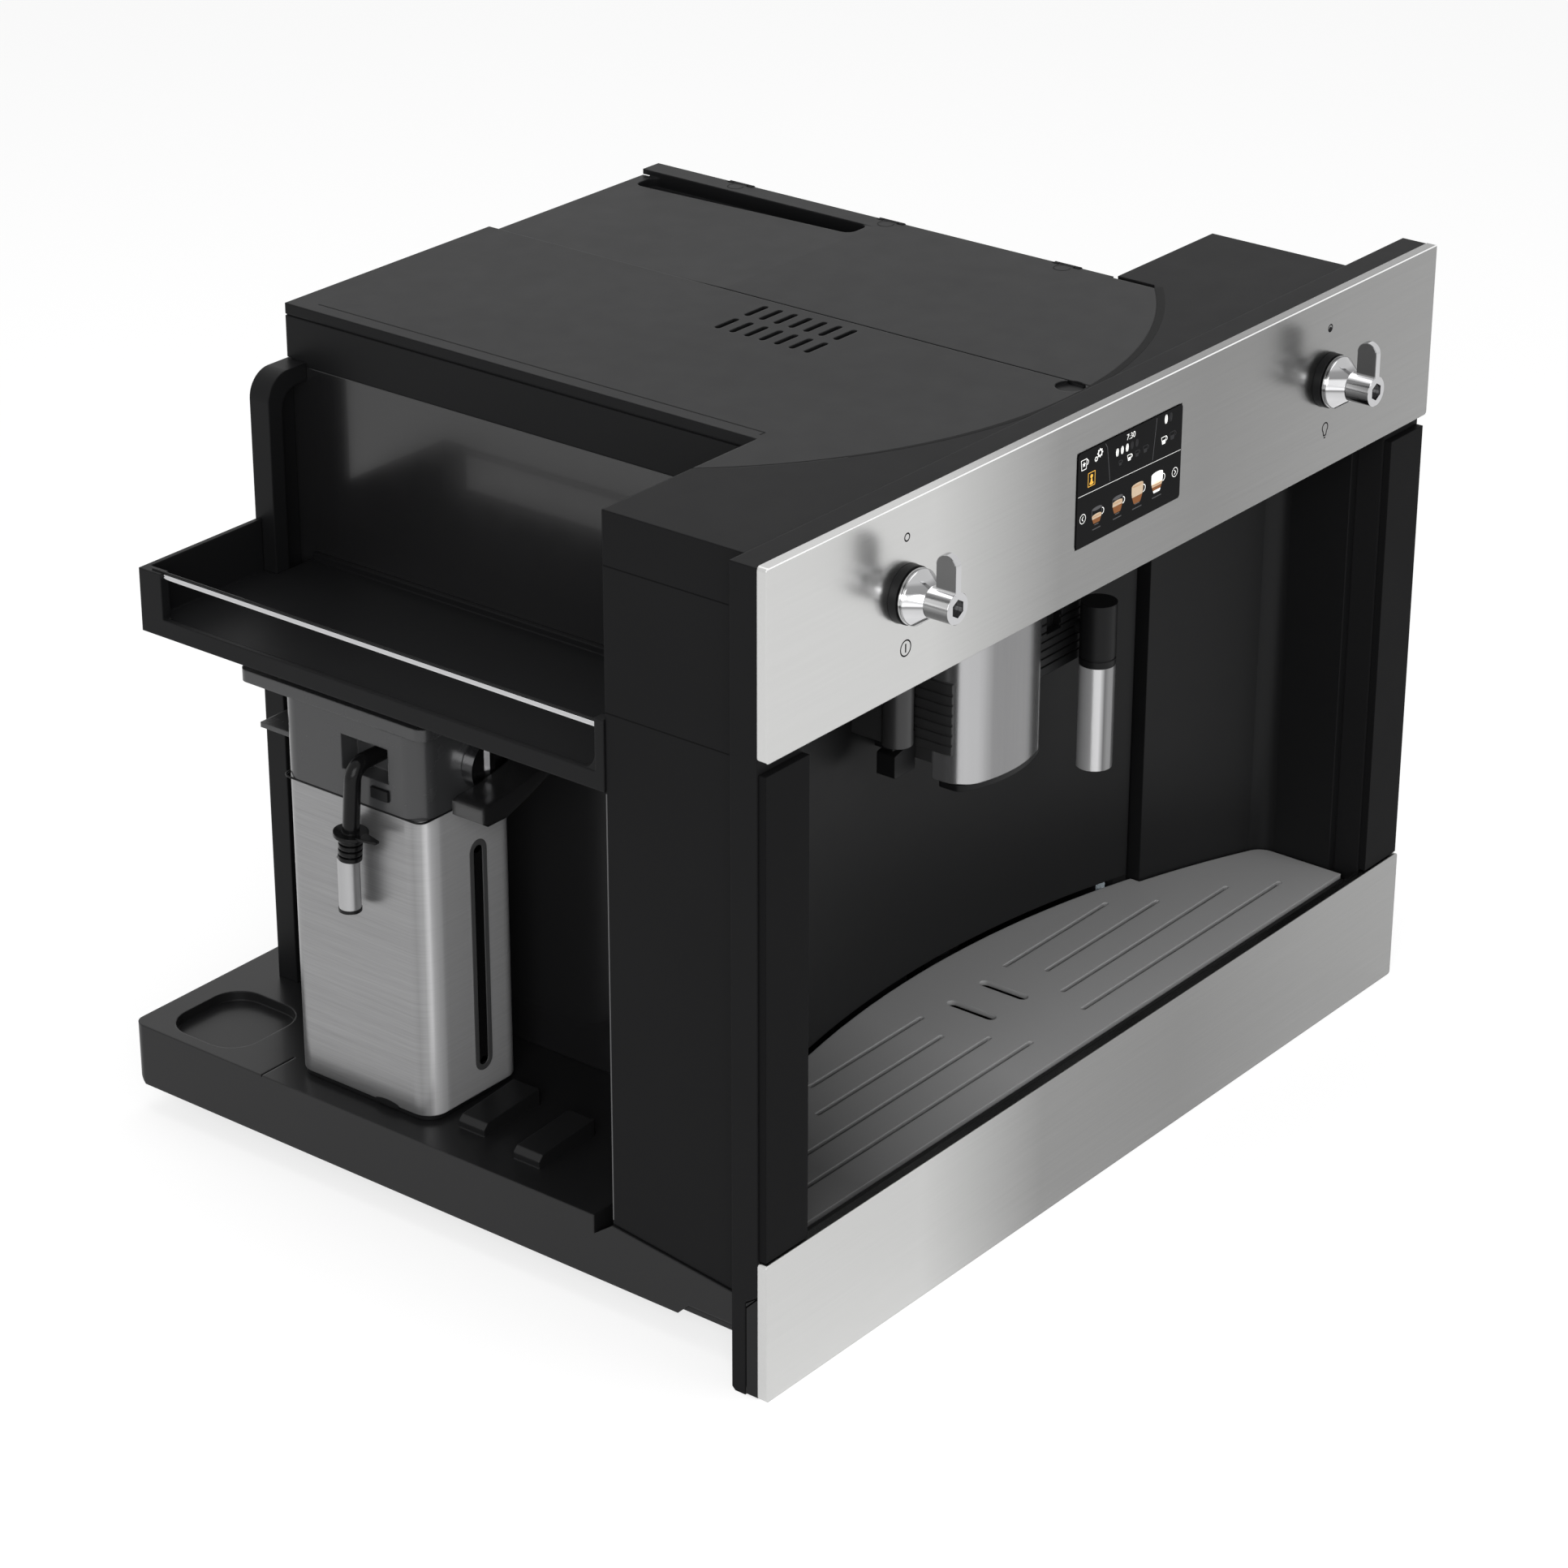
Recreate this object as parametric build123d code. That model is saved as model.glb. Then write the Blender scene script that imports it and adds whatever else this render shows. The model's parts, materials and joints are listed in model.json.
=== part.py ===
"""A built-in coffee machine: front panels, cup niche, storage bay, brewing group and milk jug.

Millimetres, +Z up. X runs along the front, seen from the front to the right, and +Y into the cabinet.
The origin lies on the front frame's seating face, midway along it and level with the cabinet floor.
"""
from build123d import *
from math import sqrt
import os

# Front of the appliance
FRONT_WIDTH = 595.0
FRONT_HEIGHT = 455.0
PANEL_DROP = 3.0
FRAME_DEPTH = 22.0
TOP_PANEL_HEIGHT = 100.0
LOW_PANEL_HEIGHT = 80.0
SHEET_RETURN = 5.5
SHEET_GAUGE = 1.0
SHEET_CORNER = 2.0
POST_WIDTH = 35.5
POST_GAP = 7.0
DRAWER_FRONT_DEPTH = 7.5
DRAWER_FRONT_HEIGHT = 60.0
FRAME_SILL = 12.0
FRAME_BEVEL = 2.0

# Display and knobs
DISPLAY_WIDTH = 94.0
DISPLAY_HEIGHT = 52.4
DISPLAY_RISE = 28.0
DISPLAY_DEPTH = 4.0
DISPLAY_PROUD = 0.6
KNOB_INSET = 108.5
KNOB_RISE = 52.0
KNOB_RING_RADIUS = 15.0
KNOB_FLANGE_RADIUS = 14.5
KNOB_NECK_RADIUS = 7.6
KNOB_STEM_RADIUS = 8.2
KNOB_REACH = 31.0
KNOB_FLANGE_DEPTH = 7.0
KNOB_CONE_DEPTH = 7.5
KNOB_RING_DEPTH = 4.5
LEVER_HEIGHT = 27.0
LEVER_WIDTH = 12.0
LEVER_THICKNESS = 4.6
HEX_WIDTH = 6.0
HEX_DEPTH = 3.0
SWITCH_SHAFT_RADIUS = 3.0
SWITCH_BODY = 24.0
SWITCH_DEPTH = 16.0

# Front housing behind the frame
HOUSING_SIDE_INSET = 18.5
HOUSING_DEPTH = 93.5
HOUSING_RIGHT_INSET = 49.5
HOUSING_DROP = 5.0
HOUSING_FOOT_FRONT = 39.5
HOUSING_FOOT_BACK = 50.5
SHELL_WALL = 3.0
REAR_WALL_GAP = 7.0
SEAT_STEP = 0.5

# Cup niche
NICHE_ARC_RADIUS = 611.0
NICHE_ARC_DEPTH = 109.0
NICHE_STEP = 6.0
DOOR_SEAM_INSET = 89.0
DOOR_THICKNESS = 4.0
DOOR_SEAM_GAP = 1.5
DOOR_AXIS_INSET = 14.0
DOOR_AXIS_BEHIND = 5.594
DOOR_PIN_RADIUS = 3.0
DOOR_KNUCKLE_RADIUS = 6.0

# Drip drawer
GRILLE_THICKNESS = 3.0
GRILLE_LEVEL = 76.0
GRILLE_FRONT = 12.0
GRILLE_GAP = 1.5
GRILLE_CORNER = 12.0
SLOT_WIDTH = 3.0
CUP_SLOT_WIDTH = 6.5
CUP_SLOT_SPACING = 30.0
CUP_SLOT_LENGTH = 32.0
CUP_SLOT_DEPTH = 59.0
TRAY_DEPTH = 54.0
TRAY_WALL = 2.5
FLOAT_RADIUS = 7.0
FLOAT_HEIGHT = 30.0
FLOAT_CLEARANCE = 0.4

# Coffee spout and hot water nozzle
SPOUT_WIDTH = 75.4
SPOUT_NOSE = 44.4
SPOUT_CORNER = 17.0
SPOUT_BOW = 9.0
SPOUT_BOTTOM = 221.6
SPOUT_TOP = 340.0
SPOUT_SKIN = 1.0
SPOUT_STEEL_BACK = 72.0
SPOUT_RAIL_WIDTH = 10.0
SPOUT_RAIL_DEPTH = 8.0
SPOUT_RAIL_LOW = 240.0
GRIP_HEIGHT = 41.0
GRIP_DEPTH = 24.0
GRIP_PROUD = 1.6
GRIP_RISE = 17.0
GRIP_FRONT = 59.0
GRIP_GROOVE = 0.8
GRIP_RIBS = 7
OUTLET_RADIUS = 4.5
OUTLET_LENGTH = 9.0
OUTLET_OFFSET = 15.0
OUTLET_DEPTH = 60.0
GUIDE_RADIUS = 8.5
GUIDE_X = -61.0
GUIDE_DEPTH = 78.0
GUIDE_BOTTOM = 249.0
GUIDE_ARM = 8.0
NOZZLE_X = 101.0
NOZZLE_Y = 62.0
NOZZLE_RADIUS = 10.3
NOZZLE_TUBE_RADIUS = 10.2
NOZZLE_BOTTOM = 182.0
NOZZLE_TUBE_LENGTH = 62.0
NOZZLE_SLEEVE_LENGTH = 37.0
NOZZLE_PLUG_RADIUS = 4.0
NOZZLE_PLUG_LENGTH = 9.0
SOCKET_HOUSING_WIDTH = 44.0
SOCKET_HOUSING_HEIGHT = 38.0
SOCKET_HOUSING_OFFSET = 37.0
SOCKET_HOUSING_FRONT = 75.0
SOCKET_RIB_PITCH = 5.0
SOCKET_RIB_GROOVE = 1.2
SOCKET_SIDE = 14.0
SOCKET_SINK = 6.0
NOZZLE_RING_RISE = 4.0
SLIDE_GAP = 0.4

# Main body behind the housing
BODY_LEFT_INSET = 137.5
BODY_RIGHT_INSET = 141.5
BODY_BACK = 418.0
BODY_FLOOR = 14.0
COVER_THICKNESS = 3.0
COVER_SKIRT = 33.5
COVER_ARC_SIDE = 1.0
COVER_ARC_X = -16.0
COVER_ARC_FRONT = 6.0
COVER_GROOVE_DROP = 7.0
COVER_GROOVE = 1.0
COVER_REST_GAP = 0.3
NOTCH_X = -1.5
NOTCH_Y = 15.0
NOTCH_RADIUS = 8.0
NOTCH_DEPTH = 1.8
LID_SEAM = 5.0
LID_SHOULDER = 249.0
LID_FALL = 3.5
LID_HINGE_RADIUS = 2.0
LID_PIN_RADIUS = 1.0
LID_HINGE_LENGTH = 10.0
LID_SWING_GAP = 2.0
LID_RECESS_WIDTH = 18.0
LID_RECESS_LENGTH = 158.0
LID_RECESS_INSET = 14.0
LID_RECESS_BACK = 410.0
LID_RECESS_SINK = 6.0
LID_RECESS_CORNER = 6.0
VENT_LENGTH = 18.5
VENT_WIDTH = 3.6
VENT_PITCH = 10.0
VENT_COUNT = 7
VENT_FIRST = 152.0
VENT_ROW = 12.5
VENT_ROW_PITCH = 25.0
EAR_WIDTH = 30.0
EAR_RADIUS = 15.0
EAR_TOP = 416.0
EAR_RIM = 10.0
EAR_DEPTH = 14.0
REAR_TOP = 434.0

# Storage bay on the left
BAY_INSET = 17.5
BASE_TOP = 51.5
BASE_BACK = 444.0
BASE_STEP = 106.0
BASE_WALL = 3.0
BASE_ROUND = 7.0
SHELF_BOTTOM = 297.0
SHELF_LIP = 10.0
SHELF_FLOOR = 6.0
SHELF_BACK = 416.0
SHELF_HEIGHT = 36.0
SHELF_END = 16.0
SHELF_WALL = 3.0
RAIL_RADIUS = 1.6
RAIL_LEVEL = 331.0
RECESS_WIDTH = 59.0
RECESS_DEPTH = 56.0
RECESS_SINK = 6.0
RECESS_CORNER = 18.0
RECESS_SIDE = 8.0
RECESS_BACK = 429.0
STEP_LINE_Y = 344.0
STEP_LINE_INSET = 26.0
STEP_LINE = 1.0
BLOCK_WIDTH = 45.0
BLOCK_DEPTH = 18.0
BLOCK_HEIGHT = 10.0
BLOCK_CHAMFER = 3.0
BLOCK_NEAR_INSET = 25.0
BLOCK_NEAR_Y = 204.0
BLOCK_FAR_INSET = 18.0
BLOCK_FAR_Y = 159.0
APRON_TURN = 43.0

# Milk jug
JUG_WIDTH = 73.5
JUG_DEPTH = 100.0
JUG_HEIGHT = 178.0
JUG_INSET = 16.5
JUG_FRONT = 234.0
JUG_CORNER = 12.0
JUG_SKIN = 0.8
JUG_LINER = 1.6
JUG_FOOT = 3.0
JUG_REST_GAP = 0.3
JUG_WINDOW_WIDTH = 9.0
JUG_WINDOW_LENGTH = 138.0
JUG_WINDOW_RISE = 16.0
JUG_WINDOW_OFFSET = 6.0
JUG_WINDOW_SINK = 1.2
LID_HEIGHT = 49.0
LID_PLATE = 7.0
LID_SKIRT = 6.0
LID_REAR = 26.0
LID_OVERHANG = 3.0
LID_TAB_RISE = 16.0
LID_OPENING_WIDTH = 33.0
LID_OPENING_HEIGHT = 20.0
LID_OPENING_FRONT = 256.0
LID_FIT_GAP = 0.3
DIAL_RADIUS = 14.0
DIAL_DEPTH = 9.0
DIAL_BAR = 2.0
DIAL_SPINDLE = 10.0
DIAL_OFFSET = 46.0
DIAL_RISE = 20.0
HANDLE_INSET = 13.5
HANDLE_LENGTH = 80.0
HANDLE_HEIGHT = 26.0
HANDLE_DEPTH = 21.0
HANDLE_RISE = 2.0
HANDLE_NECK = 10.0
SPIGOT_RADIUS = 4.0
SPIGOT_LENGTH = 10.0
SPIGOT_SETBACK = 37.5
SPIGOT_RISE = 27.0
MILK_TUBE_RADIUS = 4.6
MILK_TUBE_STAND_OFF = 10.0
MILK_TUBE_DROP = 55.0
MILK_FLANGE_DROP = 41.0
MILK_FLANGE = 2.0
MILK_RING_PITCH = 3.5
MILK_RING = 2.2
MILK_RING_COUNT = 4
MILK_TIP_WALL = 1.0
MILK_TIP_FLOOR = 3.0
MILK_BEND_RADIUS = 9.0
MILK_FLANGE_RADIUS = 9.5
MILK_TIP_RADIUS = 6.0
MILK_TIP_LENGTH = 31.0
MILK_TILT = 5.0
BUTTON_WIDTH = 12.0
BUTTON_HEIGHT = 6.0
BUTTON_DEPTH = 6.0
BUTTON_PROUD = 1.5
BUTTON_RISE = 7.0
BUTTON_TRAVEL = 2.0

# Water tank on the right
TANK_WIDTH = 84.0
TANK_LENGTH = 290.0
TANK_HEIGHT = 330.0
TANK_FRONT = 110.0
TANK_WALL = 3.0
TANK_GAP = 1.0
TANK_LID_HEIGHT = 6.0
VALVE_RADIUS = 5.0
VALVE_HEAD = 3.0
VALVE_SETBACK = 30.0

# Inside the body
HOPPER_LENGTH = 140.0
HOPPER_WIDTH = 96.0
HOPPER_NECK = 5.0
HOPPER_WALL = 2.5
HOPPER_TOP = 434.0
HOPPER_INSET = 114.0
HOPPER_FRONT = 120.0
BURR_RADIUS = 30.0
BURR_HEIGHT = 26.0
BURR_CONE_RADIUS = 19.0
BURR_GAP = 1.2
BURR_TAPER = 5.0
BURR_SHELF = 2.0
GRINDER_MOTOR_RADIUS = 34.0
GRINDER_MOTOR_HEIGHT = 62.0
GRINDER_SHAFT_RADIUS = 4.0
GRINDER_SHAFT_LENGTH = 20.0
BREW_INSET = 118.0
BREW_Y = 125.0
BREW_WIDTH = 110.0
BREW_DEPTH = 120.0
BREW_HEIGHT = 250.0
BREW_PLATE = 10.0
BREW_CHAMBER_RADIUS = 22.5
BREW_CHAMBER_WALL = 4.0
CHAMBER_LEVEL_SHARE = 0.284
CHAMBER_HEIGHT_SHARE = 0.24
STROKE_SHARE = 0.18
SCREW_RADIUS = 5.0
SCREW_OFFSET = 33.0
SCREW_ENGAGED = 10.0
CHAMBER_OFFSET = 40.0
PISTON_REST = 3.0
PISTON_GAP = 0.3
PISTON_HEIGHT = 14.0
BREW_MOTOR_RADIUS = 21.0
BREW_MOTOR_HEIGHT = 46.0
GROUNDS_SPACE = 30.0
GROUNDS_DEPTH = 96.0
GROUNDS_HEIGHT = 120.0
GROUNDS_WALL = 2.0
GROUNDS_INSET = 8.0
GROUNDS_Y = 116.0
GROUNDS_CORNER = 10.0
GROUNDS_SIDE = 4.0
BOILER_INSET = 24.0
BOILER_Y = 250.0
BOILER_LENGTH = 120.0
BOILER_WIDTH = 84.0
BOILER_HEIGHT = 60.0
BOILER_LEVEL = 190.0
BOILER_LEG = 5.0
BOILER_LEG_INSET = 10.0
BOILER_UNION = 10.0
BOILER_UNION_INSET = 28.0
BOILER_CORNER = 10.0
PUMP_INSET = 39.0
PUMP_Y = 292.0
PUMP_OUTLET = 5.0
PUMP_RADIUS = 24.0
PUMP_LENGTH = 95.0
PUMP_FOOT = 10.0
BOARD_WIDTH = 240.0
BOARD_HEIGHT = 62.0
BOARD_THICKNESS = 1.6
BOARD_STANDOFF = 8.0
INLET_INSET = 56.0
INLET_Z = 37.0
INLET_WIDTH = 28.0
INLET_HEIGHT = 20.0
INLET_DEPTH = 22.0
INLET_PIN = 1.0
INLET_PIN_RISE = 3.0
SCREW_HEAD_RADIUS = 3.6
SCREW_HEAD_HEIGHT = 2.2
SCREW_SHANK_RADIUS = 1.5
SCREW_LENGTH = 8.0
SCREW_SLOT = 1.0
SCREW_INSET = 8.0

# Telescopic runners under the body
RUNNER_X = 205.0
RUNNER_WIDTH = 34.0
RUNNER_HEIGHT = 12.0
RUNNER_WALL = 2.0
RUNNER_FRONT = 20.0
RUNNER_LENGTH = 380.0
RUNNER_HOLE_RADIUS = 2.5
RUNNER_HOLE_INSET = 30.0
RUNNER_GAP = 0.5

# Common clearances
GAP = 0.5
RUNNING_CLEARANCE = 0.05
OVERRUN = 10.0

# Planes worked out from the driving sizes
HALF_FRONT = FRONT_WIDTH / 2
FACE_Y = -FRAME_DEPTH
FRAME_FRONT = FACE_Y + SHEET_RETURN
FRONT_LOW = -PANEL_DROP
FRONT_TOP = FRONT_LOW + FRONT_HEIGHT
NICHE_LOW = FRONT_LOW + LOW_PANEL_HEIGHT
NICHE_TOP = FRONT_TOP - TOP_PANEL_HEIGHT
NICHE_HALF = HALF_FRONT - POST_WIDTH
DRAWER_BACK = FRAME_FRONT + DRAWER_FRONT_DEPTH
HOUSING_TOP = FRONT_TOP - HOUSING_DROP
HOUSING_HALF_WIDTH = HALF_FRONT - HOUSING_SIDE_INSET
HOUSING_RIGHT = HALF_FRONT - HOUSING_RIGHT_INSET
NICHE_RIGHT = NICHE_HALF - NICHE_STEP
NICHE_ARC_Y = NICHE_ARC_DEPTH - NICHE_ARC_RADIUS
DOOR_SEAM = NICHE_HALF - DOOR_SEAM_INSET
BODY_LEFT = HALF_FRONT - BODY_LEFT_INSET
BODY_RIGHT = HALF_FRONT - BODY_RIGHT_INSET
LID_EDGE = BODY_RIGHT - SHELL_WALL
LID_RECESS_RIGHT = LID_EDGE - LID_RECESS_INSET
COVER_ARC_RADIUS = HOUSING_HALF_WIDTH + COVER_ARC_X - COVER_ARC_SIDE
COVER_ARC_Y = COVER_ARC_RADIUS + COVER_ARC_FRONT
REAR_WALL_X = BODY_RIGHT + REAR_WALL_GAP
KNOB_X = HALF_FRONT - KNOB_INSET
KNOB_Z = NICHE_TOP + KNOB_RISE
DOOR_AXIS_X = -(NICHE_HALF - DOOR_AXIS_INSET)
DOOR_AXIS_DEPTH = NICHE_ARC_Y + sqrt(NICHE_ARC_RADIUS**2 - DOOR_AXIS_X**2) + DOOR_AXIS_BEHIND
DOOR_LOW = NICHE_LOW + DOOR_SEAM_GAP
DOOR_TOP = NICHE_TOP - DOOR_SEAM_GAP * 2
COVER_LOW = HOUSING_TOP - COVER_THICKNESS
CHASSIS_TOP = BODY_FLOOR + SHELL_WALL
BAY_LEFT = HALF_FRONT - BAY_INSET
STEP_LINE_X = STEP_LINE_INSET - BAY_LEFT
BLOCK_NEAR_X = BLOCK_NEAR_INSET - BAY_LEFT
BLOCK_FAR_X = BLOCK_FAR_INSET - BAY_LEFT
JUG_X0 = JUG_INSET - BAY_LEFT
HANDLE_LEFT = JUG_X0 + HANDLE_INSET
BREW_X = BODY_RIGHT - BREW_INSET
BREW_CHAMBER_LEVEL = CHASSIS_TOP + BREW_HEIGHT * CHAMBER_LEVEL_SHARE
BREW_CHAMBER_HEIGHT = BREW_HEIGHT * CHAMBER_HEIGHT_SHARE
BREW_STROKE = BREW_HEIGHT * STROKE_SHARE
HOPPER_LEFT = BODY_RIGHT - HOPPER_INSET
GROUNDS_X = GROUNDS_INSET - BODY_LEFT
GROUNDS_WIDTH = BREW_X - GROUNDS_SPACE - GROUNDS_X
BOILER_X = BOILER_INSET - BODY_LEFT
PUMP_X = PUMP_INSET - BODY_LEFT
INLET_X = BODY_RIGHT - INLET_INSET
JUG_X1 = JUG_X0 + JUG_WIDTH
JUG_Y1 = JUG_FRONT + JUG_DEPTH
JUG_Z0 = BASE_TOP + JUG_REST_GAP
JUG_Z1 = JUG_Z0 + JUG_HEIGHT


def block(x0, x1, y0, y1, z0, z1):
    """A box between two corners."""
    return Pos((x0 + x1) / 2, (y0 + y1) / 2, (z0 + z1) / 2) * Box(x1 - x0, y1 - y0, z1 - z0)


def rod_x(y, z, x0, x1, radius):
    """A cylinder along X."""
    return Pos((x0 + x1) / 2, y, z) * Rot(0, 90, 0) * Cylinder(radius, x1 - x0)


def rod_y(x, z, y0, y1, radius):
    """A cylinder along Y."""
    return Pos(x, (y0 + y1) / 2, z) * Rot(90, 0, 0) * Cylinder(radius, y1 - y0)


def rod_z(x, y, z0, z1, radius):
    """A cylinder along Z."""
    return Pos(x, y, (z0 + z1) / 2) * Cylinder(radius, z1 - z0)


def cone_z(x, y, z0, z1, radius_low, radius_high):
    """A cone or a frustum along Z."""
    return Pos(x, y, (z0 + z1) / 2) * Cone(radius_low, radius_high, z1 - z0)


def cone_y(x, z, y0, y1, radius_front, radius_back):
    """A frustum along Y, from its front radius to its back radius."""
    return Pos(x, (y0 + y1) / 2, z) * Rot(-90, 0, 0) * Cone(radius_front, radius_back, y1 - y0)


def side_prism(points, x0, x1):
    """A prism along X over an outline of (y, z) points."""
    plane = Plane(origin=(x0, 0, 0), x_dir=(0, 1, 0), z_dir=(1, 0, 0))
    return extrude(plane * make_face(Polyline(*points, close=True)), x1 - x0)


def front_prism(points, y0, y1):
    """A prism along Y over an outline of (x, z) points."""
    plane = Plane(origin=(0, y1, 0), x_dir=(1, 0, 0), z_dir=(0, -1, 0))
    return extrude(plane * make_face(Polyline(*points, close=True)), y1 - y0)


def rounded_block(x0, x1, y0, y1, z0, z1, radius, axis=Axis.Z):
    """A box whose four edges along one axis are rounded."""
    solid = block(x0, x1, y0, y1, z0, z1)
    return fillet(solid.edges().filter_by(axis), radius)


def one(shape):
    """The single solid of a boolean result."""
    solids = shape.solids()
    if len(solids) != 1:
        raise ValueError(f"expected one solid, got {len(solids)}")
    return solids[0]


# Steel panels and frame


def folded_panel(z0, z1):
    """A steel front sheet with its four edges folded back."""
    outer = rounded_block(-HALF_FRONT, HALF_FRONT, FACE_Y, FRAME_FRONT, z0, z1, SHEET_CORNER, Axis.Y)
    pocket = block(
        -HALF_FRONT + SHEET_GAUGE,
        HALF_FRONT - SHEET_GAUGE,
        FACE_Y + SHEET_GAUGE,
        FRAME_FRONT + OVERRUN,
        z0 + SHEET_GAUGE,
        z1 - SHEET_GAUGE,
    )
    return outer - pocket


def control_panel():
    """The upper steel panel with its display window and two knob holes."""
    panel = folded_panel(NICHE_TOP, FRONT_TOP)
    window_low = NICHE_TOP + DISPLAY_RISE
    window = block(
        -DISPLAY_WIDTH / 2,
        DISPLAY_WIDTH / 2,
        FACE_Y - OVERRUN,
        FRAME_FRONT + OVERRUN,
        window_low,
        window_low + DISPLAY_HEIGHT,
    )
    panel -= window
    for x in (-KNOB_X, KNOB_X):
        panel -= rod_y(x, KNOB_Z, FACE_Y - OVERRUN, FRAME_FRONT + OVERRUN, KNOB_RING_RADIUS)
    return one(panel)


def bottom_panel():
    """The lower steel panel, the front of the drip drawer."""
    return one(folded_panel(FRONT_LOW, NICHE_LOW))


def front_frame():
    """The black frame behind the steel panels, with its window and the sill under the drawer."""
    top = FRONT_TOP - SHEET_GAUGE
    slope = SHEET_RETURN
    outline = [
        (FRAME_FRONT, top),
        (0, top),
        (0, FRONT_LOW + FRAME_BEVEL),
        (-FRAME_BEVEL, FRONT_LOW),
        (DRAWER_BACK + GAP, FRONT_LOW),
        (DRAWER_BACK + GAP, FRONT_LOW + DRAWER_FRONT_HEIGHT - slope),
        (FRAME_FRONT, FRONT_LOW + DRAWER_FRONT_HEIGHT),
    ]
    frame = side_prism(outline, -HALF_FRONT, HALF_FRONT)
    frame -= block(-NICHE_HALF, NICHE_HALF, FRAME_FRONT - OVERRUN, OVERRUN, FRAME_SILL, NICHE_TOP)
    window_low = NICHE_TOP + DISPLAY_RISE
    glass_back = FACE_Y - DISPLAY_PROUD + DISPLAY_DEPTH
    frame -= block(
        -DISPLAY_WIDTH / 2 + SHELL_WALL,
        DISPLAY_WIDTH / 2 - SHELL_WALL,
        FRAME_FRONT - OVERRUN,
        OVERRUN,
        window_low + SHELL_WALL,
        window_low + DISPLAY_HEIGHT - SHELL_WALL,
    )
    pocket_right = NICHE_HALF + SHELL_WALL + GAP
    frame -= block(-BAY_LEFT - GAP, pocket_right, -SEAT_STEP, OVERRUN, FRAME_SILL, HOUSING_TOP + GAP)
    frame += display_collar(glass_back, window_low)
    for x in (-KNOB_X, KNOB_X):
        frame -= rod_y(x, KNOB_Z, FRAME_FRONT - OVERRUN, OVERRUN, KNOB_RING_RADIUS - SHELL_WALL)
    return one(frame)


def display_collar(glass_back, window_low):
    """The collar on the frame that carries the display glass."""
    outer = block(
        -DISPLAY_WIDTH / 2,
        DISPLAY_WIDTH / 2,
        glass_back,
        FRAME_FRONT,
        window_low,
        window_low + DISPLAY_HEIGHT,
    )
    inner = block(
        -DISPLAY_WIDTH / 2 + SHELL_WALL,
        DISPLAY_WIDTH / 2 - SHELL_WALL,
        glass_back - OVERRUN,
        FRAME_FRONT + OVERRUN,
        window_low + SHELL_WALL,
        window_low + DISPLAY_HEIGHT - SHELL_WALL,
    )
    return outer - inner


def pillars():
    """The two gloss black trims beside the niche."""
    face = FACE_Y + SHEET_GAUGE
    top = NICHE_TOP - POST_GAP
    trims = []
    for side in (-1, 1):
        near = side * (NICHE_HALF + SHEET_GAUGE)
        far = side * (HALF_FRONT - SHEET_GAUGE)
        trims.append(block(min(near, far), max(near, far), face, FRAME_FRONT, NICHE_LOW + SHEET_GAUGE, top))
    return Compound(children=[one(trim) for trim in trims])


def display_glass():
    """The display's cover glass."""
    low = NICHE_TOP + DISPLAY_RISE + GAP / 2
    high = low + DISPLAY_HEIGHT - GAP
    half = (DISPLAY_WIDTH - GAP) / 2
    front = FACE_Y - DISPLAY_PROUD
    return rounded_block(-half, half, front, front + DISPLAY_DEPTH, low, high, SHEET_CORNER, Axis.Y)


def control_board():
    """The control board behind the display, on standoffs from the frame."""
    low = NICHE_TOP + DISPLAY_RISE - BOARD_STANDOFF / 2
    half = BOARD_WIDTH / 2
    board = block(-half, half, BOARD_STANDOFF, BOARD_STANDOFF + BOARD_THICKNESS, low, low + BOARD_HEIGHT)
    inset = BOARD_STANDOFF
    for x in (-half + inset, half - inset):
        for z in (low + inset / 2, low + BOARD_HEIGHT - inset / 2):
            board += rod_y(x, z, -SEAT_STEP, BOARD_STANDOFF, SWITCH_SHAFT_RADIUS)
    chips_share = (-0.3, -0.05, 0.22)
    chip = BOARD_STANDOFF
    for share in chips_share:
        x = share * BOARD_WIDTH
        back = BOARD_STANDOFF + BOARD_THICKNESS
        board += block(x - chip, x + chip, back, back + chip / 2, low + chip * 2, low + chip * 4)
    return one(board)


def rotary_switches():
    """The two rotary switches behind the knobs, each with the black ring round its shaft."""
    bodies = []
    for x in (-KNOB_X, KNOB_X):
        ring_front = FACE_Y - KNOB_RING_DEPTH
        ring = rod_y(x, KNOB_Z, ring_front, 0, KNOB_RING_RADIUS - SHELL_WALL - GAP)
        ring += rod_y(x, KNOB_Z, ring_front, FACE_Y, KNOB_RING_RADIUS)
        ring += rod_y(x, KNOB_Z, -SEAT_STEP, SHELL_WALL, KNOB_RING_RADIUS + SHELL_WALL)
        half = SWITCH_BODY / 2
        ring += block(x - half, x + half, -SEAT_STEP, SWITCH_DEPTH, KNOB_Z - half, KNOB_Z + half)
        bore = SWITCH_SHAFT_RADIUS + RUNNING_CLEARANCE
        ring -= rod_y(x, KNOB_Z, ring_front - OVERRUN, SWITCH_DEPTH - SHELL_WALL, bore)
        bodies.append(one(ring))
    return Compound(children=bodies)


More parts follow.
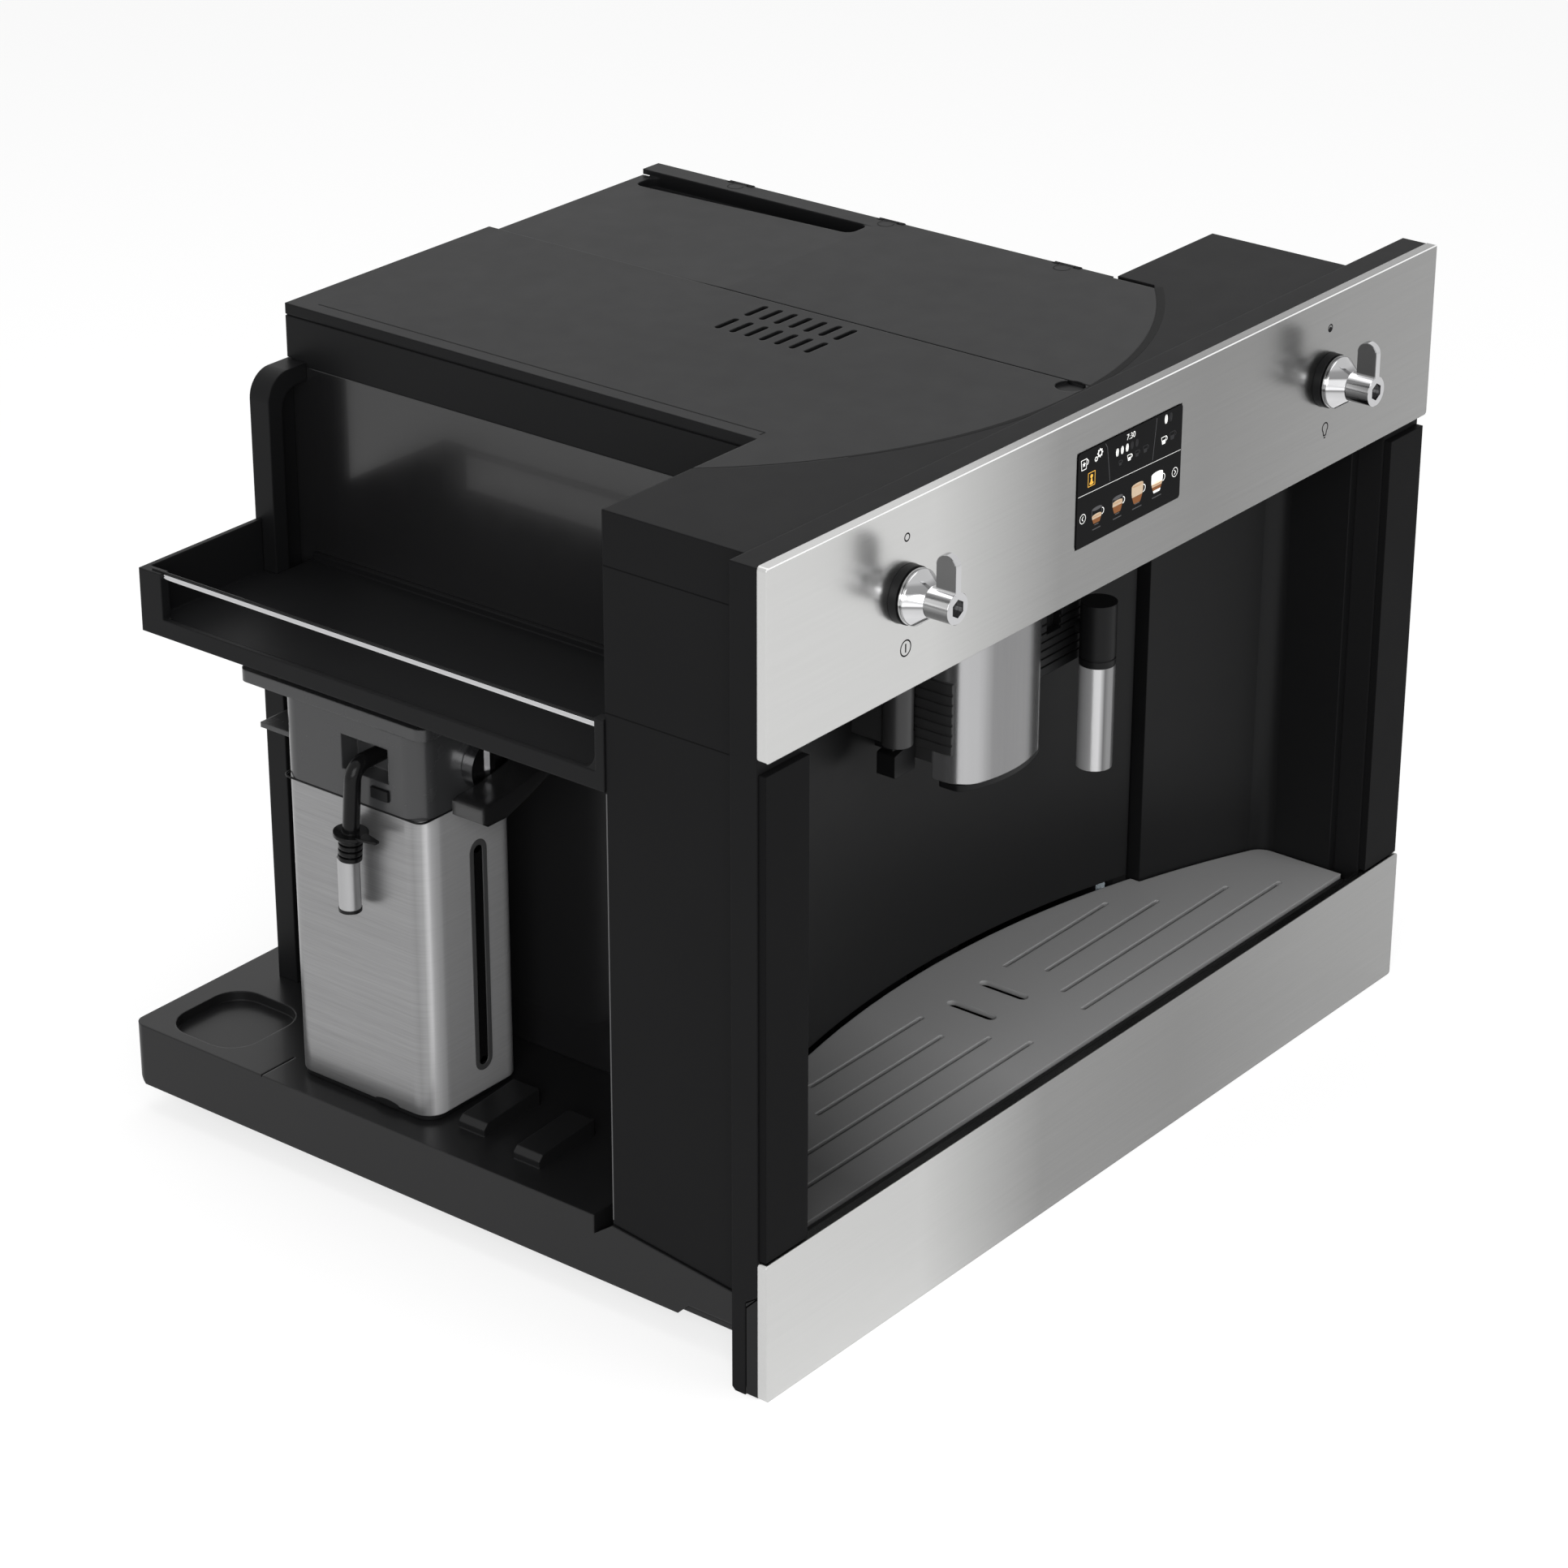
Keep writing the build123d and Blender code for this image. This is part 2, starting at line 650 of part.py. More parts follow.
def knob(x):
    """A chrome knob: flange, cone, stem, end cap with a hexagon socket and a blade lever."""
    back = FACE_Y - KNOB_RING_DEPTH - GAP
    flange_front = back - KNOB_FLANGE_DEPTH / 2
    cone_front = flange_front - KNOB_CONE_DEPTH
    front = FACE_Y - KNOB_REACH
    body = rod_y(x, KNOB_Z, flange_front, back, KNOB_FLANGE_RADIUS)
    body += cone_y(x, KNOB_Z, cone_front, flange_front, KNOB_STEM_RADIUS, KNOB_FLANGE_RADIUS)
    body += rod_y(x, KNOB_Z, front, cone_front, KNOB_STEM_RADIUS)
    body -= Pos(x, front, KNOB_Z) * Rot(90, 0, 0) * hexagon()
    body += rod_y(x, KNOB_Z, back, SWITCH_DEPTH - SHELL_WALL - GAP, SWITCH_SHAFT_RADIUS)
    body += lever(x, front)
    return one(body)


def hexagon():
    """A hexagonal tool that cuts the knob's socket."""
    return extrude(RegularPolygon(HEX_WIDTH / 2, 6), HEX_DEPTH, both=True)


def lever(x, front):
    """The blade lever above a knob's stem, rounded at its top."""
    half = LEVER_WIDTH / 2
    low = KNOB_Z + KNOB_NECK_RADIUS - SHEET_GAUGE
    round_z = KNOB_Z + LEVER_HEIGHT - half
    x0 = x - LEVER_THICKNESS / 2
    x1 = x + LEVER_THICKNESS / 2
    blade = block(x0, x1, front, front + LEVER_WIDTH, low, round_z)
    return blade + rod_x(front + half, round_z, x0, x1, half)


# Front housing and niche


def niche_cylinder(offset, z0, z1):
    """A cylinder on the niche's arc, grown by an offset."""
    return rod_z(0, NICHE_ARC_Y, z0, z1, NICHE_ARC_RADIUS + offset)


def module_shell():
    """The front housing: left wall, top with the arc cut for the covers, back and right walls."""
    x0 = -HOUSING_HALF_WIDTH
    wall = SHELL_WALL
    side = [
        (-SEAT_STEP, HOUSING_FOOT_FRONT),
        (HOUSING_DEPTH, HOUSING_FOOT_BACK),
        (HOUSING_DEPTH, HOUSING_TOP),
        (-SEAT_STEP, HOUSING_TOP),
    ]
    shell = side_prism(side, x0, x0 + wall)
    shell += block(x0, HOUSING_RIGHT, -SEAT_STEP, HOUSING_DEPTH, HOUSING_TOP - wall, HOUSING_TOP)
    shell += block(HOUSING_RIGHT - wall, HOUSING_RIGHT, -SEAT_STEP, HOUSING_DEPTH, NICHE_TOP + wall, HOUSING_TOP)
    back_y = HOUSING_DEPTH - wall
    shell += block(x0, -BODY_LEFT, back_y, HOUSING_DEPTH, HOUSING_FOOT_BACK, HOUSING_TOP)
    shell += block(BODY_RIGHT, HOUSING_RIGHT, back_y, HOUSING_DEPTH, NICHE_TOP + wall, HOUSING_TOP)
    shell += block(REAR_WALL_X, HOUSING_RIGHT, back_y, HOUSING_DEPTH, CHASSIS_TOP, NICHE_TOP + wall)
    shell -= cover_arc(0, HOUSING_TOP - wall - OVERRUN, HOUSING_TOP + OVERRUN, x0 + wall, LID_EDGE + LID_SWING_GAP)
    shell -= niche_cylinder(DOOR_THICKNESS + GAP, HOUSING_FOOT_BACK - OVERRUN, NICHE_TOP) & block(
        x0 + wall, DOOR_SEAM, 0, HOUSING_DEPTH, HOUSING_FOOT_BACK - OVERRUN, NICHE_TOP
    )
    return one(shell + arc_ledge())


def cover_arc(offset, z0, z1, x0, x1):
    """The covers' round front, grown by an offset and cut to the housing's depth."""
    disc = rod_z(COVER_ARC_X, COVER_ARC_Y, z0, z1, COVER_ARC_RADIUS + offset)
    return disc & block(x0, x1, 0, HOUSING_DEPTH, z0, z1)


def arc_ledge():
    """The ledge under the front edges of the covers."""
    z1 = COVER_LOW - COVER_REST_GAP
    z0 = z1 - SHELL_WALL
    x0 = -HOUSING_HALF_WIDTH + SHELL_WALL
    inner = rod_z(COVER_ARC_X, COVER_ARC_Y, z0, z1, COVER_ARC_RADIUS - SHELL_WALL * 2)
    ledge = cover_arc(SHELL_WALL, z0, z1, x0, LID_EDGE) - inner
    rim = cover_arc(SHELL_WALL, z0, COVER_LOW, x0, LID_EDGE) - cover_arc(0, z0, COVER_LOW, x0, LID_EDGE)
    return ledge + rim


def niche_liner():
    """The niche's fixed lining: ceiling, side walls, rounded corner and the wall beside the door."""
    wall = SHELL_WALL
    low = CHASSIS_TOP
    x0 = -HOUSING_HALF_WIDTH + wall
    right = NICHE_RIGHT + wall
    liner = block(x0, right, -SEAT_STEP, HOUSING_DEPTH - wall, NICHE_TOP, NICHE_TOP + wall)
    side_back = DOOR_AXIS_DEPTH + DOOR_KNUCKLE_RADIUS
    liner += block(x0, -NICHE_HALF, -SEAT_STEP, side_back, low, NICHE_TOP)
    liner += block(NICHE_RIGHT, NICHE_HALF + wall, -SEAT_STEP, wall, low, NICHE_TOP)
    lining = grille_plan(-GRILLE_GAP - wall, low, NICHE_TOP)
    lining -= grille_plan(-GRILLE_GAP, low - OVERRUN, NICHE_TOP + OVERRUN)
    liner += lining & block(DOOR_SEAM + DOOR_SEAM_GAP, right, 0, HOUSING_DEPTH, low, NICHE_TOP)
    liner += hinge_lugs()
    return one(liner)


def hinge_lugs():
    """The two lugs that hold the door's pins."""
    x0 = -NICHE_HALF
    x1 = DOOR_AXIS_X + DOOR_KNUCKLE_RADIUS
    y0 = DOOR_AXIS_DEPTH - DOOR_KNUCKLE_RADIUS
    y1 = DOOR_AXIS_DEPTH + DOOR_KNUCKLE_RADIUS
    low = block(x0, x1, y0, y1, DOOR_LOW - BREW_PLATE, DOOR_LOW - GAP)
    low -= rod_z(DOOR_AXIS_X, DOOR_AXIS_DEPTH, DOOR_LOW - BREW_PLATE, DOOR_LOW, DOOR_PIN_RADIUS)
    low -= grille_plan(-GRILLE_GAP, DOOR_LOW - BREW_PLATE, DOOR_LOW)
    high = block(x0, x1, y0, y1, DOOR_TOP + GAP, NICHE_TOP)
    high -= rod_z(DOOR_AXIS_X, DOOR_AXIS_DEPTH, DOOR_TOP, NICHE_TOP, DOOR_PIN_RADIUS)
    return low + high


def service_door():
    """The curved door that fills the niche's back, with its hinge knuckles and the spout's rail."""
    z0 = DOOR_LOW
    z1 = DOOR_TOP
    leaf = niche_cylinder(DOOR_THICKNESS, z0, z1) - niche_cylinder(0, z0 - OVERRUN, z1 + OVERRUN)
    leaf &= block(DOOR_AXIS_X, DOOR_SEAM - DOOR_SEAM_GAP, 0, NICHE_ARC_DEPTH + DOOR_THICKNESS, z0, z1)
    leaf += rod_z(DOOR_AXIS_X, DOOR_AXIS_DEPTH, z0, z1, DOOR_KNUCKLE_RADIUS)
    bore = DOOR_PIN_RADIUS + RUNNING_CLEARANCE
    depth = DOOR_KNUCKLE_RADIUS * 2
    leaf -= rod_z(DOOR_AXIS_X, DOOR_AXIS_DEPTH, z0 - OVERRUN, z0 + depth, bore)
    leaf -= rod_z(DOOR_AXIS_X, DOOR_AXIS_DEPTH, z1 - depth, z1 + OVERRUN, bore)
    leaf += spout_rail(0, SPOUT_RAIL_LOW, SPOUT_TOP)
    return one(leaf)


def spout_rail(grow, z0, z1):
    """The rail on the door that the spout slides on, or its groove when grown."""
    half = SPOUT_RAIL_WIDTH / 2 + grow
    return block(-half, half, NICHE_ARC_DEPTH - SPOUT_RAIL_DEPTH - grow, NICHE_ARC_DEPTH + GAP, z0, z1)


def door_pins():
    """The two pins that the door turns on."""
    depth = DOOR_KNUCKLE_RADIUS * 2 - GAP
    low = rod_z(DOOR_AXIS_X, DOOR_AXIS_DEPTH, DOOR_LOW - BREW_PLATE, DOOR_LOW + depth, DOOR_PIN_RADIUS)
    high = rod_z(DOOR_AXIS_X, DOOR_AXIS_DEPTH, DOOR_TOP - depth, NICHE_TOP, DOOR_PIN_RADIUS)
    return Compound(children=[one(low), one(high)])


# Drip drawer


def grille_plan(inset, z0, z1):
    """The plan of the drip area: the niche's arc, its step at the seam and the right corner."""
    x0 = -NICHE_HALF + GRILLE_GAP * 2 + inset
    x1 = NICHE_RIGHT - GRILLE_GAP - inset
    front = FACE_Y + GRILLE_FRONT + inset
    reach = NICHE_ARC_DEPTH
    left = block(x0, DOOR_SEAM - inset, front, reach, z0, z1) & niche_cylinder(-GRILLE_GAP - inset, z0, z1)
    right = block(-OVERRUN, x1, front, reach, z0, z1) & niche_cylinder(-NICHE_STEP - GRILLE_GAP - inset, z0, z1)
    plan = one(left + right)
    corner = [edge for edge in plan.edges().filter_by(Axis.Z) if edge.center().X > x1 - GAP and edge.center().Y > 0]
    return fillet(corner, GRILLE_CORNER - inset)


def drip_grille():
    """The drip grille with its long slots and the two cup slots under the spout."""
    z1 = GRILLE_LEVEL
    z0 = z1 - GRILLE_THICKNESS
    grille = grille_plan(0, z0, z1)
    half = NICHE_RIGHT
    row_depth_share = (0.69, 0.495, 0.3, 0.11)
    slot_start_share = (0.148, 0.188, 0.131, 0.092)
    slot_end_share = (0.543, 0.625, 0.781, 0.875)
    for depth, start, end in zip(row_depth_share, slot_start_share, slot_end_share):
        for side in (-1, 1):
            length = (end - start) * half
            middle = side * (start + end) / 2 * half
            cutter = extrude(SlotOverall(length, SLOT_WIDTH), GRILLE_THICKNESS * 2, both=True)
            grille -= Pos(middle, depth * NICHE_ARC_DEPTH, z0) * cutter
    for side in (-1, 1):
        cutter = extrude(SlotOverall(CUP_SLOT_LENGTH, CUP_SLOT_WIDTH, rotation=90), GRILLE_THICKNESS * 2, both=True)
        grille -= Pos(side * CUP_SLOT_SPACING / 2, CUP_SLOT_DEPTH, z0) * cutter
    return one(grille)


def drip_tray():
    """The drip drawer: its tray, open at the top, and the black backing behind the steel front."""
    z1 = GRILLE_LEVEL - GRILLE_THICKNESS
    z0 = z1 - TRAY_DEPTH
    tray = grille_plan(0, z0, z1)
    pocket = grille_plan(TRAY_WALL, z0 + TRAY_WALL, z1)
    tray -= pocket
    backing = [
        (FRAME_FRONT, FRONT_LOW + SHEET_GAUGE),
        (DRAWER_BACK, FRONT_LOW + SHEET_GAUGE),
        (DRAWER_BACK, FRONT_LOW + DRAWER_FRONT_HEIGHT - SHEET_RETURN - GAP),
        (FRAME_FRONT, FRONT_LOW + DRAWER_FRONT_HEIGHT - GAP),
    ]
    tray += side_prism(backing, -HALF_FRONT, HALF_FRONT)
    front = FACE_Y + GRILLE_FRONT
    tray += block(-NICHE_HALF + GRILLE_GAP, NICHE_RIGHT - GRILLE_GAP, FRAME_FRONT, front, z0, z1)
    tray += float_guide(z0)
    return one(tray)


def float_guide(z0):
    """The guide tube round the float, on the tray's floor."""
    x, y = float_place()
    low = z0 + TRAY_WALL
    tube = rod_z(x, y, low, low + FLOAT_HEIGHT / 2, FLOAT_RADIUS + FLOAT_CLEARANCE + TRAY_WALL)
    return tube - rod_z(x, y, low, low + FLOAT_HEIGHT, FLOAT_RADIUS + FLOAT_CLEARANCE)


def float_place():
    """The place of the float in the tray."""
    return CUP_SLOT_SPACING * 2, CUP_SLOT_DEPTH / 2


def float_indicator():
    """The float that rises when the tray is full."""
    x, y = float_place()
    low = GRILLE_LEVEL - GRILLE_THICKNESS - TRAY_DEPTH + TRAY_WALL + JUG_REST_GAP
    high = low + FLOAT_HEIGHT
    cap = cone_z(x, y, high, high + FLOAT_RADIUS / 2, FLOAT_RADIUS, FLOAT_RADIUS / 2)
    return one(rod_z(x, y, low, high, FLOAT_RADIUS) + cap)


# Coffee spout and hot water nozzle


def spout_plan(offset, back, z0, z1):
    """The spout's plan, with a bowed nose and round corners, grown by an offset."""
    half = SPOUT_WIDTH / 2 + offset
    nose = SPOUT_NOSE - offset
    shoulder = nose + SPOUT_BOW
    edges = [
        Line((-half, back), (-half, shoulder)),
        ThreePointArc((-half, shoulder), (0, nose), (half, shoulder)),
        Line((half, shoulder), (half, back)),
        Line((half, back), (-half, back)),
    ]
    face = make_face(edges)
    corners = [vertex for vertex in face.vertices() if abs(vertex.Y - shoulder) < SPOUT_SKIN / 2]
    face = fillet(corners, SPOUT_CORNER + offset)
    return extrude(Pos(0, 0, z0) * face, z1 - z0)


def spout_cover():
    """The steel wrap round the spout."""
    back = SPOUT_STEEL_BACK
    cover = spout_plan(0, back, SPOUT_BOTTOM, SPOUT_TOP)
    return one(cover - spout_plan(-SPOUT_SKIN, back + OVERRUN, SPOUT_BOTTOM - OVERRUN, SPOUT_TOP + OVERRUN))


def spout_carriage():
    """The black carriage of the spout: core, back, ribbed grips and the groove for the door's rail."""
    low = SPOUT_BOTTOM + OUTLET_LENGTH
    back = NICHE_ARC_DEPTH
    carriage = spout_plan(-SPOUT_SKIN, SPOUT_STEEL_BACK, low, SPOUT_TOP)
    rear = spout_plan(0, back, low, SPOUT_TOP)
    carriage += rear & block(-SPOUT_WIDTH, SPOUT_WIDTH, SPOUT_STEEL_BACK, back, low, SPOUT_TOP)
    carriage &= niche_cylinder(-SLIDE_GAP, low, SPOUT_TOP)
    carriage += spout_grips()
    carriage -= spout_rail(SLIDE_GAP, low - OVERRUN, SPOUT_TOP + OVERRUN)
    for side in (-1, 1):
        x = side * OUTLET_OFFSET
        carriage -= rod_z(x, OUTLET_DEPTH, low - OVERRUN, low + OUTLET_LENGTH, OUTLET_RADIUS)
    return one(carriage)


def coffee_outlets():
    """The two coffee outlets under the carriage."""
    low = SPOUT_BOTTOM + SPOUT_SKIN
    high = low + OUTLET_LENGTH * 3 / 2
    outlets = []
    for side in (-1, 1):
        x = side * OUTLET_OFFSET
        tube = rod_z(x, OUTLET_DEPTH, low, high, OUTLET_RADIUS)
        outlets.append(one(tube - rod_z(x, OUTLET_DEPTH, low - OVERRUN, high + OVERRUN, OUTLET_RADIUS / 2)))
    return Compound(children=outlets)


def spout_grips():
    """The two ribbed grips on the spout's sides, which lie over the wrap's rear edges."""
    z0 = SPOUT_BOTTOM + GRIP_RISE
    z1 = z0 + GRIP_HEIGHT
    y1 = GRIP_FRONT + GRIP_DEPTH
    skin = spout_plan(GRIP_PROUD, y1, z0, z1) - spout_plan(0, y1 + OVERRUN, z0 - OVERRUN, z1 + OVERRUN)
    skin &= block(-SPOUT_WIDTH, SPOUT_WIDTH, GRIP_FRONT, y1, z0, z1)
    pitch = GRIP_HEIGHT / GRIP_RIBS
    for rib in range(1, GRIP_RIBS):
        level = z0 + rib * pitch
        tool = spout_plan(OVERRUN, y1 + OVERRUN, level - GRIP_GROOVE, level + GRIP_GROOVE)
        skin -= tool - spout_plan(GRIP_PROUD / 2, y1 + OVERRUN, level - GRIP_GROOVE, level + GRIP_GROOVE)
    return skin


def spout_guide():
    """The round guide column beside the spout, with the arm that carries it on the door."""
    column = rod_z(GUIDE_X, GUIDE_DEPTH, GUIDE_BOTTOM, SPOUT_TOP, GUIDE_RADIUS)
    half = GUIDE_ARM / 2
    arm = block(GUIDE_X - half, GUIDE_X + half, GUIDE_DEPTH, NICHE_ARC_DEPTH, GUIDE_BOTTOM, SPOUT_TOP)
    return one(column + (arm & niche_cylinder(0, GUIDE_BOTTOM, SPOUT_TOP)))


def nozzle_level():
    """The height of the hot water nozzle's plug."""
    return NOZZLE_BOTTOM + NOZZLE_TUBE_LENGTH + NOZZLE_SLEEVE_LENGTH / 2


def nozzle_housing():
    """The ribbed socket housing on the door that takes the hot water nozzle."""
    x0 = NOZZLE_X - SOCKET_HOUSING_OFFSET
    x1 = x0 + SOCKET_HOUSING_WIDTH
    z0 = nozzle_level() - SOCKET_HOUSING_HEIGHT / 2
    z1 = z0 + SOCKET_HOUSING_HEIGHT
    y0 = SOCKET_HOUSING_FRONT
    housing = block(x0, x1, y0, NICHE_ARC_DEPTH, z0, z1) & niche_cylinder(0, z0, z1)
    ribs = int(SOCKET_HOUSING_HEIGHT / SOCKET_RIB_PITCH)
    for rib in range(1, ribs):
        level = z0 + rib * SOCKET_RIB_PITCH
        groove = SOCKET_RIB_GROOVE
        housing -= block(x0 - OVERRUN, x1 + OVERRUN, y0 - OVERRUN, y0 + groove, level, level + groove)
    socket_x = x0 + SOCKET_SINK
    socket_z = z1 - SOCKET_SIDE
    housing -= block(socket_x, socket_x + SOCKET_SIDE, y0 - OVERRUN, y0 + SOCKET_SINK, socket_z, z1 - SOCKET_RIB_GROOVE)
    bore = NOZZLE_PLUG_RADIUS + RUNNING_CLEARANCE
    housing -= rod_y(NOZZLE_X, nozzle_level(), y0 - OVERRUN, y0 + NOZZLE_PLUG_LENGTH + GAP, bore)
    return one(housing)


def nozzle_sleeve():
    """The black upper sleeve of the hot water nozzle, with its plug."""
    z0 = NOZZLE_BOTTOM + NOZZLE_TUBE_LENGTH
    sleeve = rod_z(NOZZLE_X, NOZZLE_Y, z0, z0 + NOZZLE_SLEEVE_LENGTH, NOZZLE_RADIUS)
    ring_low = z0 + NOZZLE_RING_RISE
    ring_high = ring_low + SPOUT_SKIN
    ring = rod_z(NOZZLE_X, NOZZLE_Y, ring_low, ring_high, NOZZLE_RADIUS + OVERRUN)
    sleeve -= ring - rod_z(NOZZLE_X, NOZZLE_Y, ring_low, ring_high, NOZZLE_RADIUS - GAP)
    y1 = SOCKET_HOUSING_FRONT + NOZZLE_PLUG_LENGTH
    sleeve += rod_y(NOZZLE_X, nozzle_level(), NOZZLE_Y, y1, NOZZLE_PLUG_RADIUS)
    return one(sleeve)


def nozzle_tube():
    """The steel tube of the hot water nozzle."""
    z1 = NOZZLE_BOTTOM + NOZZLE_TUBE_LENGTH
    tube = rod_z(NOZZLE_X, NOZZLE_Y, NOZZLE_BOTTOM, z1, NOZZLE_TUBE_RADIUS)
    bore = NOZZLE_TUBE_RADIUS - SPOUT_SKIN
    return one(tube - rod_z(NOZZLE_X, NOZZLE_Y, NOZZLE_BOTTOM - OVERRUN, z1 + OVERRUN, bore))


# Main body and covers


def top_cover():
    """The left cover, with its round front, side skirt, two rows of vents and a finger notch."""
    x1 = LID_SEAM - GAP
    arc_left = -HOUSING_HALF_WIDTH + SHELL_WALL
    cover = block(-BODY_LEFT, x1, HOUSING_DEPTH, BODY_BACK, COVER_LOW, HOUSING_TOP)
    cover += cover_arc(-GAP, COVER_LOW, HOUSING_TOP, arc_left, x1)
    skirt_low = HOUSING_TOP - COVER_SKIRT
    skirt_right = -BODY_LEFT + SHELL_WALL
    skirt_back = BODY_BACK - SHELL_WALL
    cover += block(-BODY_LEFT, skirt_right, HOUSING_DEPTH, skirt_back, skirt_low, COVER_LOW)
    cover += block(-BODY_LEFT, x1, skirt_back, BODY_BACK, EAR_TOP + GAP, COVER_LOW)
    groove = HOUSING_TOP - COVER_GROOVE_DROP
    inner = -BODY_LEFT + COVER_GROOVE
    cover -= block(-BODY_LEFT - OVERRUN, inner, HOUSING_DEPTH, BODY_BACK + OVERRUN, groove, groove + COVER_GROOVE)
    for row in range(2):
        for slot in range(VENT_COUNT):
            x = -VENT_ROW - row * VENT_ROW_PITCH
            cutter = extrude(SlotOverall(VENT_LENGTH, VENT_WIDTH), COVER_THICKNESS * 2, both=True)
            cover -= Pos(x, VENT_FIRST + slot * VENT_PITCH, COVER_LOW) * cutter
    return one(cover - finger_notch())


def finger_notch():
    """The shallow finger notch at the covers' front edge."""
    return rod_z(NOTCH_X, NOTCH_Y, HOUSING_TOP - NOTCH_DEPTH, HOUSING_TOP + OVERRUN, NOTCH_RADIUS)


def lid_axis():
    """The place of the lid's hinge axis as (x, z)."""
    return LID_EDGE, COVER_LOW + COVER_THICKNESS / 2


def lid_hinge_places():
    """The depths of the lid's three hinges."""
    hinge_share = (0.3, 0.59, 0.85)
    return [share * BODY_BACK for share in hinge_share]


def bean_lid():
    """The right cover, hinged on the right, with a long finger recess and a falling back half."""
    x0 = LID_SEAM + GAP
    lid = block(x0, LID_EDGE, HOUSING_DEPTH, BODY_BACK, COVER_LOW, HOUSING_TOP)
    lid += cover_arc(-GAP, COVER_LOW, HOUSING_TOP, x0, LID_EDGE)
    recess_x1 = LID_RECESS_RIGHT
    recess_x0 = recess_x1 - LID_RECESS_WIDTH
    recess_y1 = LID_RECESS_BACK
    recess_y0 = recess_y1 - LID_RECESS_LENGTH
    lid += block(x0, recess_x1, LID_SHOULDER, BODY_BACK, COVER_LOW - LID_FALL, COVER_LOW)
    sink = COVER_LOW - LID_RECESS_SINK
    wall = SHELL_WALL
    lid += block(recess_x0 - wall, recess_x1 + wall, recess_y0 - wall, recess_y1 + wall, sink - wall, COVER_LOW)
    fall = [
        (LID_SHOULDER, HOUSING_TOP),
        (BODY_BACK, HOUSING_TOP - LID_FALL),
        (BODY_BACK + OVERRUN, HOUSING_TOP - LID_FALL),
        (BODY_BACK + OVERRUN, HOUSING_TOP + OVERRUN),
        (LID_SHOULDER, HOUSING_TOP + OVERRUN),
    ]
    lid -= side_prism(fall, x0 - OVERRUN, recess_x1)
    high = HOUSING_TOP + OVERRUN
    swing = LID_EDGE - LID_SWING_GAP
    lid -= block(swing, LID_EDGE + OVERRUN, 0, HOUSING_DEPTH + DOOR_SEAM_GAP, COVER_LOW - OVERRUN, high)
    lid -= rounded_block(recess_x0, recess_x1, recess_y0, recess_y1, sink, high, LID_RECESS_CORNER)
    lid -= finger_notch()
    axis_x, axis_z = lid_axis()
    half = LID_HINGE_LENGTH / 2
    clear = LID_HINGE_RADIUS + GAP
    reach = half + SHELL_WALL + GAP * 2
    for y in lid_hinge_places():
        lid -= block(axis_x - clear, axis_x + OVERRUN, y - reach, y + reach, COVER_LOW - OVERRUN, high)
        lid += rod_y(axis_x, axis_z, y - half, y + half, LID_HINGE_RADIUS)
        lid += block(axis_x - clear, axis_x, y - half, y + half, COVER_LOW, HOUSING_TOP)
        lid -= rod_y(axis_x, axis_z, y - reach, y + reach, LID_PIN_RADIUS + RUNNING_CLEARANCE)
    return one(lid)


def right_panel():
    """The body's right panel with the lid's hinge lugs and pins."""
    axis_x, axis_z = lid_axis()
    top = axis_z - LID_HINGE_RADIUS - GAP
    back = BODY_BACK - SHELL_WALL
    front = HOUSING_DEPTH + DOOR_SEAM_GAP
    panel = block(LID_EDGE, BODY_RIGHT, front, back, CHASSIS_TOP, top)
    inner = LID_HINGE_LENGTH / 2 + GAP
    outer = inner + SHELL_WALL
    for y in lid_hinge_places():
        for side in (-1, 1):
            y0 = min(y + side * inner, y + side * outer)
            y1 = max(y + side * inner, y + side * outer)
            panel += rod_y(axis_x, axis_z, y0, y1, LID_HINGE_RADIUS)
            panel += block(axis_x, axis_x + LID_HINGE_RADIUS, y0, y1, top, axis_z)
        panel += rod_y(axis_x, axis_z, y - outer, y + outer, LID_PIN_RADIUS)
    return one(panel)


def storage_wall():
    """The gloss black wall between the storage bay and the body."""
    x0 = -BODY_LEFT
    return block(x0, x0 + SHELL_WALL, HOUSING_DEPTH, BODY_BACK - SHELL_WALL, CHASSIS_TOP, HOUSING_TOP - COVER_SKIRT)


def inlet_opening(grow):
    """The mains inlet's body, grown by a clearance."""
    z1 = INLET_Z + INLET_HEIGHT
    front = BODY_BACK - INLET_DEPTH
    return block(INLET_X - grow, INLET_X + INLET_WIDTH + grow, front, BODY_BACK, INLET_Z - grow, z1 + grow)


def rear_panel():
    """The back panel with the bay's upright, its rim and rounded ear."""
    y0 = BODY_BACK - SHELL_WALL
    panel = block(-BODY_LEFT, BODY_RIGHT, y0, BODY_BACK, CHASSIS_TOP, EAR_TOP)
    panel += block(LID_SEAM, BODY_RIGHT, y0, BODY_BACK, EAR_TOP, REAR_TOP)
    x0 = -BODY_LEFT - EAR_WIDTH
    front = BODY_BACK - EAR_DEPTH
    ear = block(x0, -BODY_LEFT, front, BODY_BACK, BASE_TOP, EAR_TOP)
    ear = round_top_left(ear, x0, EAR_RADIUS)
    inner = block(x0 + EAR_RIM, -BODY_LEFT, front, y0, BASE_TOP, EAR_TOP - EAR_RIM)
    ear -= round_top_left(inner, x0 + EAR_RIM, EAR_RADIUS - SHELL_WALL)
    panel += ear
    panel -= inlet_opening(GAP / 2)
    for x, z in screw_places():
        panel -= rod_y(x, z, y0 - OVERRUN, BODY_BACK + OVERRUN, SCREW_SHANK_RADIUS)
    return one(panel)


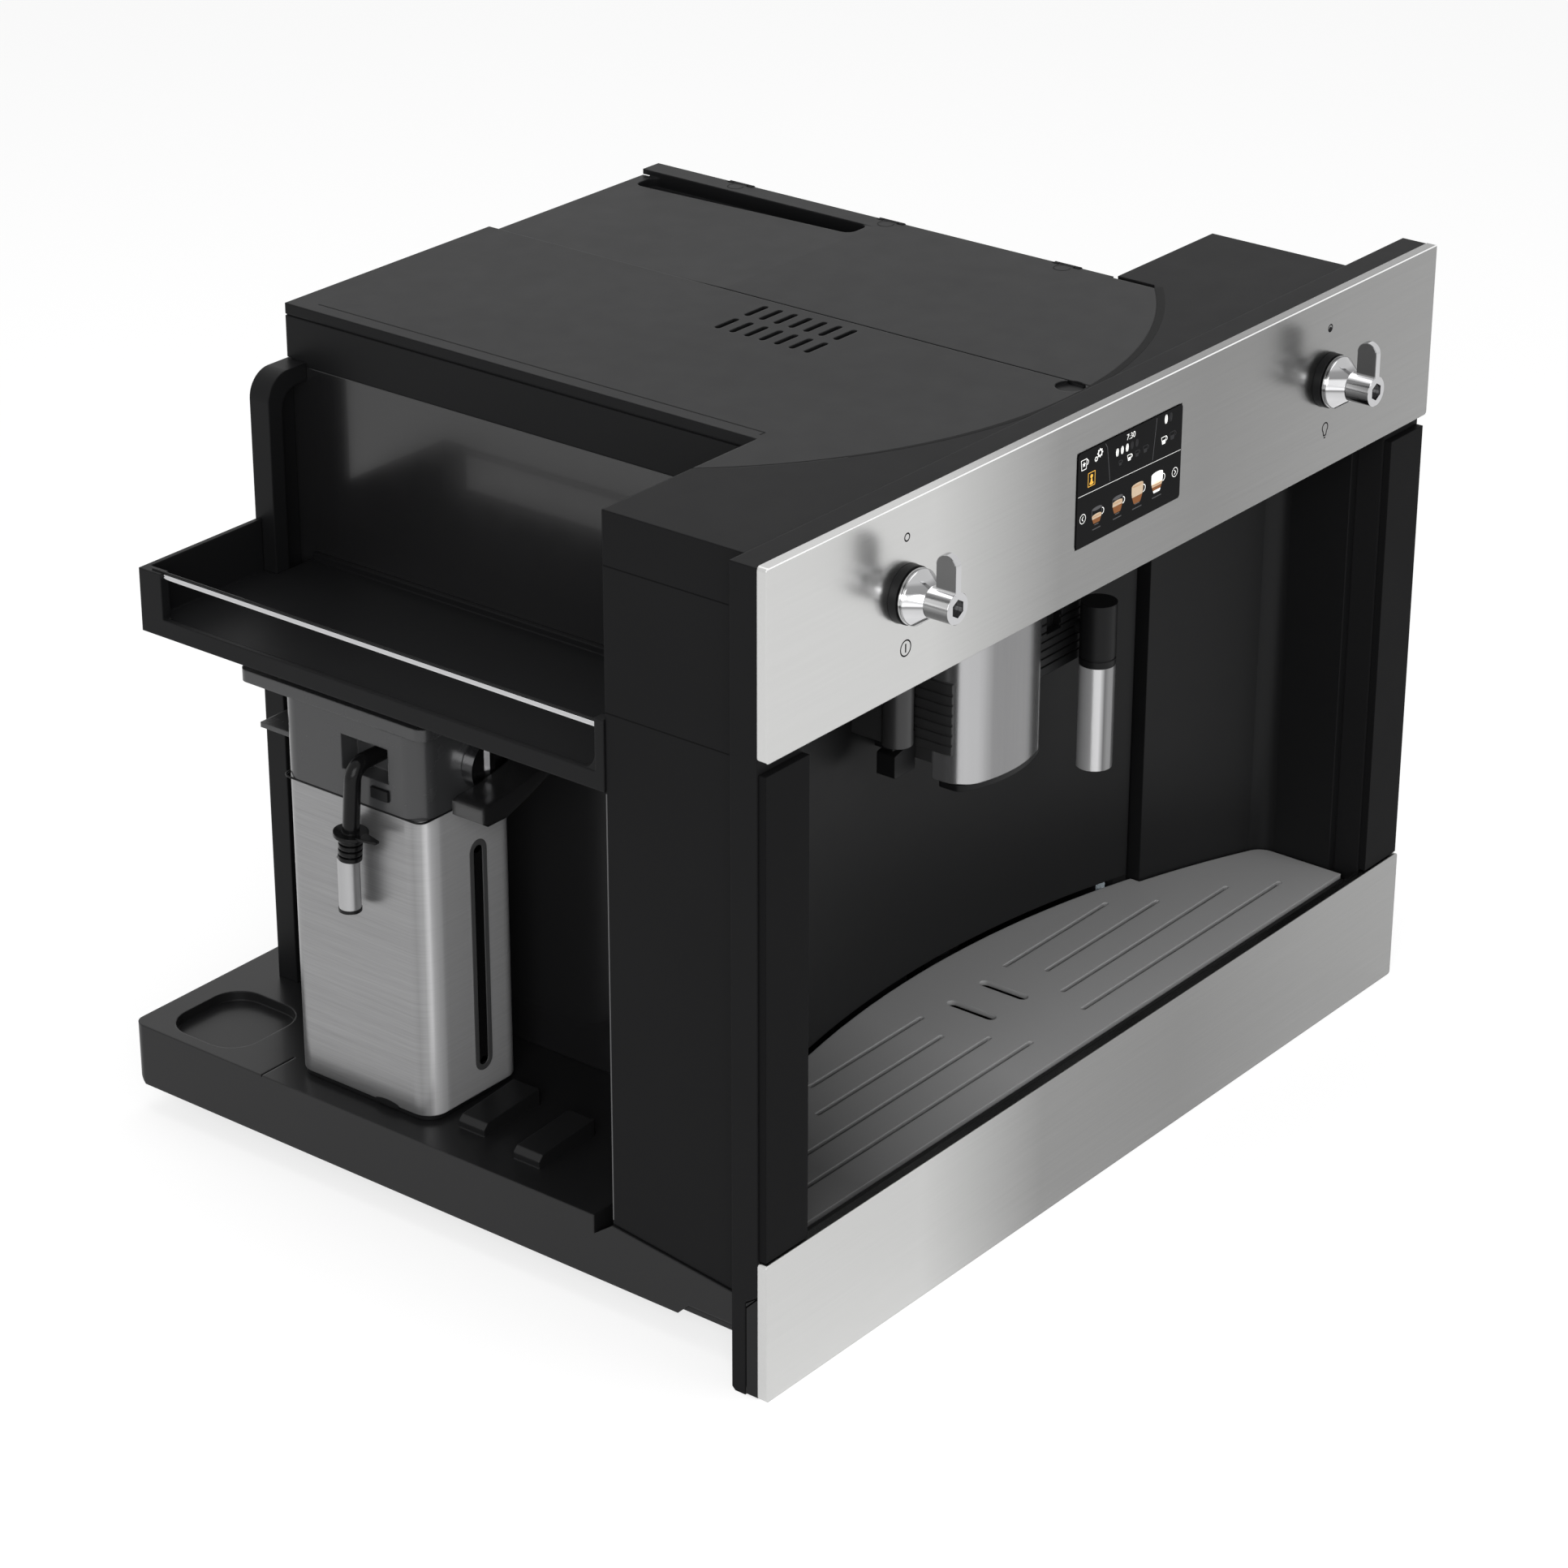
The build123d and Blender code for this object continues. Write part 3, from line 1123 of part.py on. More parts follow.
def round_top_left(solid, x0, radius):
    """Round the upper left edge of a block that faces the front."""
    edges = solid.edges().filter_by(Axis.Y).sort_by(Axis.Z)[-2:]
    corner = [edge for edge in edges if abs(edge.center().X - x0) < GAP]
    return fillet(corner, radius)


def screw_places():
    """The places of the screws in the back panel."""
    columns = (-BODY_LEFT + SCREW_INSET, BODY_RIGHT - SCREW_INSET)
    rows_share = (0.08, 0.35, 0.65, 0.95)
    return [(x, CHASSIS_TOP + share * (EAR_TOP - CHASSIS_TOP)) for x in columns for share in rows_share]


def body_screws():
    """The screws that hold the back panel, as separate identical solids."""
    screws = []
    half = SCREW_SLOT / 2
    for x, z in screw_places():
        head = rod_y(x, z, BODY_BACK, BODY_BACK + SCREW_HEAD_HEIGHT, SCREW_HEAD_RADIUS)
        shank = rod_y(x, z, BODY_BACK - SCREW_LENGTH, BODY_BACK, SCREW_SHANK_RADIUS)
        slot = block(x - half, x + half, BODY_BACK + SCREW_SLOT, BODY_BACK + OVERRUN, z - OVERRUN, z + OVERRUN)
        screws.append(one(head + shank - slot))
    return Compound(children=screws)


def mains_inlet():
    """The mains inlet: a socket with a flange and three contact pins."""
    x0 = INLET_X
    x1 = x0 + INLET_WIDTH
    z0 = INLET_Z
    z1 = z0 + INLET_HEIGHT
    lip = SHELL_WALL
    inlet = inlet_opening(0)
    inlet += block(x0 - lip, x1 + lip, BODY_BACK, BODY_BACK + lip, z0 - lip, z1 + lip)
    pocket_front = BODY_BACK - INLET_DEPTH + lip
    inlet -= block(x0 + lip, x1 - lip, pocket_front, BODY_BACK + OVERRUN, z0 + lip, z1 - lip)
    pin = INLET_PIN
    for share in (-1, 0, 1):
        x = (x0 + x1) / 2 + share * INLET_WIDTH / 4
        z = (z0 + z1) / 2 + (share == 0) * INLET_PIN_RISE
        inlet += block(x - pin, x + pin, pocket_front, BODY_BACK - lip, z - pin * 2, z + pin * 2)
    return one(inlet)


def chassis_base():
    """The bottom plate that carries the body, with a rib along each side."""
    x0 = -HOUSING_HALF_WIDTH + SHELL_WALL + GAP
    split = BASE_STEP - GAP
    plate = block(x0, NICHE_HALF + SHELL_WALL, -SEAT_STEP, split, BODY_FLOOR, CHASSIS_TOP)
    plate += block(-BODY_LEFT + GAP, HOUSING_RIGHT, split, BODY_BACK, BODY_FLOOR, CHASSIS_TOP)
    return one(plate)


# Storage bay


def storage_base():
    """The storage bay's base: a shell with a round back, a cup recess, a step and two blocks."""
    z0 = BODY_FLOOR
    side = [
        (BASE_STEP, z0),
        (BASE_BACK - BASE_ROUND, z0),
        (BASE_BACK, z0 + BASE_ROUND),
        (BASE_BACK, BASE_TOP),
        (BASE_STEP, BASE_TOP),
    ]
    base = side_prism(side, -BAY_LEFT, -BODY_LEFT)
    left_back = [edge for edge in base.edges().filter_by(Axis.Z) if edge.center().X < -BAY_LEFT + GAP]
    left_back = [edge for edge in left_back if edge.center().Y > BASE_BACK - GAP]
    base = fillet(left_back, BASE_ROUND)
    wall = BASE_WALL
    hollow_top = BASE_TOP - RECESS_SINK - wall
    base -= block(-BAY_LEFT + wall, -BODY_LEFT - wall, BASE_STEP + wall, BASE_BACK - wall * 2, z0 - OVERRUN, hollow_top)
    base -= accessory_recess()
    step_low = BASE_TOP - STEP_LINE
    high = BASE_TOP + OVERRUN
    base -= block(-BAY_LEFT - OVERRUN, STEP_LINE_X, STEP_LINE_Y, STEP_LINE_Y + STEP_LINE, step_low, high)
    base += locating_block(BLOCK_NEAR_X, BLOCK_NEAR_Y)
    base += locating_block(BLOCK_FAR_X, BLOCK_FAR_Y)
    base += base_apron()
    return one(base)


def accessory_recess():
    """The rounded recess in the base that holds a small accessory."""
    x0 = -BAY_LEFT + RECESS_SIDE
    y0 = RECESS_BACK - RECESS_DEPTH
    low = BASE_TOP - RECESS_SINK
    high = BASE_TOP + OVERRUN
    return rounded_block(x0, x0 + RECESS_WIDTH, y0, RECESS_BACK, low, high, RECESS_CORNER)


def locating_block(x0, y0):
    """A raised block with a sloped top, which locates an accessory."""
    x1 = x0 + BLOCK_WIDTH
    top = BASE_TOP + BLOCK_HEIGHT
    slope = BLOCK_CHAMFER
    outline = [(x0, BASE_TOP), (x1, BASE_TOP), (x1, top), (x0 + slope, top - slope), (x0, top - slope * 2)]
    return front_prism(outline, y0, y0 + BLOCK_DEPTH)


def base_apron():
    """The base's side wall below the front housing."""
    low = BODY_FLOOR
    rise = BASE_ROUND
    outline = [
        (-SEAT_STEP, low + rise),
        (APRON_TURN, low + rise),
        (APRON_TURN + rise, low),
        (BASE_STEP, low),
        (BASE_STEP, HOUSING_FOOT_BACK - BLOCK_HEIGHT),
        (HOUSING_DEPTH, HOUSING_FOOT_BACK - SPOUT_SKIN),
        (-SEAT_STEP, HOUSING_FOOT_FRONT - SPOUT_SKIN),
    ]
    return side_prism(outline, -BAY_LEFT, -BAY_LEFT + BASE_WALL)


def cup_shelf():
    """The cup shelf: a tray with a low lip, two end plates and a back wall."""
    z0 = SHELF_BOTTOM
    wall = SHELF_WALL
    x0 = -BAY_LEFT
    x1 = -BODY_LEFT - GAP / 2
    y0 = HOUSING_DEPTH + GAP / 2
    y1 = SHELF_BACK
    thick = wall * 2
    top = z0 + SHELF_HEIGHT
    shelf = block(x0, x1, y0, y1, z0 + SHELF_FLOOR - wall, z0 + SHELF_FLOOR)
    shelf += block(x0, x0 + wall, y0, y1, z0, z0 + SHELF_LIP)
    shelf += block(x0, x0 + thick, y1 - SHELF_END, y1, z0, top)
    shelf += block(x0, x0 + thick, y0, y0 + thick, z0, top + wall)
    shelf += block(x0, x1, y1 - wall, y1, z0, top)
    shelf += block(x1 - wall, x1, y0, y1 - EAR_DEPTH, z0 + SHELF_FLOOR, z0 + SHELF_LIP)
    ear_x = -BODY_LEFT - EAR_WIDTH - GAP
    ear_y = BODY_BACK - EAR_DEPTH - GAP
    shelf -= block(ear_x, -BODY_LEFT + OVERRUN, ear_y, BODY_BACK, z0 - OVERRUN, top + OVERRUN)
    rail_x = x0 + wall
    shelf -= rod_y(rail_x, RAIL_LEVEL, y0 - OVERRUN, y1 - thick, RAIL_RADIUS)
    return one(shelf)


def shelf_rail():
    """The chrome rail along the shelf's open side."""
    y0 = HOUSING_DEPTH + GAP / 2
    return rod_y(-BAY_LEFT + SHELF_WALL, RAIL_LEVEL, y0, SHELF_BACK - SHELF_WALL * 2, RAIL_RADIUS)


# Milk jug


def jug_block(inset, z0, z1):
    """The jug's rounded plan between two heights, drawn in by an inset."""
    return rounded_block(
        JUG_X0 + inset, JUG_X1 - inset, JUG_FRONT + inset, JUG_Y1 - inset, z0, z1, JUG_CORNER - inset
    )


def jug_window():
    """The level window in the jug's front, as a rounded slot."""
    x = (JUG_X0 + JUG_X1) / 2 + JUG_WINDOW_OFFSET
    z = JUG_Z0 + JUG_WINDOW_RISE + JUG_WINDOW_LENGTH / 2
    depth = JUG_WINDOW_SINK
    cutter = extrude(SlotOverall(JUG_WINDOW_LENGTH, JUG_WINDOW_WIDTH, rotation=90), depth, both=True)
    return Pos(x, JUG_FRONT, z) * Rot(90, 0, 0) * cutter


def jug_shell():
    """The jug's brushed steel shell, with its level window."""
    shell = jug_block(0, JUG_Z0 + JUG_FOOT, JUG_Z1)
    shell -= jug_block(JUG_SKIN, JUG_Z0, JUG_Z1 + OVERRUN)
    return one(shell - jug_window())


def jug_liner():
    """The jug's inner container, with the black foot under the steel shell."""
    inset = JUG_SKIN
    liner = jug_block(inset, JUG_Z0 + JUG_FOOT, JUG_Z1) - jug_block(
        inset + JUG_LINER, JUG_Z0 + JUG_FOOT + JUG_LINER, JUG_Z1 + OVERRUN
    )
    foot = jug_block(inset, JUG_Z0, JUG_Z0 + JUG_FOOT)
    return one(liner + foot)


def lid_levels():
    """The lid block's lower and upper heights."""
    z0 = JUG_Z1 + LID_FIT_GAP
    return z0, z0 + LID_HEIGHT


def spigot_place():
    """The place where the milk spout leaves the lid, as (y, z)."""
    return JUG_FRONT + SPIGOT_SETBACK, lid_levels()[0] + SPIGOT_RISE


def jug_lid():
    """The jug's lid: a rounded block with a skirt, a top plate and the spout's opening."""
    z0, z1 = lid_levels()
    lid = jug_block(0, z0, z1)
    inset = JUG_SKIN + JUG_LINER + LID_FIT_GAP
    lid += jug_block(inset, z0 - LID_SKIRT, z0) - jug_block(inset + JUG_LINER, z0 - LID_SKIRT, z0)
    x0 = JUG_X0 - LID_OVERHANG
    back = JUG_Y1 + LID_REAR
    lid += rounded_block(x0, JUG_X1, JUG_FRONT - LID_SKIRT, back, z1, z1 + LID_PLATE, LID_SKIRT)
    tab_x0 = JUG_X0 + JUG_CORNER
    tab_x1 = JUG_X1 - JUG_CORNER
    tab_z = z0 + LID_TAB_RISE
    lid += block(tab_x0, tab_x1, JUG_Y1 - JUG_SKIN, back, tab_z, tab_z + SHELL_WALL)
    y, z = spigot_place()
    low = z - LID_OPENING_HEIGHT / 2
    y0 = LID_OPENING_FRONT
    lid -= block(JUG_X0 - OVERRUN, tab_x0, y0, y0 + LID_OPENING_WIDTH, low, low + LID_OPENING_HEIGHT)
    lid -= rod_x(y, z, tab_x0 - GAP, tab_x0 + SPIGOT_LENGTH + GAP, SPIGOT_RADIUS + RUNNING_CLEARANCE)
    lid -= button_block(GAP / 2, BUTTON_TRAVEL + GAP)
    x, z = dial_place()
    lid -= rod_y(x, z, JUG_FRONT - OVERRUN, JUG_FRONT + DIAL_SPINDLE, SPIGOT_RADIUS + RUNNING_CLEARANCE)
    return one(lid)


def button_block(grow, deeper):
    """The lid's release button, or its pocket when grown."""
    z0 = lid_levels()[0] + BUTTON_RISE
    y0 = LID_OPENING_FRONT
    x0 = JUG_X0 - BUTTON_PROUD
    x1 = JUG_X0 + BUTTON_DEPTH + deeper
    return block(x0, x1, y0 - grow, y0 + BUTTON_WIDTH + grow, z0 - grow, z0 + BUTTON_HEIGHT + grow)


def lid_button():
    """The small release button under the spout's opening."""
    return button_block(0, 0)


def dial_place():
    """The froth dial's centre as (x, z)."""
    return JUG_X0 + DIAL_OFFSET, lid_levels()[0] + DIAL_RISE


def froth_dial():
    """The froth dial on the lid's front, with its spindle and grip bar."""
    x, z = dial_place()
    back = JUG_FRONT - JUG_REST_GAP
    front = back - DIAL_DEPTH
    disc_front = front + DIAL_BAR
    dial = rod_y(x, z, disc_front, back, DIAL_RADIUS)
    dial += rod_y(x, z, back, JUG_FRONT + DIAL_SPINDLE - GAP, SPIGOT_RADIUS)
    grip = block(x - DIAL_BAR, x + DIAL_BAR, front, disc_front, z - DIAL_RADIUS, z + DIAL_RADIUS)
    return one(dial + (grip & rod_y(x, z, front, disc_front, DIAL_RADIUS)))


def jug_handle():
    """The gloss black scoop handle in front of the lid."""
    z0 = lid_levels()[0] + HANDLE_RISE
    outline_share = (
        (0.0, 0.1),
        (0.05, 0.0),
        (0.24, 0.0),
        (0.46, 0.22),
        (0.7, 0.52),
        (0.93, 0.68),
        (1.0, 0.78),
        (1.0, 1.0),
        (0.83, 1.0),
        (0.58, 0.68),
        (0.29, 0.5),
        (0.05, 0.46),
        (0.0, 0.4),
    )
    outline = [(HANDLE_LEFT + across * HANDLE_LENGTH, z0 + up * HANDLE_HEIGHT) for across, up in outline_share]
    y1 = JUG_FRONT - DIAL_DEPTH - SPOUT_SKIN
    handle = front_prism(outline, y1 - HANDLE_DEPTH, y1)
    z1 = z0 + HANDLE_HEIGHT
    neck_x1 = JUG_X1 - SPOUT_SKIN
    neck = block(neck_x1 - HANDLE_NECK, neck_x1, y1 - HANDLE_DEPTH / 2, JUG_FRONT, z1 - LID_PLATE, z1)
    return one(handle + neck)


def milk_spout():
    """The black milk elbow with its flange and bellows, turned about its spigot."""
    y, z = spigot_place()
    x_root = JUG_X0 + JUG_CORNER
    x_out = JUG_X0 - MILK_TUBE_STAND_OFF
    z_end = z - MILK_TUBE_DROP
    path = FilletPolyline((x_root, y, z), (x_out, y, z), (x_out, y, z_end), radius=MILK_BEND_RADIUS)
    start = Plane(origin=path @ 0, z_dir=path % 0)
    tube = sweep(start * Circle(MILK_TUBE_RADIUS), path=path)
    tube += rod_x(y, z, x_root, x_root + SPIGOT_LENGTH, SPIGOT_RADIUS)
    flange_z = z - MILK_FLANGE_DROP
    tube += rod_z(x_out, y, flange_z, flange_z + MILK_FLANGE, MILK_FLANGE_RADIUS)
    for ring in range(MILK_RING_COUNT):
        low = flange_z - (ring + 1) * MILK_RING_PITCH
        tube += rod_z(x_out, y, low, low + MILK_RING, MILK_TIP_RADIUS + GAP)
    return one(tilt_spout(tube))


def tilt_spout(piece):
    """Turn a piece of the milk spout about its spigot to its resting tilt."""
    y, z = spigot_place()
    return Pos(0, y, z) * Rot(MILK_TILT, 0, 0) * Pos(0, -y, -z) * piece


def milk_tip():
    """The steel tip under the milk elbow."""
    y, z = spigot_place()
    x = JUG_X0 - MILK_TUBE_STAND_OFF
    top = z - MILK_TUBE_DROP
    low = top - MILK_TIP_LENGTH
    tip = rod_z(x, y, low, top, MILK_TIP_RADIUS)
    tip -= rod_z(x, y, low - OVERRUN, top - MILK_TIP_FLOOR, MILK_TIP_RADIUS - MILK_TIP_WALL)
    return one(tilt_spout(tip))


# Water tank


def tank_block(inset, z0, z1):
    """The tank's plan between two heights, drawn in by an inset."""
    x0 = BODY_RIGHT + TANK_GAP + inset
    x1 = BODY_RIGHT + TANK_GAP + TANK_WIDTH - inset
    y0 = TANK_FRONT + inset
    y1 = TANK_FRONT + TANK_LENGTH - inset
    return rounded_block(x0, x1, y0, y1, z0, z1, JUG_CORNER - inset)


def valve_place():
    """The place of the tank's outlet valve."""
    return BODY_RIGHT + TANK_GAP + TANK_WIDTH / 2, TANK_FRONT + VALVE_SETBACK


def water_tank():
    """The removable water tank, open at its top, with the valve seat in its floor."""
    z0 = CHASSIS_TOP + JUG_REST_GAP
    z1 = z0 + TANK_HEIGHT
    tank = tank_block(0, z0, z1) - tank_block(TANK_WALL, z0 + TANK_WALL * 2, z1 + OVERRUN)
    x, y = valve_place()
    tank -= rod_z(x, y, z0 - OVERRUN, z0 + OVERRUN, VALVE_RADIUS + RUNNING_CLEARANCE)
    return one(tank)


def water_tank_lid():
    """The tank's lid, with a rim that locates it."""
    z0 = CHASSIS_TOP + JUG_REST_GAP + TANK_HEIGHT
    lid = tank_block(0, z0, z0 + TANK_LID_HEIGHT)
    rim_inset = TANK_WALL + LID_FIT_GAP
    rim = tank_block(rim_inset, z0 - TANK_WALL, z0) - tank_block(rim_inset + TANK_WALL, z0 - TANK_WALL, z0)
    return one(lid + rim)


def water_tank_valve():
    """The tank's outlet valve: a stem with a head inside the tank."""
    z0 = CHASSIS_TOP + JUG_REST_GAP
    x, y = valve_place()
    seat = z0 + TANK_WALL * 2 + JUG_REST_GAP
    stem = rod_z(x, y, z0 + JUG_REST_GAP, seat, VALVE_RADIUS)
    return one(stem + rod_z(x, y, seat, seat + VALVE_HEAD, VALVE_RADIUS * 2))


# Grinder and brewing group


def brew_origin():
    """The brewing group's lower left front corner."""
    return BREW_X, BREW_Y, CHASSIS_TOP


def chamber_place():
    """The brewing chamber's axis."""
    return BREW_X + CHAMBER_OFFSET, BREW_Y + BREW_DEPTH / 2


def screw_axis():
    """The lead screw's axis."""
    x, y = chamber_place()
    return x + SCREW_OFFSET, y


def brew_frame():
    """The brewing group's frame with its chamber."""
    x0, y0, z0 = brew_origin()
    x1 = x0 + BREW_WIDTH
    y1 = y0 + BREW_DEPTH
    z1 = z0 + BREW_HEIGHT
    plate = BREW_PLATE
    side = plate / 2
    frame = block(x0, x1, y0, y1, z0, z0 + plate)
    frame += block(x0, x1, y0, y1, z1 - plate, z1)
    frame += block(x0, x0 + side, y0 + plate, y1 - plate, z0 + plate, z1 - plate)
    frame += block(x1 - side, x1, y0 + plate, y1 - plate, z0 + plate, z1 - plate)
    x, y = chamber_place()
    low = BREW_CHAMBER_LEVEL
    high = low + BREW_CHAMBER_HEIGHT
    frame += block(x0, x, y - plate, y + plate, low, high)
    frame += rod_z(x, y, low, high, BREW_CHAMBER_RADIUS + BREW_CHAMBER_WALL)
    frame -= rod_z(x, y, low + BREW_CHAMBER_WALL, high + GAP, BREW_CHAMBER_RADIUS)
    sx, sy = screw_axis()
    seat_top = z1 - plate / 2
    frame -= rod_z(sx, sy, z1 - plate - GAP, seat_top, SCREW_RADIUS + RUNNING_CLEARANCE)
    return one(frame)


def carriage_level():
    """The rest height of the piston's lower face."""
    return BREW_CHAMBER_LEVEL + BREW_CHAMBER_HEIGHT + PISTON_REST


def brew_piston():
    """The brewing piston with its rod and the nut arm on the lead screw."""
    x, y = chamber_place()
    sx, _ = screw_axis()
    low = carriage_level()
    disc_top = low + PISTON_HEIGHT
    arm_low = disc_top + BREW_STROKE
    half = BREW_PLATE
    piston = rod_z(x, y, low, disc_top, BREW_CHAMBER_RADIUS - PISTON_GAP)
    piston += rod_z(x, y, disc_top, arm_low, half)
    arm_top = arm_low + BREW_PLATE
    piston += block(x - half, sx + half, y - half, y + half, arm_low, arm_top)
    piston -= rod_z(sx, y, arm_low - OVERRUN, arm_top + OVERRUN, SCREW_RADIUS + RUNNING_CLEARANCE)
    return one(piston)


def brew_screw():
    """The lead screw between the motor and the frame's upper plate."""
    _, _, z0 = brew_origin()
    sx, sy = screw_axis()
    low = z0 + BREW_PLATE + BREW_MOTOR_HEIGHT - SCREW_ENGAGED
    high = z0 + BREW_HEIGHT - BREW_PLATE / 2 - GAP
    return rod_z(sx, sy, low, high, SCREW_RADIUS)


def brew_motor():
    """The geared motor under the lead screw."""
    _, _, z0 = brew_origin()
    sx, sy = screw_axis()
    low = z0 + BREW_PLATE
    high = low + BREW_MOTOR_HEIGHT
    motor = rod_z(sx, sy, low, high, BREW_MOTOR_RADIUS)
    motor -= rod_z(sx, sy, high - SCREW_ENGAGED - GAP, high + OVERRUN, SCREW_RADIUS + RUNNING_CLEARANCE)
    return one(motor)


def grinder_axis():
    """The grinder's axis, over the middle of the brewing group."""
    return BREW_X + BREW_WIDTH / 2, BREW_Y + BREW_DEPTH / 2


def grinder_low():
    """The grinder motor's lower face."""
    return CHASSIS_TOP + BREW_HEIGHT


def grinder_motor():
    """The grinder's motor, which stands on the brewing group."""
    x, y = grinder_axis()
    low = grinder_low()
    high = low + GRINDER_MOTOR_HEIGHT
    motor = rod_z(x, y, low, high, GRINDER_MOTOR_RADIUS)
    bore = GRINDER_SHAFT_RADIUS + RUNNING_CLEARANCE
    motor -= rod_z(x, y, high - GRINDER_SHAFT_LENGTH - GAP, high + OVERRUN, bore)
    return one(motor)


def burr_ring():
    """The fixed outer burr in its carrier."""
    x, y = grinder_axis()
    low = grinder_low() + GRINDER_MOTOR_HEIGHT
    high = low + BURR_HEIGHT
    ring = rod_z(x, y, low, high, BURR_RADIUS)
    wide = BURR_CONE_RADIUS + BURR_GAP
    ring -= cone_z(x, y, low + BURR_SHELF, high, wide, wide - BURR_TAPER)
    ring -= rod_z(x, y, low - OVERRUN, low + BURR_SHELF, wide)
    return one(ring)


def burr_cone():
    """The turning burr with its shaft."""
    x, y = grinder_axis()
    low = grinder_low() + GRINDER_MOTOR_HEIGHT
    foot = low + BURR_SHELF
    top = low + BURR_HEIGHT - BURR_SHELF
    cone = cone_z(x, y, foot, top, BURR_CONE_RADIUS, BURR_CONE_RADIUS - BURR_TAPER * 2)
    return one(cone + rod_z(x, y, low - GRINDER_SHAFT_LENGTH, foot, GRINDER_SHAFT_RADIUS))


def bean_hopper():
    """The bean hopper over the grinder, with its neck."""
    x, y = grinder_axis()
    neck_low = grinder_low() + GRINDER_MOTOR_HEIGHT + BURR_HEIGHT
    low = neck_low + HOPPER_NECK
    x0 = HOPPER_LEFT
    x1 = x0 + HOPPER_WIDTH
    y0 = HOPPER_FRONT
    y1 = y0 + HOPPER_LENGTH
    wall = HOPPER_WALL
    hopper = block(x0, x1, y0, y1, low, HOPPER_TOP)
    hopper -= block(x0 + wall, x1 - wall, y0 + wall, y1 - wall, low + wall, HOPPER_TOP + OVERRUN)
    neck = BURR_CONE_RADIUS
    hopper += rod_z(x, y, neck_low, low, neck)
    hopper -= rod_z(x, y, neck_low - OVERRUN, low + wall + GAP, neck - wall)
    return one(hopper)


def grounds_container():
    """The open container for coffee grounds behind the door."""
    x0 = GROUNDS_X
    x1 = x0 + GROUNDS_WIDTH
    y0 = GROUNDS_Y
    y1 = y0 + GROUNDS_DEPTH
    z0 = CHASSIS_TOP + JUG_REST_GAP
    top = z0 + GROUNDS_HEIGHT
    side = GROUNDS_SIDE
    box = rounded_block(x0, x1, y0, y1, z0, top, GROUNDS_CORNER)
    box -= block(x0 + side, x1 - side, y0 + side, y1 - side, z0 + GROUNDS_WALL, top + OVERRUN)
    return one(box)


def thermoblock():
    """The water heater on four legs, with its two unions."""
    x0 = BOILER_X
    x1 = x0 + BOILER_LENGTH
    y0 = BOILER_Y
    y1 = y0 + BOILER_WIDTH
    z = BOILER_LEVEL + BOILER_HEIGHT
    heater = rounded_block(x0, x1, y0, y1, BOILER_LEVEL, z, BOILER_CORNER)
    inset = BOILER_LEG_INSET
    for x in (x0 + inset, x1 - inset):
        for y in (y0 + inset, y1 - inset):
            heater += rod_z(x, y, CHASSIS_TOP, BOILER_LEVEL, BOILER_LEG)
    for x in (x0 + BOILER_UNION_INSET, x1 - BOILER_UNION_INSET):
        heater += rod_z(x, (y0 + y1) / 2, z, z + BOILER_UNION, BOILER_LEG)
    return one(heater)


def pump():
    """The water pump on its two feet."""
    x0 = PUMP_X
    x1 = x0 + PUMP_LENGTH
    y = PUMP_Y
    z = CHASSIS_TOP + PUMP_FOOT + PUMP_RADIUS
    body = rod_x(y, z, x0, x1, PUMP_RADIUS)
    body += rod_x(y, z, x1, x1 + PUMP_FOOT, PUMP_OUTLET)
    for x in (x0, x1 - PUMP_FOOT):
        body += block(x, x + PUMP_FOOT, y - PUMP_RADIUS, y + PUMP_RADIUS, CHASSIS_TOP, z)
    return one(body)


# Telescopic runners


def runner_fixed(x):
    """The channel of a runner, screwed to the cabinet floor."""
    half = RUNNER_WIDTH / 2
    wall = RUNNER_WALL
    y1 = RUNNER_FRONT + RUNNER_LENGTH
    channel = block(x - half, x + half, RUNNER_FRONT, y1, 0, RUNNER_HEIGHT)
    channel -= block(x - half + wall, x + half - wall, RUNNER_FRONT - OVERRUN, y1 + OVERRUN, wall, RUNNER_HEIGHT - wall)
    mouth = half / 2 + RUNNER_GAP
    channel -= block(x - mouth, x + mouth, RUNNER_FRONT - OVERRUN, y1 + OVERRUN, wall, RUNNER_HEIGHT + OVERRUN)
    for y in (RUNNER_FRONT + RUNNER_HOLE_INSET, y1 - RUNNER_HOLE_INSET):
        channel -= rod_z(x, y, -OVERRUN, RUNNER_HEIGHT / 2, RUNNER_HOLE_RADIUS)
    return one(channel)


def runner_slider(x):
    """The slider of a runner, fixed under the chassis."""
    half = RUNNER_WIDTH / 2
    wall = RUNNER_WALL
    gap = RUNNER_GAP
    y1 = RUNNER_FRONT + RUNNER_LENGTH
    foot = half - wall - gap
    slider = block(x - foot, x + foot, RUNNER_FRONT, y1, wall + gap, RUNNER_HEIGHT - wall - gap)
    slider += block(x - half / 2, x + half / 2, RUNNER_FRONT, y1, RUNNER_HEIGHT - wall - gap, BODY_FLOOR)
    return one(slider)


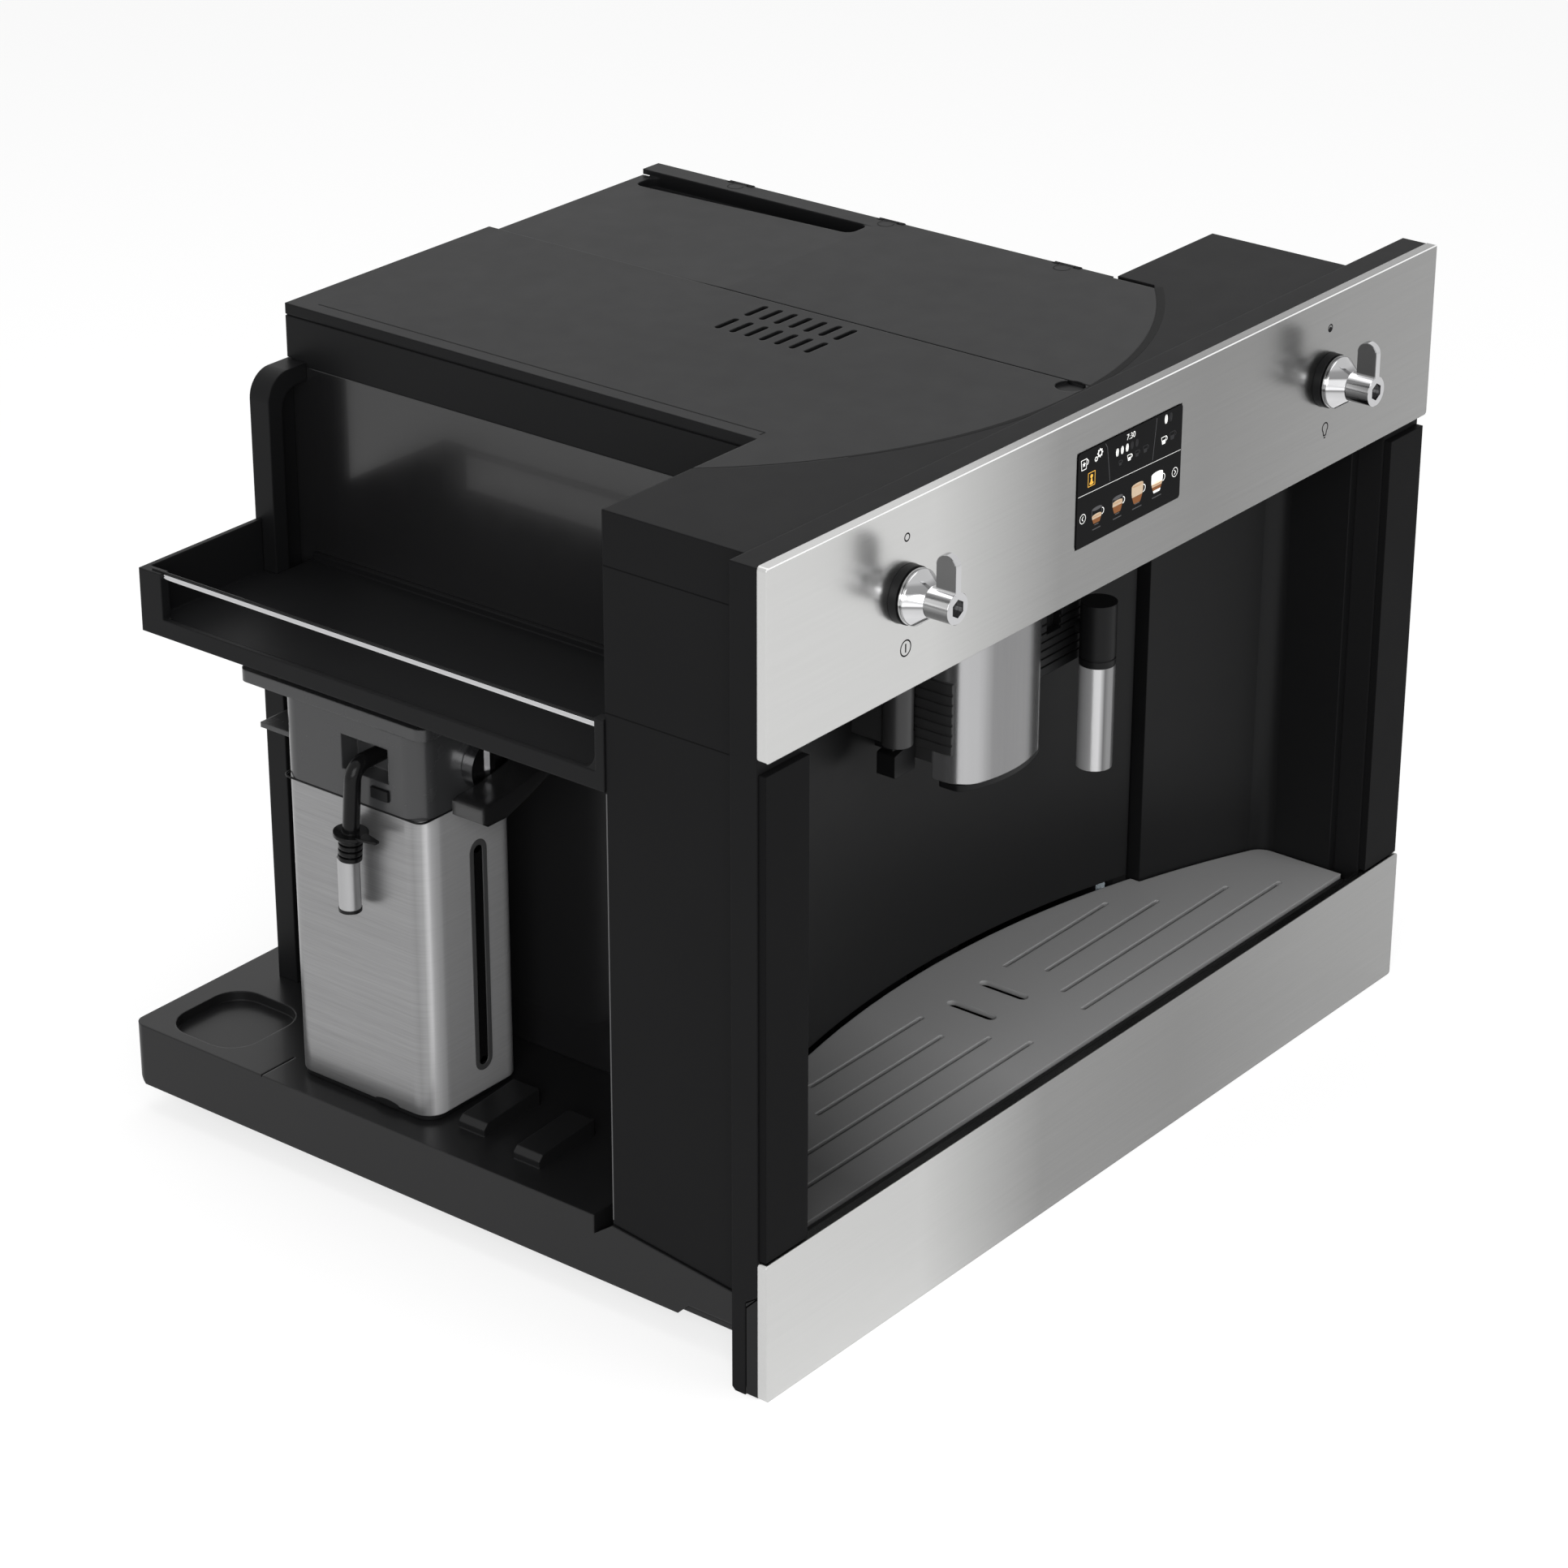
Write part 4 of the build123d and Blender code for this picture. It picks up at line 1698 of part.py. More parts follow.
NODES = {
    "runner_fixed_left": runner_fixed(-RUNNER_X),
    "runner_fixed_right": runner_fixed(RUNNER_X),
    "runner_slider_left": runner_slider(-RUNNER_X),
    "runner_slider_right": runner_slider(RUNNER_X),
    "chassis_base": chassis_base(),
    "storage_base": storage_base(),
    "front_frame": front_frame(),
    "control_panel": control_panel(),
    "bottom_panel": bottom_panel(),
    "display_glass": display_glass(),
    "control_board": control_board(),
    "pillars": pillars(),
    "rotary_switches": rotary_switches(),
    "knob_left": knob(-KNOB_X),
    "knob_right": knob(KNOB_X),
    "module_shell": module_shell(),
    "niche_liner": niche_liner(),
    "service_door": service_door(),
    "door_pins": door_pins(),
    "spout_carriage": spout_carriage(),
    "spout_cover": spout_cover(),
    "coffee_outlets": coffee_outlets(),
    "spout_guide": spout_guide(),
    "nozzle_housing": nozzle_housing(),
    "nozzle_sleeve": nozzle_sleeve(),
    "nozzle_tube": nozzle_tube(),
    "drip_tray": drip_tray(),
    "drip_grille": drip_grille(),
    "float_indicator": float_indicator(),
    "top_cover": top_cover(),
    "bean_lid": bean_lid(),
    "right_panel": right_panel(),
    "storage_wall": storage_wall(),
    "rear_panel": rear_panel(),
    "body_screws": body_screws(),
    "mains_inlet": mains_inlet(),
    "cup_shelf": cup_shelf(),
    "shelf_rail": shelf_rail(),
    "jug_shell": jug_shell(),
    "jug_liner": jug_liner(),
    "jug_lid": jug_lid(),
    "lid_button": lid_button(),
    "froth_dial": froth_dial(),
    "jug_handle": jug_handle(),
    "milk_spout": milk_spout(),
    "milk_tip": milk_tip(),
    "water_tank": water_tank(),
    "water_tank_lid": water_tank_lid(),
    "water_tank_valve": water_tank_valve(),
    "brew_frame": brew_frame(),
    "brew_piston": brew_piston(),
    "brew_screw": brew_screw(),
    "brew_motor": brew_motor(),
    "grinder_motor": grinder_motor(),
    "burr_ring": burr_ring(),
    "burr_cone": burr_cone(),
    "bean_hopper": bean_hopper(),
    "grounds_container": grounds_container(),
    "thermoblock": thermoblock(),
    "pump": pump(),
}

os.makedirs("parts", exist_ok=True)
for name, shape in NODES.items():
    export_step(shape, f"parts/{name}.step")
    print(name, "solids", len(shape.solids()), "volume", round(shape.volume))
print("nodes", len(NODES))
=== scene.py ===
"""The built-in coffee machine dressed for its picture: finishes, marks, screen, trims, light and camera."""
import json
import logging
import math
from dataclasses import dataclass
from enum import Enum
from typing import Any, Callable, Iterable, Sequence

import bpy
from mathutils import Matrix, Vector

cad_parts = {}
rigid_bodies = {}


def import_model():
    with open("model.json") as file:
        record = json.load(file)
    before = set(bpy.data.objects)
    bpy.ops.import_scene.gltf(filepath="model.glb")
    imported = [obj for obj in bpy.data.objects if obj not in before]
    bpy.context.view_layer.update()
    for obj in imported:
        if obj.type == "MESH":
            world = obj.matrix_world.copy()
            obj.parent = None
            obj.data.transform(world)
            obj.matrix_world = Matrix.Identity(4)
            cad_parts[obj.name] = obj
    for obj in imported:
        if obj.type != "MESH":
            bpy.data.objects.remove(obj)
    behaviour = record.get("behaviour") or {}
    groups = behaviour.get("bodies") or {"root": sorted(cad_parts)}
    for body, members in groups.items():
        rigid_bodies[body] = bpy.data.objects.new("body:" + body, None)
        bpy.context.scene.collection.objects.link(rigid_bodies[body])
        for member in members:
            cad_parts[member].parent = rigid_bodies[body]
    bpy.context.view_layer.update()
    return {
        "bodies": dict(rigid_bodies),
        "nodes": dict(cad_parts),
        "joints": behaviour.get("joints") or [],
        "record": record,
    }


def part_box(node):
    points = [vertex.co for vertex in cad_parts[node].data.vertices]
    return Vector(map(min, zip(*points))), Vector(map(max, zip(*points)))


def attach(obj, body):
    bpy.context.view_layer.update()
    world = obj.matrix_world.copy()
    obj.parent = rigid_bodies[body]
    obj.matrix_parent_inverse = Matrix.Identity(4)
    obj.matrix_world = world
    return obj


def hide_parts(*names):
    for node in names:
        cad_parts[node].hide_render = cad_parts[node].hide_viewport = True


MM = 0.001
LOG = logging.getLogger("coffee_machine")
Colour = tuple[float, float, float]
Place = tuple[float, float, float]
Point = tuple[float, float]
Span = tuple[float, float, float, float]
Stops = tuple[Point, ...]
Outline = Sequence[Point]
Piece = bpy.types.Object
WHITE = (1.0, 1.0, 1.0, 1.0)
UPWARDS = (0.0, 0.0, 1.0)
NO_STRETCH = (1.0, 1.0, 1.0)
# The machine's half width, the depth of a fine relief and the merging distance are in metres.
HALF_WIDTH = 0.3
CLOUD_SCALE = 9.0
FINE_RELIEF = 0.00005
MERGE_DISTANCE = 0.000001
SMOOTH_ANGLE = math.radians(35)
# The depths of thin plates are in millimetres.
LIGHT_DEPTH = 0.05
PRINT_DEPTH = 0.06
GAP_DEPTH = 0.08
HINGE_MARK_DEPTH = 0.1
# The sides and steps of round shapes.
DISC_SIDES = 40
RING_STEPS = 48
RING_SIDES = 8
ARC_STEPS = 24
SHEET_STEPS = 10
LAYER_STEPS = 6
ROD_STEPS = 8
ROD_ROUNDNESS = 3
TURNED_SIDES = 64
BEVEL_STEPS = 2


class Facing(Enum):
    """The side of the machine that a flat piece lies on, as the turn that puts it there."""

    FRONT = (math.pi / 2, 0.0, 0.0)
    LEFT = (math.pi / 2, 0.0, -math.pi / 2)
    TOP = (0.0, 0.0, 0.0)


class Grain(Enum):
    """The direction of a metal's brushing, as the stretch of its noise along each axis."""

    ACROSS = (1.0, 60.0, 60.0)
    UPRIGHT = (60.0, 60.0, 1.0)
    LEVEL = (1.0, 1.0, 60.0)


class Bend(Enum):
    """How an outline or a path goes through its points, as the order of its curve."""

    STRAIGHT = 2
    SMOOTH = 3


class Value:
    """A number that changes over a surface; sums and products on it add the nodes."""

    def __init__(self, graph: "Graph", socket: bpy.types.NodeSocket) -> None:
        """Wraps one output socket of a graph."""
        self.graph = graph
        self.socket = socket

    def math(self, operation: str, first: Any, second: Any) -> "Value":
        """Adds one Math node.

        Args:
            operation: the node's operation.
            first: the first term, a value or a number.
            second: the second term, a value or a number.

        Returns:
            The node's result.
        """
        node = self.graph.node("ShaderNodeMath", {"operation": operation}, {0: first, 1: second})
        return Value(self.graph, node.outputs[0])

    def __add__(self, other: Any) -> "Value":
        """The sum."""
        return self.math("ADD", self, other)

    def __radd__(self, other: Any) -> "Value":
        """The sum with the number first."""
        return self.math("ADD", other, self)

    def __sub__(self, other: Any) -> "Value":
        """The difference."""
        return self.math("SUBTRACT", self, other)

    def __rsub__(self, other: Any) -> "Value":
        """The difference with the number first."""
        return self.math("SUBTRACT", other, self)

    def __mul__(self, other: Any) -> "Value":
        """The product."""
        return self.math("MULTIPLY", self, other)

    def __rmul__(self, other: Any) -> "Value":
        """The product with the number first."""
        return self.math("MULTIPLY", other, self)


class Graph:
    """One material or world and its nodes."""

    def __init__(self, owner: Any) -> None:
        """Empties the node tree of a material or world.

        Args:
            owner: the material or world.
        """
        owner.use_nodes = True
        self.tree = owner.node_tree
        self.tree.nodes.clear()

    def node(self, kind: str, settings: dict[str, Any], inputs: dict[Any, Any]) -> bpy.types.Node:
        """Adds a node.

        Args:
            kind: the node's type.
            settings: its own settings, or the stops of a ramp.
            inputs: numbers, colours, values or sockets by input name or index.

        Returns:
            The new node.
        """
        made = self.tree.nodes.new(kind)
        for name, setting in settings.items():
            if name == "stops":
                self.set_stops(made.color_ramp, setting)
            else:
                setattr(made, name, setting)
        for name, given in inputs.items():
            if isinstance(given, Value):
                self.tree.links.new(given.socket, made.inputs[name])
            elif isinstance(given, bpy.types.NodeSocket):
                self.tree.links.new(given, made.inputs[name])
            else:
                made.inputs[name].default_value = given
        return made

    def set_stops(self, ramp: bpy.types.ColorRamp, stops: Sequence[tuple[float, Colour]]) -> None:
        """Gives a ramp its places and colours.

        Args:
            ramp: the ramp.
            stops: the place and colour of each stop.
        """
        while len(ramp.elements) < len(stops):
            ramp.elements.new(0.5)
        for element, (place, colour) in zip(ramp.elements, stops):
            element.position = place
            element.color = (*colour, 1.0)

    def value(self, node: bpy.types.Node, output: Any = 0) -> Value:
        """An output of a node as a value."""
        return Value(self, node.outputs[output])

    def place(self, stretch: Place = NO_STRETCH) -> bpy.types.NodeSocket:
        """Object coordinates, stretched.

        Args:
            stretch: the stretch on each axis.

        Returns:
            The stretched coordinates.
        """
        coordinate = self.node("ShaderNodeTexCoord", {}, {})
        inputs = {"Vector": coordinate.outputs["Object"], "Scale": stretch}
        mapping = self.node("ShaderNodeMapping", {}, inputs)
        return mapping.outputs["Vector"]

    def noise(self, scale: float, detail: float, stretch: Place = NO_STRETCH) -> Value:
        """A noise over the piece.

        Args:
            scale: its cells per metre.
            detail: its octaves.
            stretch: the stretch of its coordinates.

        Returns:
            The noise's value from nought to one.
        """
        inputs = {"Vector": self.place(stretch), "Scale": scale, "Detail": detail}
        node = self.node("ShaderNodeTexNoise", {"noise_dimensions": "3D"}, inputs)
        return self.value(node, "Fac")

    def along(self, axis: str, low: float, high: float, stops: Stops) -> Value:
        """A slow change along one axis of the piece.

        Args:
            axis: X, Y or Z.
            low: where the change begins, in metres.
            high: where it ends.
            stops: the value at each share of the way.

        Returns:
            The value there.
        """
        parts = self.node("ShaderNodeSeparateXYZ", {}, {0: self.place()})
        inputs = {0: self.value(parts, axis), "From Min": low, "From Max": high}
        way = self.node("ShaderNodeMapRange", {}, inputs)
        greys = [(place, (level, level, level)) for place, level in stops]
        ramp = self.node("ShaderNodeValToRGB", {"stops": greys}, {0: way.outputs[0]})
        return self.value(ramp, "Color")

    def blend(self, share: Value, low: Colour, high: Colour) -> bpy.types.NodeSocket:
        """A colour between two.

        Args:
            share: the share of the second colour.
            low: the first colour.
            high: the second colour.

        Returns:
            The mixed colour.
        """
        settings = {"data_type": "RGBA"}
        node = self.node("ShaderNodeMix", settings, {0: share, 6: (*low, 1.0), 7: (*high, 1.0)})
        return node.outputs[2]

    def soft_edge(self, radius: float) -> bpy.types.NodeSocket:
        """The normal with its edges rounded by a small radius in metres."""
        return self.node("ShaderNodeBevel", {"samples": 4}, {"Radius": radius}).outputs["Normal"]

    def bump(self, height: Value, depth: float, strength: float, normal: Any = None) -> bpy.types.NodeSocket:
        """A relief.

        Args:
            height: the height from nought to one.
            depth: the depth in metres of a full step.
            strength: the share of the relief that shows.
            normal: the normal under it, or None.

        Returns:
            The new normal.
        """
        inputs: dict[Any, Any] = {"Height": height, "Distance": depth, "Strength": strength}
        if normal is not None:
            inputs["Normal"] = normal
        return self.node("ShaderNodeBump", {}, inputs).outputs["Normal"]

    def surface(self, inputs: dict[str, Any]) -> None:
        """Ends the graph in one surface shader."""
        shader = self.node("ShaderNodeBsdfPrincipled", {}, inputs)
        self.node("ShaderNodeOutputMaterial", {}, {"Surface": shader.outputs[0]})


def tinted(colour: Colour, share: float) -> Colour:
    """A colour made darker or lighter by a share, white at most."""
    return tuple(min(1.0, part * share) for part in colour)


@dataclass(frozen=True)
class Finish:
    """A finish by the name of its slot in the record."""

    slot: str

    def inputs(self, graph: Graph) -> dict[str, Any]:
        """The surface shader's inputs; each finish gives its own."""
        raise NotImplementedError

    def material(self) -> bpy.types.Material:
        """The finish as a material, made once.

        Returns:
            The new material, or the one that is there.
        """
        name = f"finish_{self.slot}"
        known = bpy.data.materials.get(name)
        if known is not None:
            return known
        made = bpy.data.materials.new(name)
        graph = Graph(made)
        graph.surface(self.inputs(graph))
        return made


@dataclass(frozen=True)
class Plastic(Finish):
    """Moulded plastic with a spark-eroded grain, soft edges and a little unevenness in its shine."""

    colour: Colour
    roughness: float = 0.42
    grain_depth: float = 0.00006
    grain_scale: float = 1500.0
    edge: float = 0.0007
    coat: float = 0.0
    specular: float = 0.5

    def inputs(self, graph: Graph) -> dict[str, Any]:
        """Grain in the relief, handling marks in the roughness, a slow change in the colour.

        Args:
            graph: the graph that its nodes go into.

        Returns:
            The surface shader's inputs by name.
        """
        grain = graph.noise(self.grain_scale, 2.0)
        cloud = graph.noise(CLOUD_SCALE, 3.0)
        marks = graph.noise(60.0, 5.0)
        light = tinted(self.colour, 1.22)
        return {
            "Base Color": graph.blend(cloud, self.colour, light),
            "Roughness": self.roughness - 0.06 + cloud * 0.06 + marks * 0.07,
            "Normal": graph.bump(grain, self.grain_depth, 0.35, graph.soft_edge(self.edge)),
            "Coat Weight": self.coat,
            "Coat Roughness": 0.05,
            "Specular IOR Level": self.specular,
        }


@dataclass(frozen=True)
class Shaded(Plastic):
    """Moulded plastic with painted shade, darker under the machine's left end."""

    painted_light: Stops = ((0.0, 0.0), (1.0, 1.0))

    def inputs(self, graph: Graph) -> dict[str, Any]:
        """The plastic's own, with painted shade in its colour along the width.

        Args:
            graph: the graph that its nodes go into.

        Returns:
            The surface shader's inputs by name.
        """
        dark = tinted(self.colour, 0.3)
        tone = graph.along("X", -HALF_WIDTH, HALF_WIDTH, self.painted_light) + (graph.noise(CLOUD_SCALE, 3.0) - 0.5) * 0.1
        return {**super().inputs(graph), "Base Color": graph.blend(tone, dark, self.colour)}


@dataclass(frozen=True)
class Brushed(Finish):
    """Brushed steel: streaks in its shine, its colour and its relief, painted light along its width, with soft folded
    edges.
    """

    colour: Colour
    grain: Grain = Grain.ACROSS
    roughness: float = 0.3
    streak: float = 0.12
    metallic: float = 1.0
    relief: float = 0.15
    painted_light: Stops = ((0.0, 0.5), (1.0, 0.5))
    edge: float = 0.0008
    contrast: float = 0.38

    def inputs(self, graph: Graph) -> dict[str, Any]:
        """Fine and coarse streaks along the brushing, over a slow change of painted highlight and painted shade from
        end to end.

        Args:
            graph: the graph that its nodes go into.

        Returns:
            The surface shader's inputs by name.
        """
        fine = graph.noise(42.0, 3.0, self.grain.value)
        coarse = graph.noise(9.0, 2.0, self.grain.value)
        cloud = graph.noise(6.0, 2.0)
        # Painted light: the finish's stops give a painted highlight and painted shade along the width.
        painted_light = graph.along("X", -HALF_WIDTH, HALF_WIDTH, self.painted_light)
        dark = tinted(self.colour, 1.0 - self.contrast)
        light = tinted(self.colour, 1.0 + self.contrast)
        tone = painted_light + (fine - 0.5) * self.streak + (coarse - 0.5) * self.streak
        return {
            "Base Color": graph.blend(tone, dark, light),
            "Metallic": self.metallic,
            "Roughness": self.roughness + (fine - 0.5) * self.streak + (cloud - 0.5) * 0.05,
            "Normal": graph.bump(fine, FINE_RELIEF, self.relief, graph.soft_edge(self.edge)),
        }


@dataclass(frozen=True)
class Polished(Finish):
    """Plated or polished metal with faint handling marks."""

    colour: Colour
    roughness: float = 0.08
    metallic: float = 1.0

    def inputs(self, graph: Graph) -> dict[str, Any]:
        """Hairlines and smudges in the shine.

        Args:
            graph: the graph that its nodes go into.

        Returns:
            The surface shader's inputs by name.
        """
        smudge = graph.noise(40.0, 4.0)
        hair = graph.noise(300.0, 2.0, (1.0, 6.0, 1.0))
        dull = tinted(self.colour, 0.93)
        return {
            "Base Color": graph.blend(smudge, dull, self.colour),
            "Metallic": self.metallic,
            "Roughness": self.roughness + smudge * 0.05 + hair * 0.03,
            "Normal": graph.bump(hair, 0.00001, 0.1),
        }


@dataclass(frozen=True)
class CornerSteel(Brushed):
    """The jug's brushed steel: a painted highlight makes its rounded corner whiter where it faces the light, and
    painted shade makes its shaded side duller.
    """

    shine: Stops = ((0.0, 0.84), (0.06, 0.84), (0.07, 0.3), (0.09, 0.12), (1.0, 0.12))

    def inputs(self, graph: Graph) -> dict[str, Any]:
        """The brushed steel's own, with its metallic share along the width.

        Args:
            graph: the graph that its nodes go into.

        Returns:
            The surface shader's inputs by name.
        """
        return {**super().inputs(graph), "Metallic": graph.along("X", -HALF_WIDTH, HALF_WIDTH, self.shine)}


@dataclass(frozen=True)
class PaintedReflection(Polished):
    """Bright plating with a painted reflection of a soft box and the dark room, as bands from its foot to its top."""

    low: float = 0.39
    high: float = 0.44
    bands: Stops = ((0.0, 0.5), (1.0, 0.5))

    def inputs(self, graph: Graph) -> dict[str, Any]:
        """The plating's own, with a painted reflection in bands in its tone.

        Args:
            graph: the graph that its nodes go into.

        Returns:
            The surface shader's inputs by name.
        """
        tone = graph.along("Z", self.low, self.high, self.bands)
        dark = tinted(self.colour, 0.16)
        return {**super().inputs(graph), "Base Color": graph.blend(tone, dark, self.colour)}


@dataclass(frozen=True)
class Cast(Finish):
    """Cast or plated metal with a crystal pattern and a fine grain."""

    colour: Colour
    crystal: float = 160.0
    roughness: float = 0.38

    def inputs(self, graph: Graph) -> dict[str, Any]:
        """Crystals in the colour and the shine, grain in the relief.

        Args:
            graph: the graph that its nodes go into.

        Returns:
            The surface shader's inputs by name.
        """
        settings = {"feature": "F1"}
        cells = graph.node("ShaderNodeTexVoronoi", settings, {"Vector": graph.place(), "Scale": self.crystal})
        tone = graph.value(cells, "Distance")
        grain = graph.noise(900.0, 2.0)
        dark = tinted(self.colour, 0.78)
        return {
            "Base Color": graph.blend(tone, dark, self.colour),
            "Metallic": 1.0,
            "Roughness": self.roughness + tone * 0.18,
            "Normal": graph.bump(grain, FINE_RELIEF, 0.3, graph.soft_edge(0.0004)),
        }


@dataclass(frozen=True)
class Clear(Finish):
    """Clear moulded plastic, a little hazy where it is handled."""

    colour: Colour

    def inputs(self, graph: Graph) -> dict[str, Any]:
        """Haze in the roughness, a slow wave in the relief.

        Args:
            graph: the graph that its nodes go into.

        Returns:
            The surface shader's inputs by name.
        """
        haze = graph.noise(30.0, 4.0)
        wave = graph.noise(14.0, 1.0)
        pale = tinted(self.colour, 1.1)
        return {
            "Base Color": graph.blend(haze, self.colour, pale),
            "Roughness": 0.06 + haze * 0.12,
            "Normal": graph.bump(wave, 0.0004, 0.2, graph.soft_edge(0.0006)),
            "Transmission Weight": 0.72,
            "IOR": 1.49,
        }


@dataclass(frozen=True)
class Screen(Finish):
    """The dark glass of the display, with a faint glow behind it."""

    colour: Colour

    def inputs(self, graph: Graph) -> dict[str, Any]:
        """Finger marks in the shine over an even black.

        Args:
            graph: the graph that its nodes go into.

        Returns:
            The surface shader's inputs by name.
        """
        prints = graph.noise(90.0, 4.0)
        cloud = graph.noise(20.0, 2.0)
        glow = tinted(self.colour, 2.2)
        return {
            "Base Color": graph.blend(cloud, self.colour, glow),
            "Roughness": 0.16 + prints * 0.08,
            "Normal": graph.soft_edge(0.0002),
            "Specular IOR Level": 0.03,
        }


@dataclass(frozen=True)
class Circuit(Finish):
    """A control board's solder mask with tracks running under it."""

    colour: Colour

    def inputs(self, graph: Graph) -> dict[str, Any]:
        """Tracks in the colour and the relief.

        Args:
            graph: the graph that its nodes go into.

        Returns:
            The surface shader's inputs by name.
        """
        settings = {"offset": 0.37, "squash": 0.6, "squash_frequency": 3}
        inputs = {"Vector": graph.place(), "Scale": 260.0, "Mortar Size": 0.06}
        track = graph.node("ShaderNodeTexBrick", settings, inputs)
        mask = graph.value(track, "Fac")
        bright = tinted(self.colour, 2.1)
        return {
            "Base Color": graph.blend(mask, self.colour, bright),
            "Roughness": 0.3 + mask * 0.1,
            "Normal": graph.bump(mask, 0.00008, 0.6),
        }


@dataclass(frozen=True)
class Lit(Finish):
    """A lit or printed figure in one ink, a little uneven as a screen's dots are."""

    colour: Colour
    glow: float = 1.0

    def inputs(self, graph: Graph) -> dict[str, Any]:
        """Even dots in the glow.

        Args:
            graph: the graph that its nodes go into.

        Returns:
            The surface shader's inputs by name.
        """
        dots = graph.noise(2500.0, 1.0)
        low = tinted(self.colour, 0.86)
        lit = graph.blend(dots, low, self.colour)
        return {
            "Base Color": graph.blend(dots, low, self.colour),
            "Roughness": 0.4 + dots * 0.1,
            "Emission Color": lit,
            "Emission Strength": self.glow,
            "Specular IOR Level": 0.04,
        }


# Painted light on the steel panels: a painted highlight at the left end, painted shade in the middle.
PANEL_PAINTED_LIGHT = ((0.0, 0.9), (0.22, 0.85), (0.4, 0.09), (0.62, 0.0), (0.84, 0.13), (1.0, 0.18))
# Painted light on the spout's steel: a painted highlight on its left side, painted shade across its front.
SPOUT_PAINTED_LIGHT = ((0.0, 0.9), (0.437, 0.9), (0.441, 0.72), (0.455, 0.66), (0.47, 0.14), (0.54, 0.1), (0.558, 0.0))
# Painted reflection on the nozzle tube: a bright band, a dark band and a dim one across it.
NOZZLE_PAINTED_REFLECTION = ((0.651, 1.0), (0.657, 1.0), (0.658, 0.0), (0.6598, 0.0), (0.6607, 0.3), (0.685, 0.25))
# Painted highlight down the jug's rounded corner, beside a dark line, with painted shade on the side beyond.
JUG_PAINTED_HIGHLIGHT = (
    (0.0, 0.235), (0.061, 0.235), (0.0628, 0.1), (0.0665, 0.3), (0.069, 1.0), (0.083, 1.0), (0.0865, 0.5), (0.13, 0.5),
    (0.18, 0.4),
)
# Painted reflections in bands on the knobs' chrome: on the cone and flange, and on the stem and lever.
CONE_PAINTED_REFLECTION = (
    (0.0, 0.7), (0.16, 0.78), (0.24, 0.6), (0.27, 0.1), (0.285, 1.0), (0.38, 1.0), (0.4, 0.2), (0.46, 0.25),
    (0.49, 0.55),
)
STEM_PAINTED_REFLECTION = (
    (0.0, 0.1), (0.24, 0.1), (0.29, 0.42), (0.34, 0.1), (0.4, 0.12), (0.425, 1.0), (0.45, 0.9), (0.465, 0.08),
    (0.72, 0.1), (1.0, 0.06),
)
BLACK_HOUSING = Plastic("black_housing", (0.0085, 0.0086, 0.0091), 0.42, 0.00006, 1500.0, 0.0014, 0.0, 0.1)
BLACK_TRIM = Plastic("black_trim", (0.008, 0.0081, 0.0085), 0.4, 0.00004, 1800.0, 0.0008, 0.0, 0.16)
BLACK_GLOSS = Plastic("black_gloss", (0.006, 0.006, 0.0063), 0.16, 0.00001, 600.0, 0.0012, 0.06, 0.12)
DEEP_BLACK = Plastic("deep_black", (0.009, 0.009, 0.0094), 0.45, 0.00004, 1500.0, 0.0008, 0.0, 0.02)
FRAME_BLACK = Plastic("frame_black", (0.0125, 0.0125, 0.013), 0.42, 0.00006, 1500.0, 0.0014, 0.0, 0.035)
# Grey plastic as a painted highlight down the housing's rear corner.
HIGHLIGHT_GREY = Plastic("painted_highlight_grey", (0.1, 0.1, 0.102), 0.4, 0.00003, 1500.0, 0.0002, 0.0, 0.4)
HANDLE_GLOSS = Plastic("handle_gloss", (0.016, 0.016, 0.0165), 0.24, 0.00001, 600.0, 0.004, 0.2, 0.5)
WALL_GLOSS = Plastic("wall_gloss", (0.012, 0.012, 0.0125), 0.2, 0.00001, 600.0, 0.0012, 0.2, 0.5)
BAY_BLACK = Plastic("bay_black", (0.012, 0.012, 0.0125), 0.3, 0.00004, 1500.0, 0.0014, 0.04, 0.2)
PAINTED_STEEL = Plastic("painted_steel", (0.008, 0.008, 0.0084), 0.36, 0.00008, 700.0, 0.0008, 0.1, 0.2)
GREY_LID = Plastic("grey_lid", (0.044, 0.0445, 0.046), 0.26, 0.00003, 1200.0, 0.0014, 0.1, 0.4)
BEZEL_GREY = Plastic("bezel_grey", (0.075, 0.075, 0.076), 0.3, 0.00003, 1200.0, 0.0004, 0.0, 0.4)
# The grille's grey plastic, with painted shade towards the machine's left end.
GRILLE_GREY = Shaded(
    "grille_grey", (0.46, 0.46, 0.462), 0.34, 0.00004, 1400.0, 0.0009, 0.0, 0.5, ((0.0, 0.0), (0.16, 0.0), (0.4, 1.0))
)
GRIP_GREY = Plastic("grip_grey", (0.03, 0.03, 0.0305), 0.36, 0.00004, 1400.0, 0.0008, 0.0, 0.5)
LIGHT_PLASTIC = Plastic("light_plastic", (0.58, 0.575, 0.55), 0.42, 0.00005, 900.0)
ORANGE_FLOAT = Plastic("orange_float", (0.72, 0.16, 0.03), 0.3, 0.00003, 900.0)
PANEL_STEEL = Brushed(
    "brushed_panel", (0.43, 0.43, 0.425), Grain.ACROSS, 0.24, 0.07, 1.0, 0.15, PANEL_PAINTED_LIGHT, 0.0008, 0.45
)
JUG_STEEL = CornerSteel("jug_steel", (0.47, 0.47, 0.475), Grain.LEVEL, 0.33, 0.16, 0.84, 0.06, JUG_PAINTED_HIGHLIGHT, 0.0008, 0.6)
